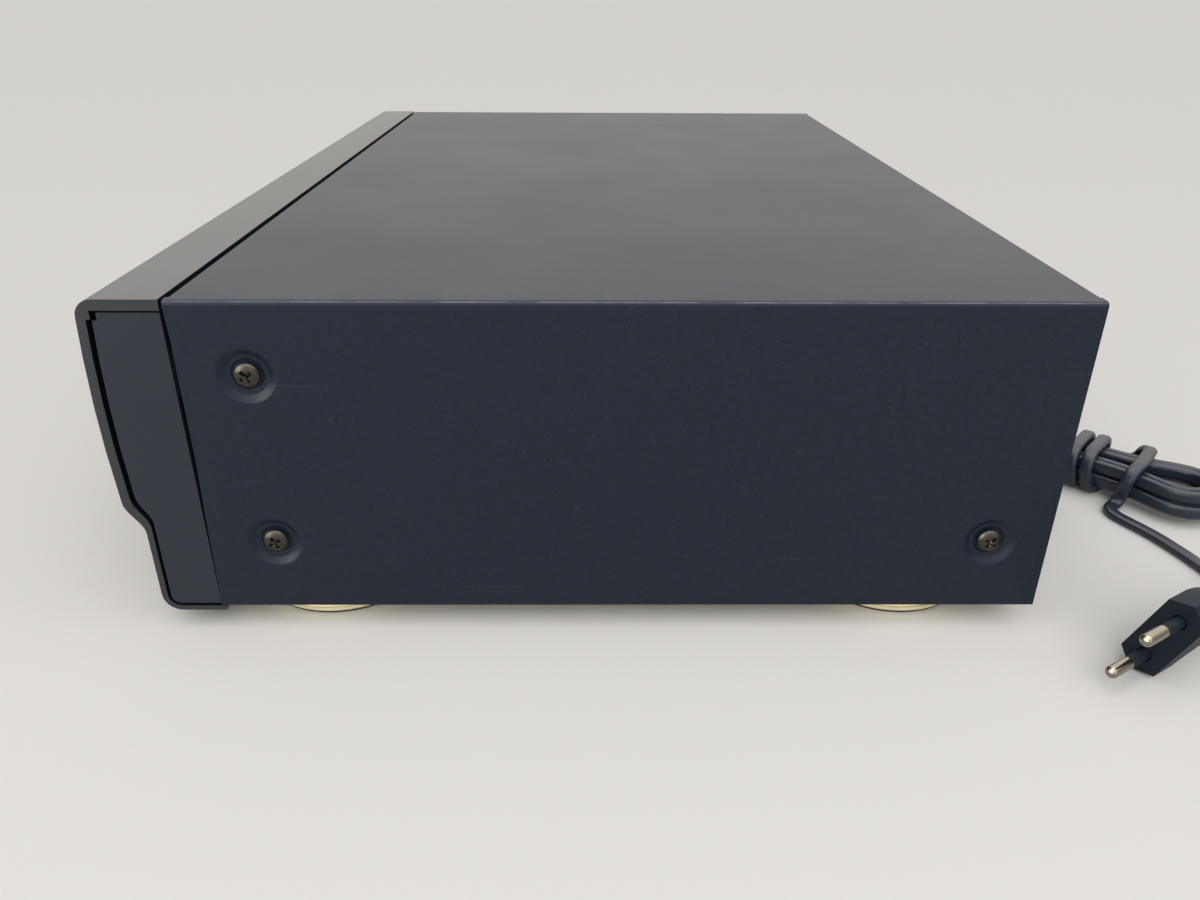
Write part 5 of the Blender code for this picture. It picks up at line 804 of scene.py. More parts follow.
class Repeat:
    """A Geometry Nodes tree that repeats a shape, ending in Realize Instances and Set Material."""

    def __init__(self, name: str, inputs: dict[str, Socket]) -> None:
        """Start the tree.

        Args:
            name: The tree's name.
            inputs: The named inputs beside the geometry and the finish.
        """
        self.tree = bpy.data.node_groups.new(name, "GeometryNodeTree")
        self.kit = NodeKit(self.tree)
        self.ids: dict[str, str] = {}
        for label, kind in {"Geometry": Socket.SHAPE, **inputs, "Finish": Socket.FINISH}.items():
            socket = self.tree.interface.new_socket(name=label, in_out="INPUT", socket_type=kind.value)
            self.ids[label] = socket.identifier
        self.tree.interface.new_socket(name="Geometry", in_out="OUTPUT",
                                       socket_type=Socket.SHAPE.value)
        self.source = self.kit.add("NodeGroupInput")
        self.result = self.kit.add("NodeGroupOutput")

    def shape(self) -> bpy.types.NodeSocket:
        """Read the object that is repeated.

        Returns:
            The socket of its geometry, as one instance.
        """
        info = self.kit.add("GeometryNodeObjectInfo", {"Object": self.source.outputs["Shape"],
                                                       "As Instance": True},
                            transform_space="ORIGINAL")
        return info.outputs["Geometry"]

    def finish(self, instances: bpy.types.NodeSocket) -> "Repeat":
        """Realise the instances, set their material and end the tree.

        Args:
            instances: The socket of the copies.

        Returns:
            The repeat itself.
        """
        real = self.kit.add("GeometryNodeRealizeInstances", {"Geometry": instances})
        dressed = self.kit.add("GeometryNodeSetMaterial", {
            "Geometry": real.outputs[0], "Material": self.source.outputs["Finish"]})
        self.tree.links.new(dressed.outputs[0], self.result.inputs[0])
        return self

    def build(self, name: str, finish: Finish, values: dict[str, object],
              base: bpy.types.Mesh | None = None) -> bpy.types.Object:
        """Run the tree once and keep its result as a plain piece.

        Args:
            name: The piece's name.
            finish: The finish of all copies.
            values: Values of the named inputs.
            base: The mesh that the tree starts from, where it needs one.

        Returns:
            The new piece.
        """
        piece = put_in_scene(name, base or bpy.data.meshes.new(name))
        modifier = piece.modifiers.new("repeat", "NODES")
        modifier.node_group = self.tree
        modifier[self.ids["Finish"]] = finish.material()
        for label, value in values.items():
            modifier[self.ids[label]] = value
        settle(piece)
        piece.data.polygons.foreach_set("use_smooth", [True] * len(piece.data.polygons))
        piece.data.set_sharp_from_angle(angle=math.radians(SMOOTH_ANGLE))
        return piece


def make_points_repeat() -> Repeat:
    """Build the tree that sets one turned copy of an object on every point of a mesh.

    Returns:
        The repeat, whose mesh carries the turns in the attribute "turn".
    """
    repeat = Repeat("copies_on_points", {"Shape": Socket.OBJECT, "Size": Socket.LENGTH})
    kit, source = repeat.kit, repeat.source
    turn = kit.add("GeometryNodeInputNamedAttribute", {"Name": "turn"}, data_type="FLOAT_VECTOR")
    copies = kit.add("GeometryNodeInstanceOnPoints", {
        "Points": source.outputs["Geometry"], "Instance": repeat.shape(),
        "Rotation": turn.outputs["Attribute"], "Scale": source.outputs["Size"]})
    return repeat.finish(copies.outputs[0])


def make_ring_repeat() -> Repeat:
    """Build the tree that sets copies of an object round a circle, each facing outwards.

    Returns:
        The repeat.
    """
    repeat = Repeat("copies_round_a_circle", {
        "Shape": Socket.OBJECT, "Count": Socket.COUNT, "Radius": Socket.LENGTH,
        "Centre": Socket.PLACE, "Turn": Socket.PLACE})
    kit, source = repeat.kit, repeat.source
    circle = kit.add("GeometryNodeMeshCircle", {"Vertices": source.outputs["Count"],
                                                "Radius": source.outputs["Radius"]})
    place = kit.add("GeometryNodeInputPosition")
    facing = kit.add("FunctionNodeAlignEulerToVector", {"Vector": place.outputs[0]}, axis="X")
    copies = kit.add("GeometryNodeInstanceOnPoints", {
        "Points": circle.outputs[0], "Instance": repeat.shape(), "Rotation": facing.outputs[0]})
    moved = kit.add("GeometryNodeTransform", {
        "Geometry": copies.outputs[0], "Translation": source.outputs["Centre"],
        "Rotation": source.outputs["Turn"]})
    return repeat.finish(moved.outputs[0])


def make_row_repeat() -> Repeat:
    """Build the tree that sets copies of an object in an even row, each a little smaller.

    Returns:
        The repeat.
    """
    repeat = Repeat("copies_in_a_row", {
        "Shape": Socket.OBJECT, "Count": Socket.COUNT, "Start": Socket.PLACE, "Step": Socket.PLACE,
        "Taper": Socket.LENGTH})
    kit, source = repeat.kit, repeat.source
    line = kit.add("GeometryNodeMeshLine", {"Count": source.outputs["Count"],
                                            "Start Location": source.outputs["Start"],
                                            "Offset": source.outputs["Step"]})
    index = kit.add("GeometryNodeInputIndex")
    shrunk = kit.math("MULTIPLY", index.outputs[0], source.outputs["Taper"])
    copies = kit.add("GeometryNodeInstanceOnPoints", {
        "Points": line.outputs[0], "Instance": repeat.shape(),
        "Scale": kit.math("SUBTRACT", 1.0, shrunk)})
    return repeat.finish(copies.outputs[0])


ON_POINTS = make_points_repeat()
ON_RING = make_ring_repeat()
IN_ROW = make_row_repeat()


def turned_points(name: str, places: Sequence[tuple[Point, Point]]) -> bpy.types.Mesh:
    """Make the points for a repeat, each with its turn.

    Args:
        name: Name of the point mesh.
        places: Place and Euler turn of each copy.

    Returns:
        A mesh of loose points with the attribute "turn".
    """
    mesh = bpy.data.meshes.new(name)
    mesh.from_pydata([place for place, _ in places], [], [])
    turns = mesh.attributes.new("turn", "FLOAT_VECTOR", "POINT")
    turns.data.foreach_set("vector", [v for _, turn in places for v in turn])
    return mesh


def middle_of(node: str) -> Vector:
    """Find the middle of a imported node's box, at rest."""
    low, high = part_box(node)
    return (low + high) / 2


def quarter_arc(steps: int = 6) -> list[tuple[float, float]]:
    """Cosine and sine at even steps over a right angle."""
    angles = [math.radians(90 * i / steps) for i in range(steps + 1)]
    return [(math.cos(angle), math.sin(angle)) for angle in angles]


# The mains cord's route

CURVE_STEPS = 20


def ease(share: float) -> float:
    """Step smoothly from 0 to 1."""
    share = min(1.0, max(0.0, share))
    return share * share * (3 - 2 * share)


def travelled(points: np.ndarray) -> np.ndarray:
    """Measure the distance along a row of points at each of them."""
    return np.concatenate(([0.0], np.cumsum(np.linalg.norm(np.diff(points, axis=0), axis=1))))


def tangents(points: np.ndarray) -> np.ndarray:
    """Find the unit tangents of a row of points, each from neighbour to neighbour.

    Args:
        points: The points, in order.

    Returns:
        One direction for each point.
    """
    steps = np.diff(points, axis=0)
    ways = np.vstack((steps[:1], steps[:-1] + steps[1:], steps[-1:]))
    return ways / np.linalg.norm(ways, axis=1)[:, None]


def smooth_route(points: Sequence[Sequence[float]], step: float) -> np.ndarray:
    """Set points at even steps on a smooth curve through the route's own points.

    Args:
        points: The route's points.
        step: Wanted distance between neighbours.

    Returns:
        The points of the curve.
    """
    nodes = np.array(points, float)
    padded = np.vstack((2 * nodes[0] - nodes[1], nodes, 2 * nodes[-1] - nodes[-2]))
    fine = []
    for i in range(1, len(padded) - 2):
        a, b, c, d = padded[i - 1:i + 3]
        for t in np.linspace(0, 1, CURVE_STEPS, endpoint=False):
            fine.append(0.5 * (2 * b + (c - a) * t + (2 * a - 5 * b + 4 * c - d) * t**2
                               + (3 * b - a - 3 * c + d) * t**3))
    fine = np.array(fine + [nodes[-1]])
    along = travelled(fine)
    places = np.linspace(0, along[-1], max(2, round(along[-1] / step)) + 1)
    return np.stack([np.interp(places, along, fine[:, k]) for k in range(3)], axis=1)


@dataclass(frozen=True)
class CordRoute:
    """Route of the flat cord: lead, tied hank and tail, with the way that its width lies.

    The hank has its own axes: along its runs, across to its far side, and up. Other places
    are X, distance behind the cover's rear edge, and height.
    """

    rear: float = 0.149925
    width: float = 0.0054
    thick: float = 0.0033
    step: float = 0.003
    place: tuple[float, float] = (0.110, 0.067)
    turn: float = math.radians(46.3)
    half_run: float = 0.038
    lane: float = 0.0039
    layer: float = 0.006
    waist: float = 0.0011
    fold: float = 0.0062
    loops: int = 5
    loop_points: int = 72
    run_share: float = 0.125
    climb_share: float = 0.2
    swing_start: float = 4.56
    swing_lanes: float = 1.375
    flip_start: int = 2
    floor_gap: float = 0.0002
    tie_gap: float = 0.001
    tie_bend: float = 0.0070
    tie_steps: int = 10
    tie_slant: float = 0.6
    tie_exit_bend: float = 0.0036
    tie_exit_along: float = 0.0188
    tie_exit_run: float = 0.0006
    least_gap: float = 0.0002
    tie_along: tuple[float, ...] = (-0.0041, -0.0034, -0.0017, 0.0005, 0.0024, 0.0034, 0.0046,
                                    0.0080, 0.0150, 0.0235, 0.0200)
    way_out: tuple[Point, ...] = (
        (-0.0300, 3.80, 0.0124), (-0.0220, 3.80, 0.0098), (-0.0150, 3.72, 0.0066),
        (-0.0095, 3.60, 0.0052), (-0.0056, 3.60, 0.0067), (-0.0041, 3.60, 0.0102))
    lead: tuple[Point, ...] = (
        (0.1485, 0.0235, 0.0350), (0.1480, 0.0322, 0.0328), (0.1430, 0.0375, 0.0250),
        (0.1330, 0.0382, 0.0155), (0.1200, 0.0350, 0.0078), (0.1050, 0.0298, 0.0040),
        (0.0890, 0.0245, 0.0031), (0.0740, 0.0225, 0.0031), (0.0625, 0.0268, 0.0034),
        (0.0588, 0.0350, 0.0044), (0.0632, 0.0430, 0.0058))
    tail: tuple[Point, ...] = (
        (0.1392, 0.0658, 0.0019), (0.1438, 0.0662, 0.0019), (0.1487, 0.0684, 0.0019),
        (0.1548, 0.0714, 0.0019), (0.1615, 0.0742, 0.0019), (0.1739, 0.0779, 0.0019),
        (0.1858, 0.0803, 0.0022), (0.1968, 0.0808, 0.0042), (0.2063, 0.0785, 0.0085),
        (0.2135, 0.0728, 0.0135))
    lead_turns: tuple[float, float] = (0.15, 0.45)
    tail_turns: tuple[float, float] = (0.6, 0.97)

    def behind(self, place: Sequence[float]) -> np.ndarray:
        """Turn X, distance behind the cover and height into a place."""
        return np.array((place[0], self.rear + place[1], place[2]))

    def run_way(self) -> np.ndarray:
        """Direction of the hank's runs."""
        return np.array((math.cos(self.turn), math.sin(self.turn), 0.0))

    def far_way(self) -> np.ndarray:
        """Direction to the hank's far side."""
        return np.array((-math.sin(self.turn), math.cos(self.turn), 0.0))

    def in_hank(self, along: float, across: float, up: float) -> np.ndarray:
        """Turn the hank's own coordinates into a place."""
        return self.behind((*self.place, up)) + self.run_way() * along + self.far_way() * across

    def spread(self, along: float) -> float:
        """Measure how far lane 0 stands off the hank's middle line; least at the tie."""
        return self.waist + (self.fold - self.waist) * ease((along / self.half_run) ** 2)

    def under(self) -> float:
        """Height of the hank's lower side."""
        return self.floor_gap + self.thick + self.tie_gap

    def loop_point(self, turn: float) -> np.ndarray:
        """Find the cord's place in the hank.

        Args:
            turn: Loops since the start, in by lanes, up a layer, and out again.

        Returns:
            The place.
        """
        half = self.loops / 2
        swing = self.swing_lanes * ease(
            (turn - self.swing_start) / (self.loops - self.run_share - self.swing_start))
        lane = (abs(half - turn) + swing) * self.lane
        up = self.under() + self.width / 2 + self.layer * ease((turn - half) / self.climb_share + 0.5)
        fraction = (turn + self.run_share) % 1
        side = 1 if fraction < 0.5 else -1
        part = fraction % 0.5
        if part < 2 * self.run_share:
            along = self.half_run * (part / self.run_share - 1)
            return self.in_hank(side * along, side * (lane + self.spread(along)), up)
        angle = math.pi * (part - 2 * self.run_share) / (0.5 - 2 * self.run_share)
        radius = lane + self.fold
        along = self.half_run + radius * math.sin(angle)
        return self.in_hank(side * along, side * radius * math.cos(angle), up)

    def tie(self) -> list[np.ndarray]:
        """Lead the cord round the bundle, quarter turn by quarter turn, and away from it.

        Returns:
            The points.
        """
        low = self.thick / 2 + self.floor_gap
        high = self.under() + self.layer + self.width + self.tie_gap + self.thick / 2
        clear = self.thick + self.tie_gap
        bend = self.tie_bend
        points = []
        for quarter, (start, end) in enumerate(zip(self.tie_along, self.tie_along[1:])):
            far_side = quarter % 4 in (0, 3)
            above = quarter % 4 in (0, 1)
            lanes = self.loops / 2 if far_side else (self.loops - 1) / 2
            out = lanes * self.lane + self.spread(max(start, end)) + clear - bend
            across, level = (out if far_side else -out), (high - bend if above else low + bend)
            for step in range(self.tie_steps + 1):
                share = step / self.tie_steps
                angle = math.radians(90) * (quarter % 4 + share)
                along = (start + end) / 2 + (end - start) * (share - 0.5) * self.tie_slant
                points.append(self.in_hank(along, across + bend * math.cos(angle),
                                           level + bend * math.sin(angle)))
        bend = self.tie_exit_bend
        last = self.tie_along[-1]
        out = -((self.loops - 1) / 2 * self.lane + self.spread(last) + clear)
        for step in range(self.tie_steps + 1):
            share = step / self.tie_steps
            angle = math.radians(90) * share
            along = last + (self.tie_exit_along - last) * share
            points.append(self.in_hank(along, out - bend * (1 - math.cos(angle)),
                                       low + bend * (1 - math.sin(angle))))
        points.append(points[-1] - self.far_way() * self.tie_exit_run)
        return points

    def hank(self) -> tuple[np.ndarray, np.ndarray]:
        """Lead the cord through its loops, out of them and round the bundle.

        Returns:
            The points, and the direction of the width at each.
        """
        up, run = np.array(UP), self.run_way()
        count = self.loops * self.loop_points
        points = [self.loop_point(i / self.loop_points - self.run_share) for i in range(count + 1)]
        wides = [up] * len(points)
        for i, (along, lane, level) in enumerate(self.way_out):
            points.append(self.in_hank(along, lane * self.lane + self.spread(along), level))
            share = ease((i - self.flip_start) / (len(self.way_out) - 1 - self.flip_start))
            wides.append(up * (1 - share) - run * share)
        ties = self.tie()
        return np.array(points + ties), np.array(wides + [-run] * len(ties))

    @staticmethod
    def flat_wides(points: np.ndarray) -> np.ndarray:
        """Lay the width level and square to the cord."""
        wides = np.cross(tangents(points), np.array(UP))
        return wides / np.linalg.norm(wides, axis=1)[:, None]

    @staticmethod
    def turned(wides: np.ndarray, towards: np.ndarray, shares: tuple[float, float]) -> np.ndarray:
        """Turn the width towards another direction between two shares of the length.

        Args:
            wides: Directions of the width.
            towards: The direction that they turn to.
            shares: Where the turn starts and ends.

        Returns:
            The turned directions.
        """
        eased = np.array([ease((i / (len(wides) - 1) - shares[0]) / (shares[1] - shares[0]))
                          for i in range(len(wides))])[:, None]
        return wides * (1 - eased) + towards * eased

    def whole(self, end: Vector, end_wide: Vector) -> tuple[np.ndarray, np.ndarray]:
        """Join lead, hank and tail, and smooth the whole between its points.

        Args:
            end: Where the cord enters the plug.
            end_wide: Direction of its width there.

        Returns:
            Closely spaced points, and the direction of the width at each.
        """
        loops, loop_wides = self.hank()
        lead = smooth_route([self.behind(p) for p in self.lead] + [loops[0]], self.step)
        lead_wides = self.turned(self.flat_wides(lead), np.array(UP), self.lead_turns)
        tail = smooth_route([loops[-1]] + [self.behind(p) for p in self.tail] + [np.array(end)],
                            self.step)
        tail_wides = self.turned(self.flat_wides(tail), -np.array(end_wide), self.tail_turns)
        points = np.vstack((lead[:-1], loops, tail[1:]))
        wides = np.vstack((lead_wides[:-1], loop_wides, tail_wides[1:]))
        apart = np.linalg.norm(np.diff(points, axis=0), axis=1) > self.least_gap
        keep = np.concatenate(([True], apart))
        return self.refined(points[keep], wides[keep])

    def refined(self, points: np.ndarray, wides: np.ndarray) -> tuple[np.ndarray, np.ndarray]:
        """Fill the gaps between points with a smooth curve.

        Args:
            points: The points.
            wides: Direction of the width at each.

        Returns:
            More points, and the direction of the width at each, of one sense throughout.
        """
        ways = tangents(points)
        gaps = np.linalg.norm(np.diff(points, axis=0), axis=1)
        fine, lying = [], []
        for i, gap in enumerate(gaps):
            steps = max(1, math.ceil(gap / self.step))
            for t in np.arange(steps) / steps:
                fine.append((2 * t**3 - 3 * t**2 + 1) * points[i] + (3 * t**2 - 2 * t**3) * points[i + 1]
                            + gap * ((t**3 - 2 * t**2 + t) * ways[i] + (t**3 - t**2) * ways[i + 1]))
                wide = wides[i] * (1 - t) + wides[i + 1] * t * np.sign(wides[i] @ wides[i + 1])
                lying.append(wide if not lying or wide @ lying[-1] > 0 else -wide)
        last = wides[-1] if wides[-1] @ lying[-1] > 0 else -wides[-1]
        return np.array(fine + [points[-1]]), np.array(lying + [last])


# The player's own pieces

@dataclass
class Studio:
    """Camera at the photographed view, pale floor, plain soft light.

    The focal share is the focal length over the picture's width. The ranges of wall, ceiling
    and window belong to the direction that gloss mirrors: its X, its Z, or its cosine to the
    way of the window.
    """

    eye: Point = (0.47375, 0.000675, 0.19743)
    yaw: float = math.radians(0.540)
    pitch: float = math.radians(26.646)
    roll: float = math.radians(0.296)
    focal_share: float = 935.55 / 1200
    sensor: float = 36.0
    near_clip: float = 0.01
    floor_half: float = 20.0
    floor_colour: str = "e0dcd3"
    floor_roughness: float = 0.6
    room_colour: str = "f4f4f6"
    ambient: float = 0.36
    wall_colour: str = "e6e4df"
    gloss_colour: str = "f6f1ea"
    wall_reach: tuple[float, float] = (0.15, -0.35)
    wall_rise: tuple[float, float] = (0.02, 0.34)
    bright_side: float = 1.95
    dark_side: float = 0.46
    ceiling: float = 3.6
    ceiling_rise: tuple[float, float] = (0.55, 0.9)
    window: float = 8.0
    window_way: Point = (0.483, -0.818, 0.311)
    window_edge: tuple[float, float] = (0.84, 0.96)
    sun_way: Point = (0.9, 0.1, 1.0)
    sun_colour: str = "f4f6ff"
    sun_strength: float = 2.55
    sun_spread: float = math.radians(115)
    fill_place: Point = (0.95, 0.02, 0.62)
    fill_aim: Point = (0.20, 0.02, 0.0)
    fill_size: float = 0.6
    fill_power: float = 2.6

    def camera(self) -> None:
        """Set up the camera and make it the scene's."""
        ahead = Vector((-math.cos(self.yaw) * math.cos(self.pitch),
                        math.sin(self.yaw) * math.cos(self.pitch), -math.sin(self.pitch)))
        level = ahead.cross(UP).normalized()
        rise = level.cross(ahead)
        right = level * math.cos(self.roll) + rise * math.sin(self.roll)
        up = rise * math.cos(self.roll) - level * math.sin(self.roll)
        lens = bpy.data.cameras.new("camera")
        lens.sensor_width = self.sensor
        lens.lens = self.focal_share * self.sensor
        lens.clip_start = self.near_clip
        camera = bpy.data.objects.new("camera", lens)
        bpy.context.scene.collection.objects.link(camera)
        turn = Matrix((right, up, -ahead)).transposed().to_4x4()
        camera.matrix_world = Matrix.Translation(self.eye) @ turn
        bpy.context.scene.camera = camera

    def gloss(self, kit: NodeKit) -> bpy.types.NodeSocket:
        """Work out how bright the room looks in gloss: the far wall, the ceiling and a window.


        Returns:
            The brightness's socket.
        """
        place = kit.add("ShaderNodeTexCoord").outputs["Generated"]
        way = kit.add("ShaderNodeSeparateXYZ", {0: place})
        far = kit.ranged(way.outputs["X"], *self.wall_reach)
        high = kit.ranged(way.outputs["Z"], *self.wall_rise)
        wall = kit.ranged(kit.math("MULTIPLY", far, high), 0.0, 1.0, self.dark_side,
                          self.bright_side)
        facing = kit.add("ShaderNodeVectorMath", {0: place, 1: self.window_way},
                         operation="DOT_PRODUCT").outputs["Value"]
        window = kit.ranged(facing, *self.window_edge, 0.0, self.window)
        ceiling = kit.ranged(way.outputs["Z"], *self.ceiling_rise, 0.0, self.ceiling)
        return kit.math("MAXIMUM", kit.math("MAXIMUM", wall, ceiling), window)

    def world(self) -> None:
        """Light the scene evenly, and show the camera a plain wall and gloss a room."""
        world = bpy.data.worlds.new("pale_room")
        bpy.context.scene.world = world
        world.use_nodes = True
        kit = NodeKit(world.node_tree)
        kit.tree.nodes.clear()
        path = kit.add("ShaderNodeLightPath")
        seen = kit.math("MAXIMUM", path.outputs["Is Camera Ray"], path.outputs["Is Transmission Ray"])
        soft, wall, shine = (
            kit.add("ShaderNodeBackground", {"Color": linear(colour), "Strength": strength}).outputs[0]
            for colour, strength in ((self.room_colour, self.ambient), (self.wall_colour, 1.0),
                                     (self.gloss_colour, self.gloss(kit))))
        lit = kit.add("ShaderNodeMixShader", {0: path.outputs["Is Glossy Ray"], 1: soft, 2: shine})
        both = kit.add("ShaderNodeMixShader", {0: seen, 1: lit.outputs[0], 2: wall})
        kit.add("ShaderNodeOutputWorld", {"Surface": both.outputs[0]})

    def lamp(self, light: bpy.types.Light, place: Point, way: Vector) -> bpy.types.Object:
        """Hang a light.

        Args:
            light: The light.
            place: Where it hangs.
            way: Where it shines to.

        Returns:
            The lamp's object.
        """
        lamp = bpy.data.objects.new(light.name, light)
        bpy.context.scene.collection.objects.link(lamp)
        turn = way.to_track_quat("-Z", "Y").to_matrix().to_4x4()
        lamp.matrix_world = Matrix.Translation(place) @ turn
        return lamp

    def daylight(self) -> None:
        """Add broad soft daylight from above the camera's side."""
        light = bpy.data.lights.new("daylight", "SUN")
        light.energy = self.sun_strength
        light.angle = self.sun_spread
        light.color = linear(self.sun_colour)[:3]
        self.lamp(light, (0.0, 0.0, 0.0), -Vector(self.sun_way))

    def fill(self) -> None:
        """Lift the floor before the camera's side with a soft lamp that gloss doesn't show."""
        light = bpy.data.lights.new("floor_fill", "AREA")
        light.shape = "SQUARE"
        light.size = self.fill_size
        light.energy = self.fill_power
        lamp = self.lamp(light, self.fill_place, Vector(self.fill_aim) - Vector(self.fill_place))
        lamp.visible_glossy = False
        lamp.visible_camera = False

    def floor(self) -> None:
        """Lay the pale floor."""
        work = bmesh.new()
        reach = self.floor_half
        work.faces.new([work.verts.new(v) for v in (
            (-reach, -reach, 0), (reach, -reach, 0), (reach, reach, 0), (-reach, reach, 0))])
        floor = from_bmesh("floor", work)
        material = bpy.data.materials.new("floor_pale")
        material.use_nodes = True
        shader = material.node_tree.nodes["Principled BSDF"]
        shader.inputs["Base Color"].default_value = linear(self.floor_colour)
        shader.inputs["Roughness"].default_value = self.floor_roughness
        shader.inputs["Specular IOR Level"].default_value = 0.0
        floor.data.materials.append(material)

    def build(self) -> None:
        """Build the studio."""
        self.camera()
        self.world()
        self.floor()
        self.daylight()
        self.fill()
        bpy.context.scene.view_settings.view_transform = "Standard"


@dataclass
class StrainRelief:
    """Ribbed boot that holds the cord in the rear panel."""

    boot: Profile = ((0, 0.026), (0.0031, 0.026), (0.0036, 0.0256), (0.0050, 0.0024),
                     (0.0056, 0.0021), (0.0078, 0.0019), (0.008, 0.0016), (0.008, 0.0002),
                     (0.0078, 0), (0.0052, 0), (0.0052, -0.0016), (0.008, -0.0016),
                     (0.008, -0.0036), (0, -0.0036))
    rib: Profile = ((0.0030, -0.0010), (0.0054, -0.0009), (0.0058, -0.0004), (0.0058, 0.0004),
                    (0.0054, 0.0009), (0.0030, 0.0010))
    sides: int = 32
    boot_smooth: float = 35.0
    rib_smooth: float = 40.0
    rib_count: int = 6
    rib_start: float = 0.0055
    rib_step: float = 0.0034
    rib_taper: float = 0.055

    def build(self) -> None:
        """Turn the boot and set its ribs in a row of rings."""
        x, _, z = middle_of("strain_relief")
        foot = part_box("strain_relief")[1].y - self.boot[0][1]
        body = lathe("strain_relief_boot", self.boot, (x, foot, z), (0, 1, 0), self.sides,
                     self.boot_smooth)
        keep_finish(body, Finishes.RUBBER)
        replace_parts(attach(body, "case"), "strain_relief")
        ring = lathe("rib", self.rib, (0, 0, 0), (0, 1, 0), self.sides, self.rib_smooth)
        ribs = IN_ROW.build("strain_relief_ribs", Finishes.RUBBER, {
            "Shape": ring, "Count": self.rib_count, "Start": (x, foot + self.rib_start, z),
            "Step": (0.0, self.rib_step, 0.0), "Taper": self.rib_taper})
        bpy.data.objects.remove(ring, do_unlink=True)
        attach(ribs, "case")


@dataclass
class MainsCord:
    """Flat two-core cord from its strain relief through the tied hank to the plug.

    The plug is placed by the middle of its face, its heading and its roll.
    """

    route: CordRoute = field(default_factory=CordRoute)
    exit: Point = (0.1485, 0.175225, 0.0350)
    groove: float = 0.00011
    groove_share: float = 0.3
    fullness: float = 0.82
    section_steps: int = 28
    girth: float = 0.015
    smooth: float = 40.0
    face: Point = (0.2422, 0.176925, 0.0161)
    heading: float = math.radians(-59)
    roll: float = math.radians(68.4)
    plug_length: float = 0.047
    plug_edge: float = 0.0020
    plug_edge_steps: int = 4
    plug_edge_angle: float = 18.0
    plug_overlap: float = 0.001
    pin_spacing: float = 0.0178
    pin_length: float = 0.0185
    pin_radius: float = 0.002
    pin_sides: int = 32
    dome_share: float = 0.8
    sleeve_share: float = 0.46
    sleeve_root: float = -0.002
    sleeve_end: float = 0.0002
    sleeve_radius_shares: tuple[float, float] = (0.97, 0.90)

    def section(self) -> list[tuple[float, float]]:
        """Draw the section: a full oval with a shallow groove on each flat side.

        Returns:
            Its corners along the width and the thickness.
        """
        half, radius = self.route.width / 2, self.route.thick / 2
        corners = []
        for i in range(self.section_steps):
            angle = 2 * math.pi * i / self.section_steps
            wide, high = math.cos(angle), math.sin(angle)
            dent = self.groove * max(0.0, 1 - abs(wide) / self.groove_share)
            corners.append((half * math.copysign(abs(wide) ** self.fullness, wide),
                            math.copysign(radius * abs(high) ** self.fullness - dent, high)))
        return corners

    def swept(self, points: np.ndarray, wides: np.ndarray) -> bpy.types.Object:
        """Sweep the section along a route, with a UV map in metres.

        Args:
            points: The route's points.
            wides: Direction of the width at each.

        Returns:
            The closed sweep.
        """
        work = bmesh.new()
        layer = work.loops.layers.uv.new("UVMap")
        rings, section = [], self.section()
        for point, way, wide in zip(points, tangents(points), wides):
            wide = wide - way * (wide @ way)
            wide /= np.linalg.norm(wide)
            thin = np.cross(way, wide)
            rings.append([work.verts.new(point + wide * a + thin * b) for a, b in section])
        count = len(section)
        run = travelled(points)
        for n, (one, two) in enumerate(zip(rings, rings[1:])):
            for i in range(count):
                k = (i + 1) % count
                face = work.faces.new((one[i], one[k], two[k], two[i]))
                for loop, (u, v) in zip(face.loops, (
                    (i, run[n]), (i + 1, run[n]), (i + 1, run[n + 1]), (i, run[n + 1]),
                )):
                    loop[layer].uv = (u / count * self.girth, v)
        work.faces.new(rings[0][::-1])
        work.faces.new(rings[-1])
        bmesh.ops.recalc_face_normals(work, faces=work.faces)
        return from_bmesh("mains_cord", work, self.smooth)

    def sheath(self) -> tuple[bpy.types.Object, np.ndarray]:
        """Lay the cord from the strain relief into the plug.

        Returns:
            The cord and the points of its middle line.
        """
        ahead, across, _ = self.axes()
        end = Vector(self.face) - ahead * (self.plug_length - self.plug_overlap)
        points, wides = self.route.whole(end, across)
        cord = keep_finish(self.swept(points, wides), Finishes.SHEATH)
        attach(cord, "case")
        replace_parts(cord, "cord_lead", "cord_hank", "cord_tail")
        return cord, points

    def axes(self) -> tuple[Vector, Vector, Vector]:
        """Find the plug's axes.

        Returns:
            Directions out of its face, along its width and through its thickness.
        """
        ahead = Vector((math.cos(self.heading), math.sin(self.heading), 0))
        side = Vector((-ahead.y, ahead.x, 0))
        wide = side * math.cos(self.roll) + UP * math.sin(self.roll)
        return ahead, wide, ahead.cross(wide)

    def pins(self) -> list[bpy.types.Object]:
        """Build the two pins, bright outside and sleeved at their roots.

        Returns:
            The pins and their sleeves.
        """
        ahead, wide, _ = self.axes()
        radius, length = self.pin_radius, self.pin_length
        sleeve, dome = length * self.sleeve_share, radius * self.dome_share
        bright = [(0, sleeve), (radius, sleeve)]
        bright += [(radius * out, length - dome + dome * up) for out, up in quarter_arc()]
        outer, inner = (radius * share for share in self.sleeve_radius_shares)
        dark = [(0, self.sleeve_root), (outer, self.sleeve_root), (outer, sleeve - self.sleeve_end),
                (inner, sleeve), (0, sleeve)]
        pieces = []
        for n, side in ((1, 1), (2, -1)):
            foot = Vector(self.face) + wide * (side * self.pin_spacing / 2)
            pin = lathe(f"plug_pin_metal_{n}", bright, foot, ahead, self.pin_sides,
                        self.smooth)
            keep_finish(pin, Finishes.NICKEL)
            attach(pin, "case")
            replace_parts(pin, self.pin_node(foot))
            cover = lathe(f"plug_pin_sleeve_{n}", dark, foot, ahead, self.pin_sides,
                          self.smooth)
            keep_finish(cover, Finishes.PLUG)
            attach(cover, "case")
            pieces += [pin, cover]
        return pieces

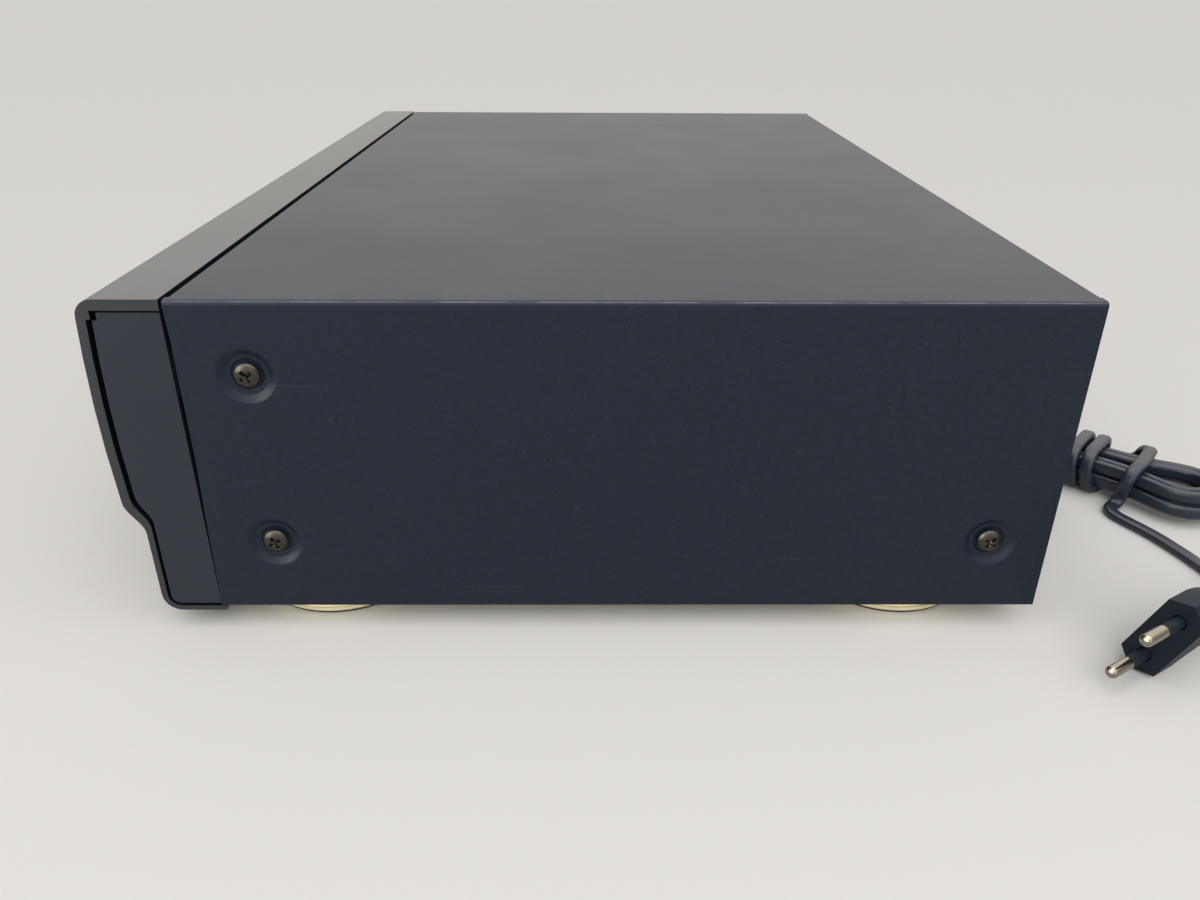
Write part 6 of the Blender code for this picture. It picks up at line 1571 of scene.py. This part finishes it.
    def pin_node(self, foot: Vector) -> str:
        """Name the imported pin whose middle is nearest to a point."""
        return min(("plug_pin_1", "plug_pin_2"), key=lambda node: (middle_of(node) - foot).length)

    def plug(self) -> bpy.types.Object:
        """Round the plug's edges.

        Returns:
            The plug.
        """
        plug = rounded_copy("plug_moulded", "plug_body", self.plug_edge, self.plug_edge_steps,
                            self.plug_edge_angle)
        keep_finish(plug, Finishes.PLUG)
        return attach(plug, "case")

    def build(self) -> None:
        cord, points = self.sheath()
        on_cord = [self.plug(), *self.pins()]
        StrainRelief().build()
        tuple(self.exit)
        round(float(travelled(points)[-1]), 3)


@dataclass
class PanHeadScrew:
    """Pan-head screw with a cross recess, its head along +X and seated at 0.

    Head, thread and tip are radii and places along the axis; one turn of the thread repeats.
    """

    head: Profile = ((0, 0.00165), (0.0012, 0.00162), (0.0022, 0.0015), (0.0031, 0.00122),
                     (0.0037, 0.00078), (0.0040, 0.00028), (0.00398, 0.0), (0.0038, -0.00012),
                     (0.0021, -0.00012), (0.0019, -0.0022))
    thread: Profile = ((0.0015, -0.0002), (0.0020, -0.0005))
    thread_start: float = -0.0022
    thread_step: float = 0.0007
    thread_turns: int = 8
    tip: Profile = ((0.0012, -0.0088), (0, -0.0098))
    recess_low: Point = (0.0001, -0.0021, -0.0006)
    recess_high: Point = (0.004, 0.0021, 0.0006)
    recess_edge: float = 0.0002
    hub: Profile = ((0, -0.0014), (0.0009, -0.0013), (0.0011, 0.0030), (0, 0.0030))
    sides: int = 40
    hub_sides: int = 24
    smooth: float = 38.0

    def model(self) -> bpy.types.Object:
        """Turn the screw and cut its recess.

        Returns:
            The screw.
        """
        profile = list(self.head)
        for i in range(self.thread_turns):
            level = self.thread_start - self.thread_step * i
            profile += [(radius, level + height) for radius, height in self.thread]
        profile += self.tip
        screw = lathe("screw_model", profile, (0, 0, 0), (1, 0, 0), self.sides,
                      self.smooth)
        for angle in (0.0, 90.0):
            cutter = slab("recess", self.recess_low, self.recess_high, self.recess_edge)
            cutter.data.transform(Matrix.Rotation(math.radians(angle), 4, "X"))
            cut_away(screw, cutter)
        hub = lathe("recess_hub", self.hub, (0, 0, 0), (1, 0, 0), self.hub_sides)
        return cut_away(screw, hub)


@dataclass
class CoverShell:
    """Folded cover with pressed dimples, and the screws in them.

    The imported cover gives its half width, heights, and front and rear edges. Leads are how
    far a side stands forward of the top's front edge, at the heights over the floor given
    with them. Screw places are distances behind that edge and over the cover's lower edge.
    The dimple is given by its radii and depths.
    """

    half: float = field(init=False)
    low: float = field(init=False)
    high: float = field(init=False)
    front: float = field(init=False)
    rear: float = field(init=False)
    packed_lead: float = 0.0013
    bend: float = 0.0016
    thick: float = 0.001
    edge: float = 0.00018
    edge_angle: float = 62.0
    same_plane: float = math.radians(0.05)
    side_lead: float = 0.0011
    foot_lead: float = 0.0021
    leads: Profile = ((0.102, 0.0007), (0.064, 0.0008), (0.040, 0.0015))
    tail: float = 0.011
    tail_bend: float = 0.0009
    sides: int = 64
    screw_places: Profile = ((0.0194, 0.0827), (0.0194, 0.0248), (0.2524, 0.0248))
    screw_seat: float = 0.0010
    screw_turns: tuple[float, ...] = (0.62, 0.50, 0.95, 0.2, 1.1, 0.7)
    dimple: Profile = ((0.0092, 0.0), (0.0089, 0.00004), (0.0086, 0.00016), (0.0082, 0.0004),
                       (0.0078, 0.00068), (0.0074, 0.00096), (0.0070, 0.00124),
                       (0.0067, 0.00142), (0.0064, 0.00154), (0.0060, 0.0016),
                       (0.0056, 0.00162), (0.0052, 0.00164), (0.0049, 0.00175),
                       (0.0047, 0.0021), (0.0045, 0.0022), (0.0023, 0.0022))

    def __post_init__(self) -> None:
        """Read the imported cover's box."""
        low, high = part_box("top_cover")
        self.half, self.rear, self.high = high
        self.low, self.front = low.z, low.y + self.packed_lead

    def places(self) -> list[tuple[float, float]]:
        """Y and Z of the three screws of a side."""
        return [(self.front + back, self.low + rise) for back, rise in self.screw_places]

    def circles(self, side: int, y: float, z: float) -> list[list[Vector]]:
        """Draw the circles of one dimple.

        Args:
            side: 1 for the right side, -1 for the left.
            y: The dimple's middle along Y.
            z: The dimple's middle along Z.

        Returns:
            The points of each circle, from the rim inwards.
        """
        angles = [2 * math.pi * i / self.sides for i in range(self.sides)]
        return [[Vector((side * (self.half - depth), y + radius * math.cos(angle),
                         z + radius * math.sin(angle))) for angle in angles]
                for radius, depth in self.dimple]

    def side_skin(self, work: bmesh.types.BMesh, side: int) -> None:
        """Add the outer skin of one side with its dimples.

        Args:
            work: The bmesh to add to.
            side: 1 for the right side, -1 for the left.
        """
        top = self.high - self.bend
        outline = [(self.front - self.foot_lead, self.low), (self.rear, self.low), (self.rear, top),
                   (self.front - self.side_lead, top)]
        outline += [(self.front - lead, height) for height, lead in self.leads]
        dimples = [self.circles(side, y, z) for y, z in self.places()]
        loops = [[Vector((side * self.half, y, z)) for y, z in outline]]
        loops += [circles[0] for circles in dimples]
        self.flat_skin(work, loops)
        for circles in dimples:
            rows = [[work.verts.new(v) for v in circle] for circle in circles]
            for one, two in zip(rows, rows[1:]):
                for i in range(self.sides):
                    k = (i + 1) % self.sides
                    work.faces.new((one[i], one[k], two[k], two[i]))

    @staticmethod
    def flat_skin(work: bmesh.types.BMesh, loops: list[list[Vector]]) -> None:
        """Fill a flat outline round its holes.

        Args:
            work: The bmesh to add to.
            loops: The outline, and then the holes.
        """
        made = [work.verts.new(v) for loop in loops for v in loop]
        for a, b, c in tessellate_polygon(loops):
            work.faces.new((made[a], made[b], made[c]))

    @staticmethod
    def strip(work: bmesh.types.BMesh, line: Sequence[Point], shift: Vector) -> None:
        """Add a strip of faces between a line of points and the same line moved.

        Args:
            work: The bmesh to add to.
            line: The points.
            shift: How far the line is moved.
        """
        one = [work.verts.new(Vector(p)) for p in line]
        two = [work.verts.new(Vector(p) + shift) for p in line]
        for i in range(len(line) - 1):
            work.faces.new((one[i], one[i + 1], two[i + 1], two[i]))

    def folded(self) -> bmesh.types.BMesh:
        """Fold the outer skin: sides, bends, top and the short tail at the rear.

        Returns:
            The open skin, facing outwards.
        """
        work = bmesh.new()
        lead = self.front - self.side_lead
        edge, step, corner = (self.half - n * self.bend for n in (1, 2, 3))
        for side in (1, -1):
            self.side_skin(work, side)
            bend = [(side * (edge + self.bend * out), lead, self.high - self.bend + self.bend * up)
                    for out, up in quarter_arc()]
            self.strip(work, bend, Vector((0, self.rear - lead, 0)))
        back = self.rear - self.tail_bend
        top = [(edge, lead), (edge, self.rear), (corner, self.rear), (corner, back), (-corner, back),
               (-corner, self.rear), (-edge, self.rear), (-edge, lead), (-step, lead),
               (-step, self.front), (step, self.front), (step, lead)]
        self.flat_skin(work, [[Vector((x, y, self.high)) for x, y in top]])
        tail = [(-corner, back + self.tail_bend * out,
                 self.high - self.tail_bend + self.tail_bend * up)
                for up, out in quarter_arc()] + [(-corner, self.rear, self.high - self.tail)]
        self.strip(work, tail, Vector((2 * corner, 0, 0)))
        bmesh.ops.remove_doubles(work, verts=work.verts, dist=SAME_PLACE)
        bmesh.ops.recalc_face_normals(work, faces=work.faces)
        highest = max(work.faces, key=lambda face: face.calc_center_median().z * face.calc_area())
        if highest.normal.z < 0:
            bmesh.ops.reverse_faces(work, faces=work.faces)
        bmesh.ops.dissolve_limit(work, angle_limit=self.same_plane, verts=work.verts,
                                 edges=work.edges, delimit=set())
        return work

    def shell(self) -> None:
        """Give the folded skin its thickness inwards and round its edges."""
        cover = from_bmesh("cover_shell", self.folded(), ALL_SMOOTH)
        solid = cover.modifiers.new("sheet", "SOLIDIFY")
        solid.thickness = self.thick
        solid.offset = -1.0
        settle(cover)
        soften(cover, self.edge, angle=self.edge_angle)
        keep_finish(cover, Finishes.COVER)
        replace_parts(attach(cover, "case"), "top_cover")

    def screws(self) -> None:
        """Set one screw in each of the six dimples with Geometry Nodes."""
        model = PanHeadScrew().model()
        sites = [(side, y, z) for side in (1, -1) for y, z in self.places()]
        places = []
        for (side, y, z), twist in zip(sites, self.screw_turns):
            turn = Matrix.Rotation(0.0 if side > 0 else math.pi, 3, "Z")
            turn = turn @ Matrix.Rotation(twist, 3, "X")
            places.append(((side * (self.half - self.screw_seat), y, z), tuple(turn.to_euler())))
        screws = ON_POINTS.build("cover_screws", Finishes.SCREW, {"Shape": model, "Size": 1.0},
                                 turned_points("screw_points", places))
        bpy.data.objects.remove(model, do_unlink=True)
        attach(screws, "case")
        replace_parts(screws, *[f"cover_screw_{side}_{where}" for side in ("left", "right")
                              for where in ("front_upper", "front_lower", "rear_lower")])

    def build(self) -> None:
        """Build the cover and its screws."""
        self.shell()
        self.screws()


@dataclass
class Feet:
    """Four round feet: a gold drum with a turned groove on a thin black base.

    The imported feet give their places, radius and height. The drum's edge is given by its
    insets and drops from the top, its groove by insets and heights over the base.
    """

    nodes: tuple[str, ...] = ("foot_front_right", "foot_front_left", "foot_rear_right",
                              "foot_rear_left")
    drum_edge: Profile = ((0.0007, 0.0), (0.0002, 0.0002), (0.0, 0.0008))
    groove: Profile = ((0.0, 0.0028), (0.0005, 0.0024), (0.0005, 0.0020), (0.0, 0.0016),
                       (0.0, 0.0005), (0.0004, 0.0))
    base_height: float = 0.0011
    base_inset: float = 0.0008
    base_chamfer: float = 0.0003
    hollow: Profile = ((0.0070, 0.0), (0.0065, 0.0003), (0.0065, 0.004), (0, 0.004))
    sides: int = 96
    smooth: float = 24.0

    def build(self) -> None:
        """Turn the drum and the base once and set them at the four places."""
        low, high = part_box(self.nodes[0])
        radius, top, foot = (high.x - low.x) / 2, high.z, self.base_height
        rim = radius - self.base_inset
        drum = [(0, top), *((radius - inset, top - drop) for inset, drop in self.drum_edge),
                *((radius - inset, foot + rise) for inset, rise in self.groove), (0, foot)]
        base = [(0, foot), (rim, foot), (rim, self.base_chamfer), (rim - self.base_chamfer, 0.0),
                *self.hollow]
        middles = [middle_of(node) for node in self.nodes]
        points = [((middle.x, middle.y, 0.0), (0.0, 0.0, 0.0)) for middle in middles]
        for name, profile, finish in (("feet_drums", drum, Finishes.GOLD),
                                      ("feet_bases", base, Finishes.FOOT_BASE)):
            shape = lathe("shape", profile, (0, 0, 0), (0, 0, 1), self.sides, self.smooth)
            piece = ON_POINTS.build(name, finish, {"Shape": shape, "Size": 1.0},
                                    turned_points(f"{name}_points", points))
            bpy.data.objects.remove(shape, do_unlink=True)
            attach(piece, "case")
            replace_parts(piece, "foot_front_left", "foot_front_right", "foot_rear_left",
                        "foot_rear_right")


@dataclass
class FrontPanel:
    """Extruded shell with its moulded frame, the tray's door and the display window."""

    pieces: tuple[tuple[str, str, str, Finish, float], ...] = (
        ("panel_shell", "front_panel", "case", Finishes.PANEL, 0.00022),
        ("frame_moulded", "front_frame", "case", Finishes.FRAME, 0.0002),
        ("door_front", "tray_door", "tray", Finishes.PANEL, 0.0002),
        ("window_pane", "display_window", "case", Finishes.WINDOW, 0.0003),
    )

    def build(self) -> None:
        """Round the edges of the front's large pieces and finish them."""
        for name, node, body, finish, edge in self.pieces:
            piece = rounded_copy(name, node, edge)
            keep_finish(piece, finish)
            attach(piece, body)


@dataclass
class Buttons:
    """Push buttons with marks, which are drawn in millimetres about a button's middle."""

    nodes: tuple[str, ...] = ("power_button", "open_button", "play_button", "stop_button",
                              "skip_back_button", "skip_forward_button")
    edge: float = 0.0004
    edge_steps: int = 3
    arrow_half: tuple[float, float] = (0.9, 1.1)
    mark_out: float = 0.00003
    mark_levels: tuple[float, float] = (-0.0001, 0.00004)

    @staticmethod
    def bar(x: float, y: float, half_width: float, half_height: float) -> Outline:
        """Draw a bar by its middle and its half sizes."""
        left, right, low, high = x - half_width, x + half_width, y - half_height, y + half_height
        return [(left, low), (right, low), (right, high), (left, high)]

    def arrow(self, x: float, way: float) -> Outline:
        """Draw a triangle about x that points to the right, or to the left for a negative way."""
        reach, rise = self.arrow_half[0] * way, self.arrow_half[1]
        return [(x - reach, -rise), (x + reach, 0.0), (x - reach, rise)]

    def marks(self) -> dict[str, list[Outline]]:
        """Draw the marks as plain transport signs.

        Returns:
            Convex outlines by the button's node.
        """
        bar, arrow = self.bar, self.arrow
        return {
            "open_button": [[(-1.3, -0.2), (1.3, -0.2), (0.0, 1.1)], bar(0, -0.9, 1.3, 0.22)],
            "play_button": [arrow(0.0, 1.2)],
            "stop_button": [bar(0, 0, 0.95, 0.95)],
            "skip_back_button": [arrow(0.9, -1), arrow(-0.9, -1), bar(-2.2, 0, 0.2, 1.1)],
            "skip_forward_button": [arrow(-0.9, 1), arrow(0.9, 1), bar(2.2, 0, 0.2, 1.1)],
            "power_button": [bar(0, 0, 3.2, 0.18)],
        }

    def build(self) -> None:
        """Round the buttons and print their marks."""
        marks = self.marks()
        upright = Matrix(((1, 0, 0, 0), (0, 0, -1, 0), (0, 1, 0, 0), (0, 0, 0, 1)))
        for button in self.nodes:
            cap = rounded_copy(f"{button}_cap", button, self.edge, self.edge_steps)
            keep_finish(cap, Finishes.BUTTON)
            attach(cap, button)
            middle = middle_of(button)
            middle.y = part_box(button)[0].y - self.mark_out
            plane = Matrix.Translation(middle) @ upright
            parts = [prism(f"sign_{n}", [(x * MM, y * MM) for x, y in outline], *self.mark_levels,
                           plane) for n, outline in enumerate(marks[button])]
            mark = merged(f"{button}_mark", parts)
            keep_finish(mark, Finishes.MARK)
            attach(mark, button)


@dataclass
class HeadphoneKnob:
    """Ribbed level knob with an inlaid pointer.

    The front of its section is given by insets from the radius and drops from the face, its
    skirt by insets and heights over the back.
    """

    panel_face: float = -0.149425
    gap: float = 0.0003
    dish: float = 0.0004
    front: Profile = ((0.0022, 0.0004), (0.0016, 0.0), (0.0011, 0.0), (0.0005, 0.0006))
    skirt: Profile = ((0.00045, 0.0014), (0.0, 0.0010), (0.0, 0.0002), (0.0002, 0.0))
    stem: float = 0.003
    sides: int = 64
    smooth: float = 28.0
    rib_low: Point = (-0.0004, -0.00016, 0.0016)
    rib_high: tuple[float, float] = (0.00006, 0.00016)
    rib_drop: float = 0.0008
    rib_sink: float = 0.0001
    rib_edge: float = 0.00008
    rib_count: int = 48
    pointer_half: float = 0.00035
    pointer_share: float = 0.35
    pointer_margin: float = 0.0009
    pointer_out: float = 0.00003
    pointer_depth: float = 0.0008
    pointer_edge: float = 0.0001

    def build(self) -> None:
        """Turn the knob, set ribs round it and inlay its pointer."""
        low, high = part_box("headphone_knob")
        x, _, z = middle_of("headphone_knob")
        face, radius = low.y, (high.z - low.z) / 2
        back = self.panel_face - self.gap
        depth, stem_end = back - face, back - high.y
        section = [(0, depth - self.dish),
                   *((radius - inset, depth - drop) for inset, drop in self.front),
                   *((radius - inset, rise) for inset, rise in self.skirt),
                   (self.stem, 0), (self.stem, stem_end), (0, stem_end)]
        cap = lathe("knob_cap", section, (x, back, z), (0, -1, 0), self.sides, self.smooth)
        keep_finish(cap, Finishes.BUTTON)
        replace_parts(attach(cap, "knob"), "headphone_knob")
        rib = slab("rib", self.rib_low, (*self.rib_high, depth - self.rib_drop), self.rib_edge)
        ribs = ON_RING.build("knob_ribs", Finishes.BUTTON, {
            "Shape": rib, "Count": self.rib_count, "Radius": radius - self.rib_sink,
            "Centre": (x, back, z), "Turn": (math.pi / 2, 0.0, 0.0)})
        bpy.data.objects.remove(rib, do_unlink=True)
        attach(ribs, "knob")
        line = slab("knob_pointer",
                    (x - self.pointer_half, face - self.pointer_out, z + radius * self.pointer_share),
                    (x + self.pointer_half, face + self.pointer_depth,
                     z + radius - self.pointer_margin), self.pointer_edge)
        keep_finish(line, Finishes.MARK)
        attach(line, "knob")


@dataclass
class HeadphoneSocket:
    """Plated ring of the headphone socket, by its radii and places along its axis."""

    ring: Profile = ((0.0034, -0.0030), (0.0034, 0.0), (0.0038, 0.0005), (0.0047, 0.0005),
                     (0.0053, 0.0), (0.0055, -0.0006), (0.0052, -0.0030))
    sink: float = 0.0002
    sides: int = 48
    smooth: float = 35.0

    def build(self) -> None:
        """Turn the ring."""
        x, _, z = middle_of("headphone_jack")
        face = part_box("headphone_jack")[0].y + self.sink
        ring = lathe("jack_ring", self.ring, (x, face, z), (0, -1, 0), self.sides, self.smooth)
        keep_finish(ring, Finishes.NICKEL)
        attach(ring, "case")


@dataclass
class RearPanel:
    """Rear panel with its vents, and the pair of audio sockets.

    The collar and the rim of a socket are given by what is added to its radius, and by the
    place along its axis from the sockets' rear end.
    """

    sheet_edge: float = 0.00015
    block_edge: float = 0.0002
    socket_radius: float = 0.0042
    socket_reach: float = 0.008
    socket_height: float = 0.032
    collar: Profile = ((0.0003, -0.0082), (0.0022, -0.0082), (0.0022, -0.0072), (0.0003, -0.0068))
    rim: Profile = ((-0.0011, -0.0025), (-0.0011, -0.0002), (-0.0008, 0.0001), (0.00004, 0.0),
                    (0.00012, -0.0003), (0.00012, -0.0064), (-0.0002, -0.0066))
    ring_sides: int = 40
    ring_smooth: float = 35.0

    def socket_ring(self, name: str, profile: Profile, place: Point, finish: Finish) -> None:
        """Turn one ring of a socket.

        Args:
            name: The ring's name.
            profile: What is added to the socket's radius, and the places along the axis.
            place: The middle of the socket's end.
            finish: The ring's finish.
        """
        section = [(self.socket_radius + out, along) for out, along in profile]
        ring = lathe(name, section, place, (0, 1, 0), self.ring_sides, self.ring_smooth)
        keep_finish(ring, finish)
        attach(ring, "case")

    def build(self) -> None:
        """Round the panel's edges and dress the sockets."""
        panel = rounded_copy("rear_sheet", "rear_panel", self.sheet_edge)
        keep_finish(panel, Finishes.COVER)
        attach(panel, "case")
        block = rounded_copy("socket_block", "audio_sockets", self.block_edge)
        keep_finish(block, Finishes.BLACK)
        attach(block, "case")
        middle = middle_of("audio_sockets").x
        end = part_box("audio_sockets")[1].y
        for n, (side, finish) in enumerate(((-1, Finishes.RED), (1, Finishes.WHITE))):
            place = (middle + side * self.socket_reach, end, self.socket_height)
            self.socket_ring(f"socket_collar_{n}", self.collar, place, finish)
            self.socket_ring(f"socket_rim_{n}", self.rim, place, Finishes.NICKEL)


class BoardPart(Enum):
    """What may stand on one place of the main board."""

    RESISTOR = "resistor"
    CHIP = "chip"
    CAN = "can"
    NOTHING = "nothing"


@dataclass
class Boards:
    """Small parts that stand on the main board, in columns and rows with some left out."""

    seed: int = 7
    lots: tuple[BoardPart, ...] = (BoardPart.RESISTOR, BoardPart.RESISTOR, BoardPart.CAN,
                                   BoardPart.CHIP, BoardPart.NOTHING)
    margin: tuple[float, float] = (0.010, 0.012)
    step: tuple[float, float] = (0.012, 0.013)
    clearance: tuple[float, float] = (0.006, 0.008)
    large_parts: tuple[str, ...] = ("reservoir_capacitor", "heat_sink", "audio_sockets")
    resistor: Profile = ((0, -0.0032), (0.0011, -0.0030), (0.0012, -0.0018), (0.0009, -0.0014),
                         (0.0009, 0.0014), (0.0012, 0.0018), (0.0011, 0.0030), (0, 0.0032))
    resistor_height: float = 0.0014
    resistor_sides: int = 14
    chip_low: Point = (-0.0048, -0.0032, 0.0004)
    chip_high: Point = (0.0048, 0.0032, 0.0036)
    chip_edge: float = 0.0002
    can: Profile = ((0, 0.0002), (0.0030, 0.0002), (0.0030, 0.0008), (0.0026, 0.0012),
                    (0.0030, 0.0016), (0.0030, 0.0086), (0.0027, 0.009), (0, 0.0088))
    can_sides: int = 18

    def blocked(self, x: float, y: float, boxes: list[tuple[Vector, Vector]]) -> bool:
        """Tell whether a place is under or beside a large part.

        Args:
            x: The place along X.
            y: The place along Y.
            boxes: Lowest and highest corner of each large part.

        Returns:
            True where nothing small fits.
        """
        wide, deep = self.clearance
        return any(low.x - wide < x < high.x + wide and low.y - deep < y < high.y + deep
                   for low, high in boxes)

    def places(self) -> dict[BoardPart, list[tuple[Point, Point]]]:
        """Draw lots for what stands on each free place.

        Returns:
            Place and turn of each lot, by what was drawn for it.
        """
        low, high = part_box("main_board")
        boxes = [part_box(node) for node in self.large_parts]
        chance = np.random.default_rng(self.seed)
        places = {kind: [] for kind in BoardPart}
        for y in np.arange(low.y + self.margin[1], high.y - self.margin[1], self.step[1]):
            for x in np.arange(low.x + self.margin[0], high.x - self.margin[0], self.step[0]):
                kind = chance.choice(self.lots)
                if not self.blocked(x, y, boxes):
                    places[kind].append(((x, y, high.z), (0.0, 0.0, 0.0)))
        return places

    def build(self) -> None:
        """Set resistors, chips and cans on the board's free places."""
        places = self.places()
        shapes = {
            BoardPart.RESISTOR: (lathe("shape", self.resistor, (0, 0, self.resistor_height),
                                       (1, 0, 0), self.resistor_sides), Finishes.WHITE),
            BoardPart.CHIP: (slab("shape", self.chip_low, self.chip_high, self.chip_edge),
                             Finishes.BLACK),
            BoardPart.CAN: (lathe("shape", self.can, (0, 0, 0), (0, 0, 1), self.can_sides),
                            Finishes.CAN_SLEEVE),
        }
        for kind, (shape, finish) in shapes.items():
            piece = ON_POINTS.build(f"board_{kind.value}s", finish, {"Shape": shape, "Size": 1.0},
                                    turned_points(f"{kind.value}_points", places[kind]))
            bpy.data.objects.remove(shape, do_unlink=True)
            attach(piece, "case")


@dataclass
class PackedParts:
    """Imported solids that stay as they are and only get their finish."""

    finishes: dict[str, Finish] = field(default_factory=lambda: {
        "chassis_base": Finishes.ZINC, "main_board": Finishes.BOARD, "front_board": Finishes.BOARD,
        "reservoir_capacitor": Finishes.CAN_SLEEVE, "heat_sink": Finishes.ALUMINIUM,
        "transformer_core": Finishes.CORE, "transformer_coil": Finishes.WINDING,
        "display_module": Finishes.TUBE, "headphone_jack": Finishes.BLACK,
        "loader_chassis": Finishes.BLACK, "disc_tray": Finishes.BLACK,
        "loading_motor": Finishes.STEEL, "motor_pulley": Finishes.ACETAL,
        "drive_belt": Finishes.RUBBER, "belt_wheel": Finishes.ACETAL, "tray_gear": Finishes.ACETAL,
        "cam_slide": Finishes.ACETAL, "lift_frame": Finishes.STEEL, "clamp_bridge": Finishes.STEEL,
        "disc_clamp": Finishes.BLACK, "spindle_motor": Finishes.STEEL,
        "turntable": Finishes.ALUMINIUM, "pickup_sled": Finishes.BLACK,
        "guide_rod": Finishes.NICKEL, "sled_motor": Finishes.STEEL, "sled_gear": Finishes.ACETAL,
        "objective_lens": Finishes.LENS,
    })

    def build(self) -> None:
        """Put each finish in its node's material slots."""
        for name, finish in self.finishes.items():
            for spot in frame["nodes"][name].material_slots:
                spot.material = finish.material()


def main() -> None:
    """Build the studio and every sub-assembly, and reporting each."""
    logging.basicConfig(level=logging.INFO, format="%(name)s: %(message)s")
    for assembly in (Studio(), MainsCord(), CoverShell(), Feet(), FrontPanel(), Buttons(),
                     HeadphoneKnob(), HeadphoneSocket(), RearPanel(), Boards(), PackedParts()):
        before = set(bpy.data.objects)
        assembly.build()
        for piece in sorted(set(bpy.data.objects) - before, key=lambda one: one.name):
            if piece.type == "MESH":
                log.info("%s: %s, %d faces", type(assembly).__name__, piece.name,
                         len(piece.data.polygons))


if __name__ == "__main__":
    main()
